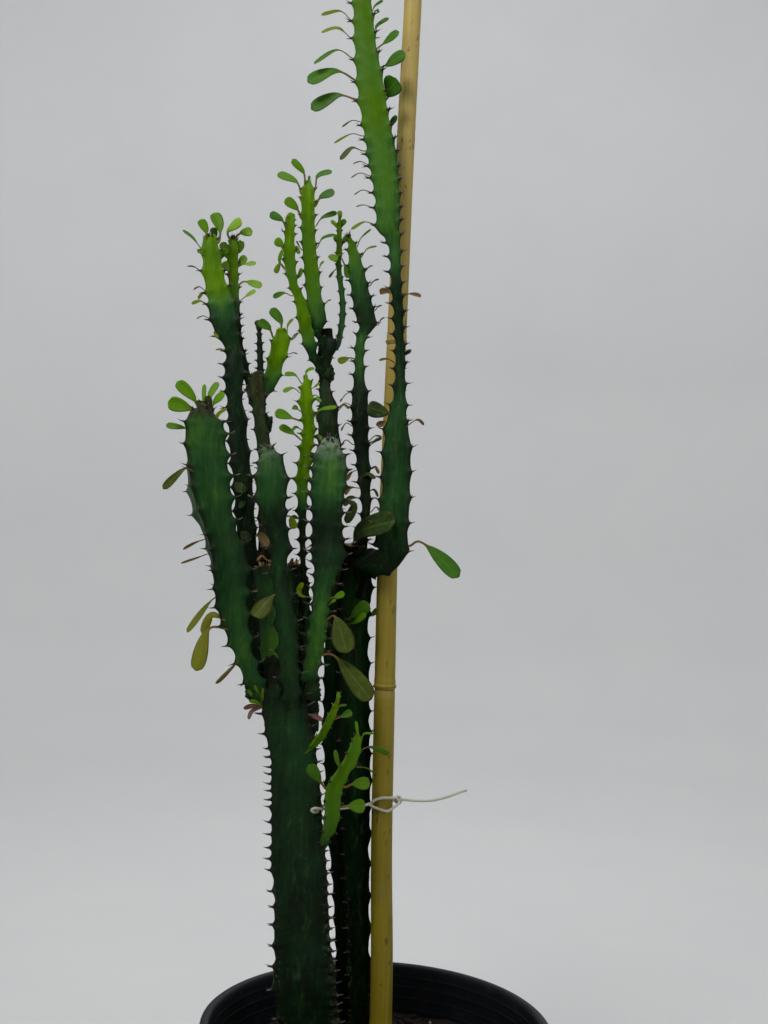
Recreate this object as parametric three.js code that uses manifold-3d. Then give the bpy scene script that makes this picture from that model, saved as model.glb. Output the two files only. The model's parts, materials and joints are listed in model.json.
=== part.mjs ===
// Potted euphorbia: three-winged stems in a nursery pot, held to a bamboo cane by a string.
// Millimetres, +Z up. The origin is the centre of the pot's flat base.
import * as THREE from 'three';
import { mergeVertices } from 'three/addons/utils/BufferGeometryUtils.js';
import Module from 'manifold-3d';

const wasm = await Module();
wasm.setup();

// ---- driving dimensions (mm) ----
const POT_RIM_R = 150;        // outside of the rolled lip
const POT_HEIGHT = 255;
const POT_BASE_R = 114;       // outside, at the floor
const POT_WALL = 2.6;
const POT_FLOOR = 4;
const LIP_WIDTH = 8;          // how far the lip stands out and in together
const LIP_DROP = 22;          // the lip's outer band hangs this far down
const DRAIN_R = 7;            // drain holes in the floor
const DRAIN_COUNT = 8;
const DRAIN_CIRCLE_R = 88;
const SOIL_TOP = 212;         // at the pot wall
const SOIL_CROWN = 6;         // the soil stands this much higher round the trunks
const GAP = 0.3;              // between pieces that touch
const STRING_R = 1.3;         // the string is 2.6 mm thick
const KNOT_R = 4.2;
const SECTION_SIDES = 12;     // sides of a stem's section
const FINE = 0.05;            // facets smaller than this are merged
const LEAF_THICK = 1.5;
const CANE_BORE_R = 3.6;      // the open end of the cane
const CANE_BORE_DEPTH = 30;

// Section of a stem by kind: radius at the ridge, beside it and in the groove, as shares of the ridge radius.
const SECTION = {
  trunk: [1, 0.56, 0.47],
  winged: [1, 0.53, 0.42],
  woody: [1, 0.72, 0.62],
};

// Stems, from the base up. A station is x, y, z, ridge radius, and the turn in degrees of one of the three ridges.
const STEMS = [
  { name: 'trunk_left', kind: 'trunk', stations: [
    [-46.6, -6, 198.1, 30, 198],
    [-48.5, -6, 222.8, 30.1, 198],
    [-51.5, -6, 252.5, 30, 198],
    [-56.5, -6, 272.2, 30.8, 198],
    [-58.8, -6, 288.8, 32.1, 198],
    [-60.8, -6, 305.4, 30.5, 198],
    [-63.2, -6, 330.4, 28.8, 198],
    [-65.2, -6, 355.5, 27.8, 198],
    [-68.8, -6, 389.1, 28.3, 198],
    [-72.2, -6, 422.8, 26.4, 198],
    [-75.4, -6, 456.7, 24.8, 199],
    [-78.6, -6, 482.2, 23.6, 200],
    [-83.8, -5, 503.3, 24.5, 200],
    [-87.8, -4, 520.2, 24.2, 200],
    [-90.7, -2, 545, 19.9, 200],
    [-91.2, -1, 555.3, 16.4, 200],
  ] },
  { name: 'trunk_middle', kind: 'trunk', stations: [
    [-16.3, 25, 185.4, 16.3, 262],
    [-18.2, 25, 210.8, 16.4, 262],
    [-20.3, 25, 241.5, 16.4, 262],
    [-21.6, 25, 262.1, 16.9, 262],
    [-24, 25, 296.4, 18, 262],
    [-25.9, 25, 330.9, 18.5, 262],
    [-28.8, 25, 365.5, 20.1, 262],
    [-31.7, 25, 400.3, 21.7, 262],
    [-34.1, 25, 435.2, 23.9, 262],
    [-35.7, 25, 461.5, 24.4, 262],
    [-38.2, 25, 487.9, 25, 262],
    [-39.1, 25, 514.4, 24.8, 262],
    [-39.9, 25, 541.1, 24.5, 262],
    [-41, 25, 567.8, 23.5, 262],
    [-41.5, 25, 594.6, 22.6, 260],
    [-39.9, 24, 621.6, 23.2, 258],
    [-38.5, 23, 639.6, 20.7, 256],
    [-36.5, 21, 661.2, 12.2, 256],
  ] },
  { name: 'cut_stub', kind: 'winged', stations: [
    [-87.8, 3, 523.8, 17.8, 185],
    [-92.4, 4, 558.3, 20.1, 185],
    [-94.2, 5, 575.7, 20.2, 185],
    [-95.7, 6, 593.1, 21.3, 185],
    [-97.2, 7, 610.6, 22.5, 185],
    [-98, 8, 624.7, 24.2, 185],
    [-99.1, 8, 640.6, 24.8, 185],
  ] },
  { name: 'branch_front_left', kind: 'winged', stations: [
    [-107.1, -8, 524.2, 8.5, 232],
    [-116.8, -15, 541.6, 9.6, 232],
    [-123.6, -23, 559, 10, 232],
    [-129.4, -30, 576.2, 11.6, 235],
    [-134, -36, 593.1, 14.4, 238],
    [-138.2, -41, 609.9, 17.8, 242],
    [-140.2, -45, 626.6, 19.8, 247],
    [-142.5, -48, 643.2, 20.9, 252],
    [-152.4, -51.5, 671.9, 18.9, 257],
    [-157.5, -52.7, 688.3, 22.1, 257],
    [-161.4, -53.7, 704.8, 23.8, 254],
    [-163.8, -54.2, 721.4, 22.7, 250],
    [-165.8, -54.5, 738.1, 22.1, 246],
    [-164.1, -55, 767.6, 8.6, 240],
  ] },
  { name: 'branch_front_middle', kind: 'winged', stations: [
    [-81.7, -18, 526.3, 8.9, 205],
    [-83.6, -25, 543.8, 9.8, 205],
    [-85.5, -31, 561.1, 10.8, 205],
    [-86.8, -35, 578.1, 10.7, 205],
    [-89, -38, 595, 10.7, 205],
    [-91.6, -41, 611.7, 10.1, 205],
    [-95, -42.5, 628.3, 9.2, 208],
    [-96.6, -44, 645, 9.2, 210],
    [-99.2, -45, 670.1, 11, 208],
    [-104, -46, 695.1, 15.3, 204],
    [-105.4, -46.6, 718.6, 15.8, 204],
    [-109.7, -47, 735.3, 7.5, 204],
  ] },
  { name: 'branch_front_right', kind: 'winged', stations: [
    [-74.9, -6, 521, 7, 222],
    [-72.2, -12, 536.3, 7.5, 222],
    [-69.3, -17, 552.2, 9.4, 222],
    [-66, -21, 569.7, 10, 222],
    [-64.4, -24, 586.9, 10.3, 224],
    [-62.8, -26, 604.1, 9.7, 226],
    [-61.3, -28, 621.2, 10.1, 226],
    [-58.8, -29, 638.3, 13.3, 220],
    [-57.7, -30, 663.9, 16.8, 212],
    [-58.8, -30, 689.5, 16.3, 209],
    [-58.2, -30, 715.3, 18.5, 208],
    [-59, -30, 737.6, 15.3, 208],
    [-58.5, -30, 745.4, 9.4, 208],
  ] },
  { name: 'branch_back_left', kind: 'winged', stations: [
    [-100.6, 8, 522.7, 10.4, 190],
    [-109.2, 9, 548.5, 9.5, 190],
    [-115.2, 10, 574.6, 10.2, 190],
    [-120.6, 12, 600.8, 10.8, 190],
    [-125.1, 14, 627.2, 11.4, 190],
    [-128.9, 16.5, 653.8, 11, 190],
    [-132.6, 19, 680.7, 11.6, 190],
    [-136.2, 22.5, 707.9, 11.6, 190],
    [-140.6, 26, 735.4, 11.6, 190],
    [-143.9, 28.3, 753.8, 11.4, 190],
    [-146, 30.7, 772.4, 11.4, 190],
    [-150.2, 33, 791.1, 9.8, 190],
    [-151, 35, 810, 11.7, 192],
    [-152.2, 36.5, 824.2, 11.6, 195],
    [-154.2, 38, 838.4, 9.6, 200],
    [-162.2, 39.6, 857.2, 13.8, 204],
    [-167.2, 41.2, 876.2, 15.3, 204],
    [-173.1, 42.5, 895.2, 13.1, 204],
    [-177.2, 43.3, 909.4, 11.7, 204],
    [-179.5, 44, 923.8, 11.3, 204],
    [-183.1, 45, 943, 7.6, 204],
  ] },
  { name: 'shoot_back_left', kind: 'winged', stations: [
    [-135.1, 33, 795.4, 5.3, 195],
    [-142.7, 42, 819.1, 3.7, 200],
    [-151.3, 52, 846.2, 3.5, 205],
    [-155, 55.6, 865.9, 4.1, 205],
    [-158.3, 59.1, 885.8, 5.2, 205],
    [-161.2, 61.5, 905.6, 6, 205],
    [-163.3, 63.5, 925.4, 6.6, 205],
    [-164.2, 65, 940.3, 6.6, 205],
    [-164.9, 66, 950.3, 4.4, 205],
  ] },
  { name: 'stem_brown', kind: 'woody', stations: [
    [-110.4, 16, 617.1, 9.8, 190],
    [-113.3, 16.8, 636.6, 8.8, 190],
    [-114.9, 18, 663.4, 7.7, 190],
    [-116.7, 20, 699.4, 7.7, 190],
    [-117.7, 22.4, 726.8, 8.3, 190],
    [-120, 24, 745.1, 7.5, 190],
    [-123.8, 26, 763.5, 7.5, 190],
    [-127, 28, 782, 7.3, 190],
    [-128.4, 29.3, 796, 9, 190],
    [-129.8, 31, 813.8, 6.8, 190],
  ] },
  { name: 'twig_dark', kind: 'winged', stations: [
    [-128.3, 35, 807.2, 4.8, 210],
    [-131.1, 38.1, 839.4, 3.4, 210],
    [-132.9, 40, 858.5, 2.4, 210],
  ] },
  { name: 'paddle_small', kind: 'winged', stations: [
    [-125.3, 28, 793.1, 4.7, 215],
    [-118, 24, 809.3, 8.4, 215],
    [-113.5, 20, 827, 9.1, 215],
    [-109.6, 17, 851.3, 6.3, 215],
  ] },
  { name: 'shoot_lime', kind: 'woody', stations: [
    [-77, -3, 549, 6.9, 205],
    [-73.3, 0, 568.1, 7, 205],
    [-73.1, 4, 587.1, 6.1, 205],
    [-76.3, 6, 606.2, 5.6, 205],
    [-78.4, 5, 624.6, 5.1, 205],
    [-80, 4, 642.2, 4.1, 205],
    [-81.1, 2, 659.7, 4.1, 205],
    [-81.9, 0, 677.3, 4.8, 205],
    [-82.4, -1.9, 692.1, 5.9, 205],
    [-83.1, -5, 716.6, 7.4, 205],
    [-80.8, -7.7, 742.9, 7.1, 205],
    [-79.6, -10.3, 769.1, 7.1, 205],
    [-82.1, -12.4, 789.8, 7.6, 205],
    [-83.6, -14, 805.4, 2.8, 205],
  ] },
  { name: 'stem_grey', kind: 'woody', stations: [
    [-44.1, 22, 590.1, 11.5, 200],
    [-47.6, 22.5, 612.3, 12.5, 200],
    [-52.4, 23, 639, 12.6, 200],
    [-55.9, 23.9, 665.9, 12.1, 200],
    [-59.2, 25, 702.1, 12.2, 200],
    [-60.9, 27, 738.6, 12.3, 200],
    [-62, 28, 757, 12, 200],
    [-63.9, 29.1, 770.9, 10.7, 200],
    [-64.4, 30.4, 786.7, 9.9, 200],
    [-69, 32.1, 812.7, 5.4, 200],
    [-70.4, 33.4, 833.3, 7.7, 200],
    [-69.3, 34.4, 850.4, 8.4, 200],
    [-69.7, 35, 859.4, 6.5, 200],
  ] },
  { name: 'shoot_left', kind: 'winged', stations: [
    [-74.6, 28, 824.7, 5.5, 215],
    [-83.6, 20, 842, 7.1, 215],
    [-87.4, 17, 855, 7.4, 215],
    [-90.5, 14, 867.9, 7.4, 215],
    [-94.3, 12.9, 881.2, 6, 215],
    [-102.6, 11, 903.3, 5.9, 215],
    [-105.5, 10.5, 927.9, 6.6, 215],
    [-104.5, 10, 956.4, 3.1, 215],
  ] },
  { name: 'shoot_middle', kind: 'winged', stations: [
    [-72.3, 30, 844.6, 4.9, 205],
    [-77.5, 26, 860.2, 7.2, 205],
    [-79.7, 24.8, 877.5, 9.4, 205],
    [-84.6, 23.7, 907.6, 8.4, 205],
    [-87.3, 23.3, 926, 7.9, 205],
    [-89.4, 23, 944.5, 8, 205],
    [-90.5, 22.6, 963, 7.7, 205],
    [-91.3, 22.3, 977, 8, 205],
    [-92.1, 22, 991.8, 4.2, 205],
  ] },
  { name: 'shoot_right_thin', kind: 'winged', stations: [
    [-65.3, 37, 839.9, 3.5, 210],
    [-58.3, 42, 854.4, 3.2, 210],
    [-56.6, 46, 881.8, 3.5, 210],
    [-57.9, 46.7, 896.2, 3.2, 210],
    [-60.4, 47.3, 910.5, 3.2, 210],
    [-62.2, 48, 924.9, 3, 210],
    [-62.4, 48.7, 941.4, 3.5, 210],
    [-62.9, 49.4, 956.9, 2.7, 210],
    [-63.2, 50, 970.5, 1.9, 210],
  ] },
  { name: 'branch_back_right', kind: 'winged', stations: [
    [-27.6, 24, 643.6, 10.5, 200],
    [-29.4, 25.5, 659.8, 7.4, 200],
    [-28.5, 27, 676.2, 5.3, 200],
    [-26.5, 28.4, 692.7, 5.3, 200],
    [-27.5, 29.7, 708.3, 5.9, 200],
    [-29.4, 31, 723.8, 7.5, 200],
    [-31.2, 32.9, 740.5, 7.7, 200],
    [-33.7, 35, 759, 8.9, 200],
    [-35.2, 36.5, 777.7, 9.7, 200],
    [-36.2, 38, 796.5, 9.5, 200],
    [-37.4, 39.1, 813.4, 7, 200],
    [-38.3, 40, 828.5, 5.7, 200],
    [-38.7, 41, 843.7, 6, 200],
    [-36.8, 42, 858, 6.3, 202],
    [-36.1, 42.7, 881.8, 10.9, 202],
    [-39.5, 42.9, 895.9, 10.4, 202],
    [-42.5, 42.7, 909.9, 9.4, 202],
    [-45.7, 42.4, 924, 8, 202],
    [-53.5, 42, 950.1, 2.3, 202],
  ] },
  { name: 'tall_branch', kind: 'winged', stations: [
    [-37.4, 17, 645.4, 8.5, 190],
    [-20.3, 3, 646.3, 14.1, 190],
    [-4.5, -4, 652, 14.2, 190],
    [-0.4, -8, 675.7, 17.7, 190],
    [0.7, -8, 693.3, 16.9, 190],
    [1.2, -8, 710.8, 15.9, 190],
    [1, -8, 728.4, 15.9, 190],
    [0.6, -8, 746.1, 15.4, 190],
    [-0.9, -8, 772.5, 11.3, 190],
    [-0, -8, 799.2, 7, 190],
    [-0.6, -8, 817, 6.2, 190],
    [-1.4, -8, 834.8, 5.7, 190],
    [-3.1, -8, 852.6, 6, 190],
    [-4.2, -8, 870.5, 6.5, 190],
    [-6.4, -8, 888.3, 6.8, 190],
    [-8.2, -8, 906.3, 6.5, 190],
    [-10.2, -8, 930.6, 7.7, 188],
    [-14, -8, 944, 13.2, 187],
    [-16.3, -8, 969.3, 14.6, 187],
    [-18.8, -8, 987.4, 15.6, 187],
    [-21.5, -8, 1005.5, 16.6, 187],
    [-25.5, -8, 1023.6, 15.9, 187],
    [-29.9, -8, 1041.8, 15.5, 187],
    [-33.3, -8, 1060, 15.6, 187],
    [-36.4, -8, 1078.3, 15, 187],
    [-39.7, -8, 1096.6, 13.4, 187],
    [-42.6, -8, 1114.9, 12.6, 187],
    [-44.8, -8, 1133.4, 12.1, 187],
    [-47, -8, 1151.9, 10.7, 187],
    [-48.3, -8, 1165.8, 9, 187],
    [-50.5, -8, 1185.3, 3.1, 187],
  ] },
  { name: 'shoot_low_large', kind: 'winged', stations: [
    [-51.4, -20, 405, 4.4, 240],
    [-47.4, -28, 421.9, 7.6, 240],
    [-45.9, -33, 446.2, 9.2, 240],
    [-41.5, -34, 463.1, 8.1, 240],
    [-32, -33, 479.9, 7.7, 240],
    [-25.9, -30, 498.8, 3.3, 240],
  ] },
  { name: 'shoot_low_small', kind: 'winged', stations: [
    [-65.6, -22, 485.2, 1.9, 240],
    [-57.1, -28, 497.3, 4.2, 240],
    [-49.3, -31, 514.7, 4.6, 240],
    [-43.4, -31, 530.9, 2.1, 240],
  ] },
];

// The bamboo cane: x, y, z, radius.
const CANE = [
  [5.3, 22, 14, 9.7],
  [3.8, 22, 264.2, 9.7],
  [-0.9, 22, 393.5, 9.3],
  [-3.5, 22, 525, 9.2],
  [-6, 22, 685.9, 9],
  [-5.1, 22, 887.2, 8.8],
  [-4.1, 22, 1027.3, 8.5],
  [-2.3, 22, 1170, 8.3],
  [-2, 22, 1251, 8.1],
];
const CANE_NODES = [240, 537, 848, 1200];   // heights of its joints

// The string: two strands before the cane, once round the middle trunk, hooked over the left trunk's right wing.
const LOOP = [[11.8, 20, 438.4], [9, 15.5, 440.5], [4.6, 11.2, 441.2], [-2.4, 10.9, 441], [-8.5, 12, 438.8], [-13.6, 13.5, 434.8], [-21.4, 8, 433.9], [-28.2, -1, 434.6], [-34.1, -5, 434.3], [-40, -9, 434.5], [-46.5, -18, 436.1], [-53.9, -25, 436.8], [-58.8, -28.2, 437.7], [-61.6, -28.6, 436.4], [-59.5, -27.2, 434.5], [-55.6, -21, 433.8], [-54.1, -8, 431.6], [-55.2, 6, 429.1], [-56.9, 22, 426.2], [-55.9, 38, 423.8], [-49.1, 50, 422.5], [-35.7, 54.5, 423.9], [-22, 51, 427], [-12.9, 43, 430.7], [-3.9, 35.5, 433.5], [5, 33.5, 435.1], [10.2, 28, 436.8]];
const STRAND = [[11.9, 20, 438], [12.7, 16, 436.2], [9.3, 12.3, 433.8], [3.3, 10.8, 430], [-3.8, 10.8, 431], [-9.1, 11.8, 432.7], [-13.6, 13.5, 434.3]];
const KNOT = [11.4, 20, 438.4];
const TAIL = [[16.6, 17, 439.2], [20.6, 16, 439.1], [27.6, 14, 439.3], [35.4, 13, 439.6], [42.5, 13, 440.4], [49.4, 13, 442.1], [56.4, 13.5, 444.3], [62.5, 14, 446.7], [67.8, 14.5, 448.7], [72.2, 15, 450]];

// Single leaves on the ridges: a narrow stalk that opens into a blade.
const LEAVES = [
  { name: 'leaf_tall_branch_1', tint: 'leaf', base: [-55.3, -9.6, 1097], mid: [-68.8, -14.1, 1101.6], tip: [-88.2, -19.6, 1085.3], width: 4.9, petiole: 0.35 },
  { name: 'leaf_tall_branch_2', tint: 'leaf', base: [-51.8, -9.8, 1076.8], mid: [-68.9, -12.5, 1083.1], tip: [-93.6, -15.8, 1070.5], width: 12.0, petiole: 0.32 },
  { name: 'leaf_tall_branch_3', tint: 'leaf', base: [-51.1, -9.9, 1059.3], mid: [-67.4, -7.2, 1063.1], tip: [-90.4, -3.9, 1051.2], width: 11.6, petiole: 0.32 },
  { name: 'leaf_tall_branch_4', tint: 'leaf', base: [-33.9, -18.5, 1101.7], mid: [-26.1, -23.9, 1105.3], tip: [-14.1, -30.5, 1112.4], width: 7.9, petiole: 0.22 },
  { name: 'leaf_tall_branch_5', tint: 'leaf', base: [-32, 4.5, 1095.5], mid: [-23, -1.8, 1096.6], tip: [-8, -9.5, 1103.6], width: 13.1, petiole: 0.18 },
  { name: 'leaf_tall_branch_6', tint: 'leaf', base: [-28.2, 6.1, 1069.3], mid: [-22, -1.1, 1070.9], tip: [-14.3, -9.9, 1079.2], width: 17.1, petiole: 0.12 },
  { name: 'leaf_tall_branch_7', tint: 'olive', base: [12.9, -20.4, 661.9], mid: [23.9, -24.9, 664.7], tip: [55.4, -30.4, 636.8], width: 12.4, petiole: 0.34 },
  { name: 'leaf_tall_branch_8', tint: 'olive', base: [-7, -9.8, 777.3], mid: [-17.6, -12.5, 779.2], tip: [-28.6, -15.8, 781.7], width: 13.6, petiole: 0.06 },
  { name: 'leaf_trunk_middle_1', tint: 'olive', base: [-38.6, 8.9, 659], mid: [-29.2, -6.4, 673.8], tip: [-0.9, -25.1, 682.6], width: 21.9, petiole: 0.20 },
  { name: 'leaf_shoot_middle_1', tint: 'young', base: [-97, 19.4, 958.9], mid: [-100.8, 16.7, 966.2], tip: [-111.8, 13.4, 973.9], width: 9.1, petiole: 0.30 },
  { name: 'leaf_branch_front_left_1', tint: 'olive', base: [-149.3, -25.9, 611.7], mid: [-155.5, -28.6, 607.3], tip: [-173.2, -31.9, 580.9], width: 6.0, petiole: 0.25 },
  { name: 'leaf_branch_front_left_2', tint: 'olive', base: [-140, -49.2, 593.3], mid: [-151.5, -45.6, 596.9], tip: [-158.9, -41.2, 580.6], width: 7.1, petiole: 0.10 },
  { name: 'leaf_branch_front_left_3', tint: 'olive', base: [-137.6, -46, 585.8], mid: [-152.7, -50.5, 584.6], tip: [-160, -56, 551], width: 11.6, petiole: 0.33 },
  { name: 'leaf_branch_front_middle_1', tint: 'olive', base: [-98.9, -45.6, 616.5], mid: [-105.6, -51, 608.8], tip: [-114.2, -57.6, 597.1], width: 15.8, petiole: 0.05 },
  { name: 'leaf_branch_front_right_1', tint: 'olive', base: [-54.6, -27.6, 596.8], mid: [-47.7, -33, 598.1], tip: [-36.9, -39.6, 569.5], width: 18.2, petiole: 0.24 },
  { name: 'leaf_branch_front_right_2', tint: 'olive', base: [-58.7, -23.2, 565.8], mid: [-45.5, -29.5, 564.3], tip: [-15.3, -37.2, 530.9], width: 16.1, petiole: 0.27 },
  { name: 'leaf_trunk_middle_2', tint: 'leaf', base: [-38.5, 2.5, 596.4], mid: [-31.5, -3.8, 602.1], tip: [-20.5, -11.5, 610.9], width: 10.9, petiole: 0.20 },
  { name: 'leaf_shoot_lime_1', tint: 'young', base: [-86.2, -13.2, 767.5], mid: [-94, -15, 769.6], tip: [-108.9, -17.2, 773.9], width: 8.3, petiole: 0.30 },
  { name: 'leaf_branch_back_left_1', tint: 'olive', base: [-134.8, 36.1, 727.5], mid: [-139.4, 24.4, 718.8], tip: [-138.6, 10.1, 704.1], width: 11.8, petiole: 0.10 },
  { name: 'leaf_shoot_low_large_1', tint: 'leaf', base: [-49.6, -42, 456.8], mid: [-54.8, -44.7, 463.7], tip: [-64.7, -48, 476.9], width: 9.1, petiole: 0.22 },
  { name: 'leaf_shoot_low_large_2', tint: 'young', base: [-33.3, -34, 457.6], mid: [-26.7, -36.7, 460.8], tip: [-13.3, -40, 462.4], width: 9.6, petiole: 0.20 },
  { name: 'leaf_shoot_low_large_3', tint: 'young', base: [-36.9, -32.2, 440.6], mid: [-29.3, -35.8, 442.4], tip: [-16.3, -40.2, 443.4], width: 10.4, petiole: 0.18 },
];

// Tufts of young leaves on the growing tips, each tuft grown together at its bud.
const TUFTS = [
  { name: 'tuft_shoot_middle', stem: 'shoot_middle', tint: 'young', leaves: [
    { mid: [-83.2, 20, 998.9], tip: [-70.8, 22.2, 1005], width: 6.9, petiole: 0.30 },
    { mid: [-79.4, 15.7, 977.9], tip: [-67.1, 13, 982.5], width: 8.2, petiole: 0.25 },
    { mid: [-96.6, 18.4, 1001.5], tip: [-107, 16.2, 1012.4], width: 6.9, petiole: 0.28 },
    { mid: [-102.8, 20.8, 992.8], tip: [-120.8, 23, 1000.9], width: 7.3, petiole: 0.30 },
  ] },
  { name: 'tuft_shoot_left', stem: 'shoot_left', tint: 'young', leaves: [
    { mid: [-112.9, 5.7, 951.8], tip: [-123.8, 4.1, 957.3], width: 7.2, petiole: 0.30 },
    { mid: [-109.7, 6.6, 944.8], tip: [-117.9, 1.8, 932.5], width: 8.5, petiole: 0.15 },
    { mid: [-99.9, 13.5, 930], tip: [-96.5, 9.1, 922.3], width: 3.6, petiole: 0.10 },
  ] },
  { name: 'tuft_shoot_right_thin', stem: 'shoot_right_thin', tint: 'leaf', leaves: [
    { mid: [-66.5, 49.5, 969], tip: [-71.3, 48.1, 967.2], width: 4.2, petiole: 0.15 },
    { mid: [-61, 49.6, 969.5], tip: [-57.2, 48.1, 968.2], width: 5.7, petiole: 0.10 },
    { mid: [-64.6, 49.5, 962.9], tip: [-67.3, 47.2, 953.1], width: 6.1, petiole: 0.12 },
    { mid: [-60.4, 49.6, 962.9], tip: [-55.2, 50, 953.5], width: 4.7, petiole: 0.15 },
  ] },
  { name: 'tuft_branch_back_left', stem: 'branch_back_left', tint: 'leaf', leaves: [
    { mid: [-198.9, 41.9, 943.3], tip: [-209.5, 44.1, 951.2], width: 2.8, petiole: 0.30 },
    { mid: [-186.9, 40.3, 949.9], tip: [-192.7, 38.7, 960.1], width: 7.9, petiole: 0.15 },
    { mid: [-182.3, 46.9, 951.6], tip: [-182, 46.5, 955.5], width: 6.1, petiole: 0.10 },
    { mid: [-180, 42.8, 957.9], tip: [-180.6, 42.2, 968.4], width: 9.8, petiole: 0.30 },
  ] },
  { name: 'tuft_shoot_back_left', stem: 'shoot_back_left', tint: 'young', leaves: [
    { mid: [-162.2, 58.9, 960.1], tip: [-156.2, 53.6, 966.5], width: 10.9, petiole: 0.14 },
    { mid: [-157.6, 64.4, 956.9], tip: [-146.8, 65.5, 959.2], width: 8.1, petiole: 0.20 },
    { mid: [-159.7, 69.6, 946.8], tip: [-154.2, 68, 947.5], width: 5.3, petiole: 0.20 },
  ] },
  { name: 'tuft_paddle_small', stem: 'paddle_small', tint: 'leaf', leaves: [
    { mid: [-120.7, 11.2, 854.1], tip: [-130.7, 9.6, 859.3], width: 7.7, petiole: 0.20 },
    { mid: [-111.5, 24.6, 863.2], tip: [-121.4, 26.2, 875.7], width: 7.8, petiole: 0.25 },
    { mid: [-104.1, 15.7, 858.6], tip: [-100, 17.4, 865.1], width: 2.5, petiole: 0.30 },
  ] },
  { name: 'tuft_branch_front_left', stem: 'branch_front_left', tint: 'young', leaves: [
    { mid: [-174.8, -45.8, 778], tip: [-189.6, -47.5, 792], width: 8.9, petiole: 0.25 },
    { mid: [-177.9, -45.1, 769.4], tip: [-196.1, -48.4, 774.1], width: 11.0, petiole: 0.22 },
    { mid: [-182.9, -36, 754.3], tip: [-199.6, -34.3, 756.5], width: 5.1, petiole: 0.20 },
    { mid: [-166.5, -45.4, 779.2], tip: [-167.1, -42.6, 791.6], width: 3.4, petiole: 0.20 },
    { mid: [-161.6, -44.5, 781.3], tip: [-156.1, -40.6, 794.2], width: 5.5, petiole: 0.30 },
    { mid: [-155.2, -56.8, 774.4], tip: [-146.9, -59, 781.5], width: 7.9, petiole: 0.20 },
    { mid: [-166.2, -54.3, 774.1], tip: [-169.2, -55.6, 775.7], width: 5.9, petiole: 0.10 },
    { mid: [-159.9, -58.6, 773.9], tip: [-161.9, -63, 778.1], width: 5.8, petiole: 0.10 },
    { mid: [-151.1, -58.5, 764.2], tip: [-144, -62.9, 768], width: 4.2, petiole: 0.20 },
  ] },
  { name: 'tuft_shoot_lime', stem: 'shoot_lime', tint: 'young', leaves: [
    { mid: [-94.2, -17, 795.6], tip: [-102.6, -18.6, 791.9], width: 3.9, petiole: 0.40 },
    { mid: [-93.2, -14.2, 807.7], tip: [-102.6, -12.5, 808.5], width: 3.9, petiole: 0.40 },
    { mid: [-83.3, -8.6, 812.7], tip: [-76.9, -7, 815.9], width: 3.0, petiole: 0.40 },
    { mid: [-77.5, -17.1, 803.5], tip: [-70.6, -20.7, 800.3], width: 2.6, petiole: 0.20 },
  ] },
  { name: 'tuft_shoot_low_large', stem: 'shoot_low_large', tint: 'leaf', leaves: [
    { mid: [-13.7, -34.2, 491.5], tip: [2, -36.9, 486.8], width: 3.9, petiole: 0.25 },
    { mid: [-26.3, -25.8, 505.9], tip: [-27.4, -23.6, 511.3], width: 2.5, petiole: 0.15 },
  ] },
  { name: 'tuft_shoot_low_small', stem: 'shoot_low_small', tint: 'leaf', leaves: [
    { mid: [-38.3, -29.4, 524.9], tip: [-31, -26.9, 519.1], width: 5.9, petiole: 0.20 },
    { mid: [-39.9, -31.7, 528.6], tip: [-35.4, -31.5, 525.4], width: 1.9, petiole: 0.30 },
  ] },
  { name: 'tuft_tall_branch', stem: 'tall_branch', tint: 'young', leaves: [
    { mid: [-62.4, -12.2, 1184.2], tip: [-76.7, -16.6, 1186.6], width: 8.1, petiole: 0.25 },
    { mid: [-58.7, -4.8, 1198], tip: [-66.7, -0.4, 1211.6], width: 8.2, petiole: 0.25 },
    { mid: [-46.8, -7.9, 1196.7], tip: [-40.9, -11.2, 1207.1], width: 7.7, petiole: 0.25 },
    { mid: [-39.4, -0.5, 1190.1], tip: [-25.1, 3.9, 1197.9], width: 7.3, petiole: 0.25 },
    { mid: [-52, -10.6, 1193], tip: [-54, -17.2, 1200.2], width: 5.4, petiole: 0.20 },
  ] },
];

// ---- finishes ----
const finish = (color, roughness, metalness = 0) =>
  new THREE.MeshStandardMaterial({ color, roughness, metalness });
const FINISH = {
  pot: () => finish(0x14181b, 0.45),
  soil: () => finish(0x2b2018, 1.0),
  cane: () => finish(0x9a8440, 0.55),
  string: () => finish(0xbdb9a0, 0.85),
  trunk: () => finish(0x1f4028, 0.5),
  winged: () => finish(0x3c7a34, 0.45),
  woody: () => finish(0x4a4236, 0.7),
  leaf: () => finish(0x4a8c2c, 0.5),
  young: () => finish(0x7aa81e, 0.5),
  olive: () => finish(0x6f7a40, 0.55),
  dry: () => finish(0x5e4630, 0.8),
};

// ---- closed meshes and solids ----
function toSolid(geometry) {
  let g = geometry.clone();
  g.deleteAttribute('normal');
  g.deleteAttribute('uv');
  g = mergeVertices(g, 1e-4);
  return new wasm.Manifold(new wasm.Mesh({
    numProp: 3,
    vertProperties: new Float32Array(g.attributes.position.array),
    triVerts: new Uint32Array(g.index.array),
  }));
}

function toGeometry(solid) {
  const mesh = solid.getMesh();
  const positions = new Float32Array(mesh.numVert * 3);
  for (let i = 0; i < mesh.numVert; i++) {
    for (let k = 0; k < 3; k++) positions[3 * i + k] = mesh.vertProperties[i * mesh.numProp + k];
  }
  const g = new THREE.BufferGeometry();
  g.setAttribute('position', new THREE.BufferAttribute(positions, 3));
  g.setIndex(new THREE.BufferAttribute(new Uint32Array(mesh.triVerts), 1));
  g.computeVertexNormals();
  return g;
}

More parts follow.
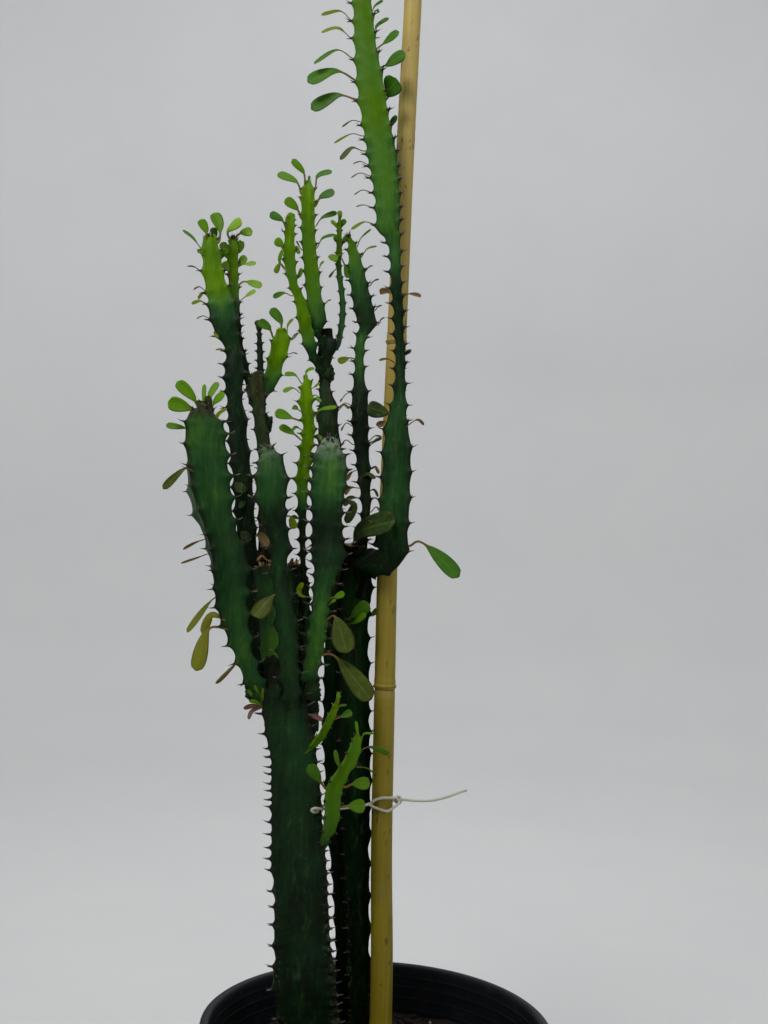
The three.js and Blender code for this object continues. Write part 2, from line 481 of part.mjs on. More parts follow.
// Rings of equal count joined into a closed skin, with a fan over each end.
function loft(rings) {
  const n = rings[0].length;
  const pos = [];
  const idx = [];
  for (const ring of rings) for (const p of ring) pos.push(p.x, p.y, p.z);
  for (let r = 0; r + 1 < rings.length; r++) {
    for (let k = 0; k < n; k++) {
      const a = r * n + k;
      const b = r * n + ((k + 1) % n);
      idx.push(a, b, b + n, a, b + n, a + n);
    }
  }
  const centre = (ring) => ring.reduce((s, p) => s.add(p), new THREE.Vector3()).divideScalar(n);
  const c0 = centre(rings[0]);
  const c1 = centre(rings[rings.length - 1]);
  const i0 = pos.length / 3;
  pos.push(c0.x, c0.y, c0.z, c1.x, c1.y, c1.z);
  const last = (rings.length - 1) * n;
  for (let k = 0; k < n; k++) {
    idx.push(i0, (k + 1) % n, k);
    idx.push(i0 + 1, last + k, last + ((k + 1) % n));
  }
  const g = new THREE.BufferGeometry();
  g.setAttribute('position', new THREE.Float32BufferAttribute(pos, 3));
  g.setIndex(idx);
  return g;
}

// Frame across a stem: e1 leans towards +X, e2 is square to it and to the stem.
function across(t) {
  const e1 = new THREE.Vector3(1, 0, 0).addScaledVector(t, -t.x).normalize();
  const e2 = new THREE.Vector3().crossVectors(t, e1);
  return [e1, e2];
}

function stemGeometry(stem, extra) {
  const pts = stem.stations.map((s) => new THREE.Vector3(s[0], s[1], s[2]));
  const share = SECTION[stem.kind];
  const rings = [];
  pts.forEach((p, i) => {
    const t = pts[Math.min(i + 1, pts.length - 1)].clone().sub(pts[Math.max(i - 1, 0)]).normalize();
    const [e1, e2] = across(t);
    const [, , , ridge, turn] = stem.stations[i];
    const end = i === 0 ? -extra : i === pts.length - 1 ? extra : 0;
    const ring = [];
    for (let k = 0; k < SECTION_SIDES; k++) {
      const a = THREE.MathUtils.degToRad(turn + (k * 360) / SECTION_SIDES);
      const r = ridge * share[[0, 1, 2, 1][k % 4]] + extra;
      ring.push(p.clone().addScaledVector(t, end)
        .addScaledVector(e1, r * Math.cos(a)).addScaledVector(e2, r * Math.sin(a)));
    }
    rings.push(ring);
  });
  return loft(rings);
}

// Leaf along base, mid, tip: rings across the path, flat and facing up and to the front.
function leafGeometry(base, mid, tip, width, petiole, extra = 0, flat = true) {
  const curve = new THREE.QuadraticBezierCurve3(
    base,
    mid.clone().multiplyScalar(2).addScaledVector(base, -0.5).addScaledVector(tip, -0.5),
    tip,
  );
  const shape = [[0, 0.16], [petiole, 0.2], [petiole + 0.22 * (1 - petiole), 0.66],
    [petiole + 0.6 * (1 - petiole), 1], [petiole + 0.86 * (1 - petiole), 0.74], [1, 0.2]];
  const rings = (flat ? shape : shape.filter((_, i) => i !== 2)).map(([t, w]) => {
    const p = curve.getPoint(t);
    const d = curve.getTangent(t);
    const face = new THREE.Vector3(0, -1, 0.55).normalize();
    const side = new THREE.Vector3().crossVectors(d, face).normalize();
    const up = new THREE.Vector3().crossVectors(side, d).normalize();
    const half = Math.max(0.5 * width * w, 0.7) + extra;
    const thick = 0.5 * LEAF_THICK * (t === 1 ? 0.6 : 1) + extra;
    const outline = flat
      ? [[half, 0], [0.55 * half, thick], [-0.55 * half, thick], [-half, 0], [-0.55 * half, -thick], [0.55 * half, -thick]]
      : [[half, 0], [0, thick], [-half, 0], [0, -thick]];
    return outline
      .map(([a, b]) => p.clone().addScaledVector(side, a).addScaledVector(up, b));
  });
  return loft(rings);
}

const vec = (a) => new THREE.Vector3(a[0], a[1], a[2]);

function outward(geometry) {
  const solid = toSolid(geometry);
  if (solid.volume() > 0) return solid;
  const g = geometry.clone();
  const idx = Array.from(g.index.array);
  for (let i = 0; i < idx.length; i += 3) [idx[i + 1], idx[i + 2]] = [idx[i + 2], idx[i + 1]];
  g.setIndex(idx);
  return toSolid(g);
}

function largest(solid) {
  return solid.decompose().reduce((a, b) => (a.volume() > b.volume() ? a : b));
}

// True where two edges of the skin lie on each other, so that the solid touches itself.
function pinched(solid) {
  const mesh = solid.getMesh();
  const key = (i) => [0, 1, 2].map((k) => Math.round(mesh.vertProperties[i * mesh.numProp + k] * 1e3)).join();
  const edges = new Map();
  for (let i = 0; i < mesh.triVerts.length; i += 3) {
    const corner = [0, 1, 2].map((k) => key(mesh.triVerts[i + k]));
    for (let k = 0; k < 3; k++) {
      const edge = [corner[k], corner[(k + 1) % 3]].sort().join(' ');
      edges.set(edge, (edges.get(edge) || 0) + 1);
    }
  }
  return [...edges.values()].some((count) => count !== 2);
}

// Merges the smallest facets.
const tidy = (solid) => largest(solid.asOriginal().simplify(FINE));

function tube(points, radius, sides) {
  const path = new THREE.CatmullRomCurve3(points.map(vec));
  const section = new THREE.Shape(Array.from({ length: sides }, (_, k) => {
    const a = (2 * Math.PI * k) / sides;
    return new THREE.Vector2(radius * Math.cos(a), radius * Math.sin(a));
  }));
  const steps = Math.min(80, Math.round(path.getLength() / (STRING_R * 4.6)));
  return new THREE.ExtrudeGeometry(section, { steps, extrudePath: path, bevelEnabled: false });
}

// ---- assembly ----
const plant = new THREE.Group();
const placed = [];   // solids grown by the gap, which later pieces are cut back from

function add(name, solid, material) {
  const mesh = new THREE.Mesh(toGeometry(solid), material);
  mesh.name = name;
  plant.add(mesh);
}

const apart = (a, b) => {
  const p = a.boundingBox();
  const q = b.boundingBox();
  return [0, 1, 2].some((k) => p.max[k] < q.min[k] || q.max[k] < p.min[k]);
};

function cutBack(solid) {
  let out = solid;
  for (const other of placed) if (!apart(out, other)) out = out.subtract(other);
  return tidy(out);
}

// A grown piece, given as a function of how much larger than its real size it is made. It is cut back from
// what is already placed, and made a hair slimmer where the cut would leave it touching itself.
function grown(name, make, material) {
  let solid;
  for (const slim of [0, 0.04, 0.08, 0.12, 0.16, 0.2]) {
    solid = cutBack(make(-slim));
    if (!pinched(solid)) break;
  }
  add(name, solid, material);
  placed.push(make(GAP));
}

// The pot: one turned shell, closed over its floor, with drain holes.
const turned = (profile, segments) =>
  new THREE.LatheGeometry(profile.map(([r, z]) => new THREE.Vector2(r, z)), segments).rotateX(Math.PI / 2);
const wallR = (z) => POT_BASE_R + (POT_RIM_R - LIP_WIDTH * 0.6 - POT_BASE_R) * (z / POT_HEIGHT);
const bandZ = POT_HEIGHT - LIP_DROP;
let pot = outward(turned([
  [0, 0],
  [POT_BASE_R - 3, 0],
  [POT_BASE_R, 3],
  [wallR(bandZ), bandZ],
  [POT_RIM_R - 2.2, bandZ + 1],
  [POT_RIM_R, POT_HEIGHT - 3],
  [POT_RIM_R - 1.5, POT_HEIGHT - 0.4],
  [POT_RIM_R - 4, POT_HEIGHT],
  [POT_RIM_R - LIP_WIDTH, POT_HEIGHT - 1.6],
  [wallR(bandZ) - POT_WALL - 0.6, bandZ - 4],
  [wallR(POT_FLOOR + 4) - POT_WALL, POT_FLOOR + 4],
  [POT_BASE_R - POT_WALL - 4, POT_FLOOR],
  [0, POT_FLOOR],
], 40));
for (let k = 0; k < DRAIN_COUNT; k++) {
  const a = (2 * Math.PI * (k + 0.5)) / DRAIN_COUNT;
  const drill = new THREE.CylinderGeometry(DRAIN_R, DRAIN_R, POT_FLOOR * 4, 12).rotateX(Math.PI / 2)
    .translate(DRAIN_CIRCLE_R * Math.cos(a), DRAIN_CIRCLE_R * Math.sin(a), 0);
  pot = pot.subtract(outward(drill));
}
add('nursery_pot', tidy(pot), FINISH.pot());

// The cane, with a raised ring at each joint and an open top end.
const caneRings = [];
{
  const heights = new Set(CANE.map((s) => s[2]));
  for (const z of CANE_NODES) for (const dz of [-6, 0, 6]) heights.add(z + dz);
  const at = (z, k) => {
    let i = 0;
    while (i < CANE.length - 2 && z > CANE[i + 1][2]) i++;
    const u = (z - CANE[i][2]) / (CANE[i + 1][2] - CANE[i][2]);
    return CANE[i][k] + u * (CANE[i + 1][k] - CANE[i][k]);
  };
  for (const z of [...heights].sort((a, b) => a - b)) {
    const swell = CANE_NODES.includes(z) ? 0.9 : 0;
    const r = at(z, 3) + swell;
    caneRings.push(Array.from({ length: 16 }, (_, k) => {
      const a = (2 * Math.PI * k) / 16;
      return new THREE.Vector3(at(z, 0) + r * Math.cos(a), at(z, 1) + r * Math.sin(a), z);
    }));
  }
}
const grow = (rings, d) => rings.map((ring, i) => {
  const c = ring.reduce((s, p) => s.clone().add(p), new THREE.Vector3()).divideScalar(ring.length);
  const dz = i === 0 ? -d : i === rings.length - 1 ? d : 0;
  return ring.map((p) => {
    const o = p.clone().sub(c);
    return p.clone().addScaledVector(o.normalize(), d).add(new THREE.Vector3(0, 0, dz));
  });
});
const caneTop = CANE[CANE.length - 1];
let cane = outward(loft(caneRings));
cane = cane.subtract(outward(new THREE.CylinderGeometry(CANE_BORE_R, CANE_BORE_R, CANE_BORE_DEPTH * 2, 12)
  .rotateX(Math.PI / 2).translate(caneTop[0], caneTop[1], caneTop[2])));
add('bamboo_stake', tidy(cane), FINISH.cane());
placed.push(outward(loft(grow(caneRings, GAP + 0.1))));

// The string, its knot and its free end.
const knot = (r) => outward(new THREE.IcosahedronGeometry(r, 1).scale(1.15, 0.8, 0.85).translate(...KNOT));
const loop = (d) => outward(tube(LOOP, STRING_R + d, 8)).add(outward(tube(STRAND, STRING_R + d, 8))).add(knot(KNOT_R + d));
grown('tie_loop', loop, FINISH.string());
grown('tie_tail', (d) => outward(tube(TAIL, STRING_R + d, 8)), FINISH.string());

// The growing tip of a stem.
function tipOf(name) {
  const { stations } = STEMS.find((stem) => stem.name === name);
  const last = stations[stations.length - 1];
  const top = vec(last);
  const dir = top.clone().sub(vec(stations[stations.length - 2])).normalize();
  return { top, dir, r: last[3] };
}

// Tufts: a bud on the tip of its stem, with its young leaves.
for (const tuft of TUFTS) {
  const { top, dir, r } = tipOf(tuft.stem);
  const budR = Math.max(2.6, r * 0.75);
  const bud = top.clone().addScaledVector(dir, budR * 0.9 + GAP);
  const make = (d) => {
    let solid = outward(new THREE.IcosahedronGeometry(budR + d, 0).translate(bud.x, bud.y, bud.z));
    for (const [i, leaf] of tuft.leaves.entries()) {
      const root = bud.clone().addScaledVector(dir, 0.23 * i - 0.4);
      solid = solid.add(outward(leafGeometry(root, vec(leaf.mid), vec(leaf.tip), leaf.width, leaf.petiole, d, false)));
    }
    return solid;
  };
  grown(tuft.name, make, FINISH[tuft.tint]());
}

// The stems, each cut back from what was placed before it.
for (const stem of STEMS) {
  grown(stem.name, (d) => outward(stemGeometry(stem, d)), FINISH[stem.kind]());
}

// The soil fills the pot to below the rim, with pockets round the trunks and the cane.
{
  const r = (z) => wallR(z) - POT_WALL - GAP - 0.7;
  let soil = outward(turned([
    [0, POT_FLOOR + GAP],
    [POT_BASE_R - POT_WALL - 6, POT_FLOOR + GAP],
    [r(POT_FLOOR + 5), POT_FLOOR + 5],
    [r(SOIL_TOP) - 0.2, SOIL_TOP],
    [95, SOIL_TOP + 1.5],
    [55, SOIL_TOP + SOIL_CROWN],
    [0, SOIL_TOP + SOIL_CROWN],
  ], 40));
  for (const other of placed) if (!apart(soil, other)) soil = soil.subtract(other);
  add('soil', tidy(soil), FINISH.soil());
}

// Single leaves.
for (const leaf of LEAVES) {
  const make = (d) => outward(leafGeometry(vec(leaf.base), vec(leaf.mid), vec(leaf.tip), leaf.width, leaf.petiole, d));
  grown(leaf.name, make, FINISH[leaf.tint]());
}

export default plant;
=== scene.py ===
import json
import math
import bpy
import numpy as np
from mathutils import Matrix, Vector


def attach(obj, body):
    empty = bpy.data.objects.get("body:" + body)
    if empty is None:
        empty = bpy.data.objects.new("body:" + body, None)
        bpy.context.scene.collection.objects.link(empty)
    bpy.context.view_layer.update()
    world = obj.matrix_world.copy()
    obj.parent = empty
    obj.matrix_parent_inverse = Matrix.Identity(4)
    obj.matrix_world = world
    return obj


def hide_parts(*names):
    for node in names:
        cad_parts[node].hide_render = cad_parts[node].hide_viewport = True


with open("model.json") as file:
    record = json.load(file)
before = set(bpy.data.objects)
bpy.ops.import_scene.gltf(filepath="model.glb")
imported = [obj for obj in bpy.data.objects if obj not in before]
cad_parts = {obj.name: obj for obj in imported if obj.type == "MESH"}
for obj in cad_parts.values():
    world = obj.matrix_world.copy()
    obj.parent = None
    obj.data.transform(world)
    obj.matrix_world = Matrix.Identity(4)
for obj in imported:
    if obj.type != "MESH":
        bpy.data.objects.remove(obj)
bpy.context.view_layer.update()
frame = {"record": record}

MM = 0.001

# ------------------------------------------------------------------ camera
CAM_POS = (-0.0106, -0.9679, 0.6313)
CAM_PITCH = math.radians(-3.563)      # negative looks up
CAM_ROLL = math.radians(2.263)
cam_data = bpy.data.cameras.new("camera")
cam_data.lens = 38.67
cam_data.sensor_width = 36
cam_data.clip_start = 0.02
cam = bpy.data.objects.new("camera", cam_data)
bpy.context.scene.collection.objects.link(cam)
fw = Vector((0, math.cos(CAM_PITCH), -math.sin(CAM_PITCH)))
rt = Vector((1, 0, 0))
up = rt.cross(fw)
rt2 = rt * math.cos(CAM_ROLL) + up * math.sin(CAM_ROLL)
up2 = -rt * math.sin(CAM_ROLL) + up * math.cos(CAM_ROLL)
m = Matrix((rt2, up2, -fw)).transposed().to_4x4()
m.translation = Vector(CAM_POS)
cam.matrix_world = m
bpy.context.scene.camera = cam

# ------------------------------------------------------------------ tables (mm)
# Stems: x, y, z, ridge radius, turn of one ridge in degrees, tone (0 dark green to 3 lime), corkiness,
# and the places of the teeth along each of the three ridges, measured from the stem's base.
STEMS = {
    "trunk_left": dict(stations=[
    (-46.6, -6, 198.1, 30.03, 198, 0.55, 0.2),
    (-48.5, -6, 222.8, 30.06, 198, 0.6, 0.15),
    (-51.5, -6, 252.5, 29.95, 198, 0.7, 0.1),
    (-56.5, -6, 272.2, 30.84, 198, 0.8, 0.05),
    (-58.8, -6, 288.8, 32.13, 198, 0.85, 0),
    (-60.8, -6, 305.4, 30.46, 198, 0.8, 0),
    (-63.2, -6, 330.4, 28.76, 198, 0.8, 0),
    (-65.2, -6, 355.5, 27.79, 198, 0.8, 0),
    (-68.8, -6, 389.1, 28.35, 198, 0.9, 0),
    (-72.2, -6, 422.8, 26.39, 198, 1, 0),
    (-75.4, -6, 456.7, 24.82, 199, 1.2, 0),
    (-78.6, -6, 482.2, 23.61, 200, 1.3, 0),
    (-83.8, -5, 503.3, 24.46, 200, 1.2, 0.05),
    (-87.8, -4, 520.2, 24.17, 200, 1, 0.15),
    (-89.9, -3, 533, 22.9, 200, 0.8, 0.2),
    (-90.7, -2, 545, 19.93, 200, 0.8, 0.2),
    (-91.2, -1, 555.3, 16.38, 200, 0.7, 0.2)],
    teeth=[[49.6, 69.9, 90, 108.4, 125.2, 141.9, 157.1, 170.6, 188.3, 197.6, 206.9, 217.9, 228.1, 240.9, 246.8, 254.5, 260.5, 269, 275, 284.4, 293.1, 306.1, 322.7, 338.2, 353.7], [2.2, 12.1, 21.1, 30.8, 41.3, 50.5, 59.6, 67.5, 76, 85.1, 94.7, 104.7, 113.5, 121.3, 129.8, 140.1, 148.4, 157.4, 167.7, 175.5, 184.9, 195.3, 203.6, 212.9, 223.1, 231.2, 240.4, 250.2, 259.8, 268.8, 277.1, 286.2, 294.9, 304, 312.7, 322.8, 332.6, 341.2, 350.5], [4.3, 12.9, 22.5, 31.2, 40.2, 50, 58.8, 69.1, 77.3, 87.1, 96, 104.9, 114.4, 123.6, 132.4, 140.1, 148, 157.8, 166.9, 176.6, 187, 196.7, 204.5, 213.1, 222.4, 230.8, 241.2, 251.6, 261.8, 270.8, 280.9, 288.9, 297.5, 306.5, 316.3, 325.4, 333.4, 342.1, 350.7]]),
    "trunk_middle": dict(stations=[
    (-16.3, 25, 185.4, 16.33, 262, 0.3, 0.15),
    (-18.2, 25, 210.8, 16.36, 262, 0.3, 0.15),
    (-20.3, 25, 241.5, 16.39, 262, 0.35, 0.1),
    (-21.6, 25, 262.1, 16.93, 262, 0.4, 0.1),
    (-24, 25, 296.4, 17.99, 262, 0.4, 0.05),
    (-25.9, 25, 330.9, 18.55, 262, 0.4, 0),
    (-28.8, 25, 365.5, 20.13, 262, 0.45, 0),
    (-31.7, 25, 400.3, 21.73, 262, 0.5, 0),
    (-34.1, 25, 435.2, 23.86, 262, 0.55, 0),
    (-35.7, 25, 461.5, 24.41, 262, 0.6, 0),
    (-38.2, 25, 487.9, 24.98, 262, 0.7, 0),
    (-39.1, 25, 514.4, 24.77, 262, 0.8, 0),
    (-39.9, 25, 541.1, 24.55, 262, 0.8, 0),
    (-41, 25, 567.8, 23.54, 262, 0.8, 0),
    (-41.5, 25, 594.6, 22.62, 260, 0.8, 0),
    (-39.9, 24, 621.6, 23.22, 258, 0.7, 0),
    (-38.5, 23, 639.6, 20.69, 256, 0.5, 0.1),
    (-37, 22, 652.2, 15.92, 256, 0.3, 0.3),
    (-36.5, 21, 661.2, 12.24, 256, 0.25, 0.4)],
    teeth=[[5.7, 24.6, 43.6, 64.6, 85.8, 105.3, 124.4, 145.5, 167.2, 187.6, 208.8, 230.9, 247.4, 269.1, 287.1, 306.3, 327.4, 348.1, 365.3, 385.7, 402.4, 420.8, 442.1, 461], [56.3, 83.8, 109.6, 137.2, 165, 192.8, 219, 243.5, 266.3, 288.4, 309.6, 328.1, 349.4, 370.8, 394, 417.3, 441.6, 464.3], [12.2, 33.5, 54.5, 70.8, 89.7, 108.8, 125.4, 145, 165.1, 186.4, 208.5, 225.6, 243.3, 263.6, 280.7, 298.4, 318.2, 335.5, 356.6, 378.1, 394.6, 414.2, 435.4, 457.6]]),
    "cut_stub": dict(stations=[
    (-87.8, 3, 523.8, 17.77, 185, 0.8, 0.3),
    (-92.4, 4, 558.3, 20.07, 185, 1.3, 0.3),
    (-94.2, 5, 575.7, 20.15, 185, 1.3, 0.35),
    (-95.7, 6, 593.1, 21.32, 185, 1, 0.4),
    (-97.2, 7, 610.6, 22.5, 185, 0.9, 0.4),
    (-98, 8, 624.7, 24.24, 185, 0.8, 0.5),
    (-99.1, 8, 640.6, 24.83, 185, 0.5, 0.9)],
    teeth=[[4, 18.9, 34, 46.1, 59.2, 73.5, 88.3, 100.3], [9.1, 22.6, 34.6, 45.9, 58.4, 73, 84.5, 95.7, 108.5], [3.8, 15.2, 28.6, 42.8, 55.9, 67.7, 80.3, 94, 109.3]]),
    "branch_front_left": dict(stations=[
    (-107.1, -8, 524.2, 8.45, 232, 0.9, 0.1),
    (-116.8, -15, 541.6, 9.65, 232, 1.2, 0.05),
    (-123.6, -23, 559, 9.95, 232, 1.5, 0),
    (-129.4, -30, 576.2, 11.62, 235, 1.5, 0),
    (-134, -36, 593.1, 14.42, 238, 1.4, 0),
    (-138.2, -41, 609.9, 17.85, 242, 1.3, 0),
    (-140.2, -45, 626.6, 19.83, 247, 1.2, 0),
    (-142.5, -48, 643.2, 20.95, 252, 1.1, 0.05),
    (-146.4, -49.5, 655.5, 19.08, 255, 1, 0.1),
    (-152.4, -51.5, 671.9, 18.93, 257, 1.1, 0),
    (-157.5, -52.7, 688.3, 22.13, 257, 1.4, 0),
    (-161.4, -53.7, 704.8, 23.78, 254, 1.4, 0),
    (-163.8, -54.2, 721.4, 22.72, 250, 1.4, 0),
    (-165.8, -54.5, 738.1, 22.14, 246, 1.5, 0.05),
    (-166.2, -54.7, 750.7, 21.08, 243, 1.5, 0.15),
    (-165.7, -54.9, 760.8, 18.1, 240, 1.3, 0.4),
    (-164.1, -55, 767.6, 8.56, 240, 1, 0.7)],
    teeth=[[25.2, 45.3, 62.7, 81.2, 97.4, 112.1, 127.4, 144.7, 157.9, 176.9, 195.7, 212.5, 229.3, 246.9], [37.4, 60.9, 83, 102.6, 121.5, 140.4, 160.5, 181.2, 202.4, 220, 241], [37.4, 60.9, 84.8, 106, 124.9, 144.7, 175.2, 194.8, 214.2, 234.3]]),
    "branch_front_middle": dict(stations=[
    (-81.7, -18, 526.3, 8.89, 205, 0.8, 0.1),
    (-83.6, -25, 543.8, 9.81, 205, 1, 0),
    (-85.5, -31, 561.1, 10.76, 205, 1.1, 0),
    (-86.8, -35, 578.1, 10.72, 205, 1.1, 0),
    (-89, -38, 595, 10.66, 205, 1.1, 0),
    (-91.6, -41, 611.7, 10.11, 205, 1.1, 0),
    (-95, -42.5, 628.3, 9.16, 208, 1, 0),
    (-96.6, -44, 645, 9.2, 210, 0.9, 0),
    (-96.3, -44.5, 657.6, 11.13, 210, 0.7, 0.05),
    (-99.2, -45, 670.1, 11.01, 208, 0.7, 0.05),
    (-101.4, -45.5, 682.6, 12.51, 205, 0.9, 0),
    (-104, -46, 695.1, 15.31, 204, 1.3, 0),
    (-104.5, -46.3, 707.7, 16.83, 204, 1.5, 0),
    (-105.4, -46.6, 718.6, 15.81, 204, 1.4, 0),
    (-107, -46.8, 727, 12.9, 204, 1.5, 0.05),
    (-109.7, -47, 735.3, 7.52, 204, 1.4, 0.4)],
    teeth=[[24.5, 47.9, 70.4, 92.8, 113.1, 133.3, 154.6, 176.7, 195.2], [28.2, 50.5, 72.1, 93.6, 114.8, 133.3, 147.8, 163.1, 175, 191, 208.9], [32.8, 54.9, 76.4, 97.9, 118.2, 136.7, 153.8, 168.2, 184.3, 202.9]]),
    "branch_front_right": dict(stations=[
    (-74.9, -6, 521, 7.02, 222, 1, 0.2),
    (-72.2, -12, 536.3, 7.48, 222, 1.2, 0.1),
    (-69.3, -17, 552.2, 9.41, 222, 1.6, 0),
    (-66, -21, 569.7, 9.95, 222, 1.8, 0),
    (-64.4, -24, 586.9, 10.33, 224, 1.8, 0),
    (-62.8, -26, 604.1, 9.66, 226, 1.7, 0),
    (-61.3, -28, 621.2, 10.12, 226, 1.5, 0),
    (-58.8, -29, 638.3, 13.27, 220, 1.2, 0.1),
    (-57, -30, 651.1, 17.2, 214, 0.7, 0.2),
    (-57.7, -30, 663.9, 16.75, 212, 0.5, 0.2),
    (-58.3, -30, 676.7, 16.26, 210, 0.6, 0.15),
    (-58.8, -30, 689.5, 16.27, 209, 1, 0.05),
    (-58.7, -30, 702.4, 17.74, 208, 1.7, 0),
    (-58.2, -30, 715.3, 18.5, 208, 1.7, 0),
    (-58.1, -30, 728.2, 17.81, 208, 1.6, 0),
    (-59, -30, 737.6, 15.35, 208, 1.5, 0.2),
    (-58.5, -30, 745.4, 9.37, 208, 1.3, 0.5)],
    teeth=[[4.1, 14.3, 27.6, 41.3, 53.2, 66.3, 79.7, 92.2, 105.6, 115.9, 127.1, 138.3, 148.9, 162.5, 172.7, 185.4, 195.8, 207.4, 219.1], [6.1, 18.3, 29.6, 42.6, 53.4, 64.2, 75.7, 87.3, 98.2, 111.9, 125.2, 135.7, 147.3, 158.3, 170.2, 181.4, 193.4, 207.1, 218.7], [6.6, 19.7, 30, 43, 56.8, 69.2, 80.5, 93.2, 106, 118.7, 129.4, 143.2, 157, 168.8, 181.2, 191.5, 205.4, 218.6]]),
    "branch_back_left": dict(stations=[
    (-100.6, 8, 522.7, 10.42, 190, 0.7, 0.2),
    (-109.2, 9, 548.5, 9.51, 190, 0.7, 0.2),
    (-115.2, 10, 574.6, 10.19, 190, 0.7, 0.2),
    (-120.6, 12, 600.8, 10.81, 190, 0.7, 0.2),
    (-125.1, 14, 627.2, 11.43, 190, 0.7, 0.2),
    (-128.9, 16.5, 653.8, 10.95, 190, 0.7, 0.25),
    (-132.6, 19, 680.7, 11.56, 190, 0.7, 0.2),
    (-136.2, 22.5, 707.9, 11.61, 190, 0.6, 0.2),
    (-140.6, 26, 735.4, 11.65, 190, 0.5, 0.15),
    (-143.9, 28.3, 753.8, 11.43, 190, 0.4, 0.1),
    (-146, 30.7, 772.4, 11.45, 190, 0.5, 0.1),
    (-150.2, 33, 791.1, 9.84, 190, 0.7, 0.15),
    (-151, 35, 810, 11.73, 192, 0.7, 0.2),
    (-152.2, 36.5, 824.2, 11.56, 195, 0.7, 0.1),
    (-154.2, 38, 838.4, 9.58, 200, 0.9, 0),
    (-158.1, 38.8, 847.8, 10.64, 202, 1, 0),
    (-162.2, 39.6, 857.2, 13.76, 204, 1.1, 0),
    (-164.3, 40.4, 866.7, 15.82, 204, 1.3, 0),
    (-167.2, 41.2, 876.2, 15.25, 204, 1.5, 0),
    (-169.7, 42, 885.7, 14.13, 204, 2.1, 0),
    (-173.1, 42.5, 895.2, 13.07, 204, 2.7, 0),
    (-177.2, 43.3, 909.4, 11.75, 204, 2.8, 0),
    (-179.5, 44, 923.8, 11.3, 204, 2.7, 0),
    (-182.1, 44.6, 935.3, 10.23, 204, 2.7, 0),
    (-183.1, 45, 943, 7.59, 204, 2.9, 0)],
    teeth=[[45, 71.8, 98.7, 123.8, 147.4, 171.1, 193.3, 215.7, 236.5, 255.4, 268.9, 282.2, 295.5, 308.9, 322.4, 339.8, 354.6, 369.5, 381.5, 401.3, 421.8], [27.2, 52.2, 79, 104, 129.3, 152.8, 175.7, 198.9, 222.3, 252.5, 279.4, 297.4, 314.7, 332.6, 348.7, 364.6, 380.5, 397.4, 416.9], [8.5, 20.2, 32.4, 44.4, 57.8, 69.1, 83.7, 96.6, 109.4, 120.8, 134.5, 148.8, 162.4, 174.3, 188.5, 200.1, 214.4, 227.8, 239.9, 253, 266.5, 278.5, 293, 305.7, 320.3, 334.7, 346, 359.6, 371.9, 385.9, 399.1, 411.9, 426.6]]),
    "shoot_back_left": dict(stations=[
    (-135.1, 33, 795.4, 5.34, 195, 0.7, 0.4),
    (-138.5, 37.1, 806.2, 4.81, 195, 0.9, 0.3),
    (-142.7, 42, 819.1, 3.69, 200, 1, 0.2),
    (-146.6, 46.4, 831.1, 3.94, 205, 1, 0.1),
    (-151.3, 52, 846.2, 3.48, 205, 1.1, 0),
    (-155, 55.6, 865.9, 4.07, 205, 1.2, 0),
    (-158.3, 59.1, 885.8, 5.19, 205, 1.4, 0),
    (-161.2, 61.5, 905.6, 6.04, 205, 2.4, 0),
    (-163.3, 63.5, 925.4, 6.62, 205, 2.6, 0),
    (-164.2, 65, 940.3, 6.64, 205, 2.6, 0),
    (-164.9, 66, 950.3, 4.43, 205, 2.8, 0)],
    teeth=[[7, 19.6, 31, 45.4, 59, 73.9, 87.7, 100.3, 115.7, 127.4, 138.8, 153.1], [5.5, 20.4, 33, 48, 61.9, 74.5, 85.9, 98.2, 113.5, 126.4, 138.3, 150.7], [3.9, 18.4, 30.2, 45.5, 58.9, 70.3, 85.4, 98.2, 112.5, 125.9, 137.5, 149.1]]),
    "stem_brown": dict(stations=[
    (-110.4, 16, 617.1, 9.81, 190, 0.6, 0.8),
    (-113.3, 16.8, 636.6, 8.78, 190, 0.6, 0.8),
    (-114.9, 18, 663.4, 7.71, 190, 0.6, 0.8),
    (-116.7, 20, 699.4, 7.74, 190, 0.6, 0.8),
    (-117.7, 22.4, 726.8, 8.33, 190, 0.7, 0.8),
    (-120, 24, 745.1, 7.47, 190, 0.7, 0.75),
    (-123.8, 26, 763.5, 7.48, 190, 0.6, 0.75),
    (-127, 28, 782, 7.26, 190, 0.6, 0.8),
    (-128.4, 29.3, 796, 8.98, 190, 0.6, 0.8),
    (-129.4, 30.5, 808.1, 9.56, 190, 0.6, 0.9),
    (-129.8, 31, 813.8, 6.76, 190, 0.5, 0.9)],
    teeth=[[4.8, 19, 33.1, 51.9, 66.3, 82.8, 97.3, 112.3, 130.1, 148.9, 165.2, 179.1], [3.7, 19.6, 36.3, 54.8, 73, 90.1, 106, 124.2, 142.6, 161.1, 178.7, 193], [8, 24.5, 42.7, 57.9, 75.2, 91, 108.9, 123.8, 140.2, 154.6, 169.6, 188.3]]),
    "twig_dark": dict(stations=[
    (-128.3, 35, 807.2, 4.78, 210, 0.4, 0.4),
    (-129.5, 36.3, 820.4, 3.72, 210, 0.4, 0.3),
    (-131.1, 38.1, 839.4, 3.41, 210, 0.4, 0.3),
    (-132.9, 40, 858.5, 2.41, 210, 0.3, 0.6)],
    teeth=[[6.1, 14.6, 21.8, 31, 38.2, 47.4], [5, 12.5, 20.5, 30.1, 38.5, 47.3], [2.2, 11.5, 21, 28.5, 37, 44.9]]),
    "paddle_small": dict(stations=[
    (-125.3, 28, 793.1, 4.74, 215, 0.9, 0.2),
    (-121.8, 26.2, 800.3, 5.75, 215, 1.2, 0),
    (-118, 24, 809.3, 8.45, 215, 1.5, 0),
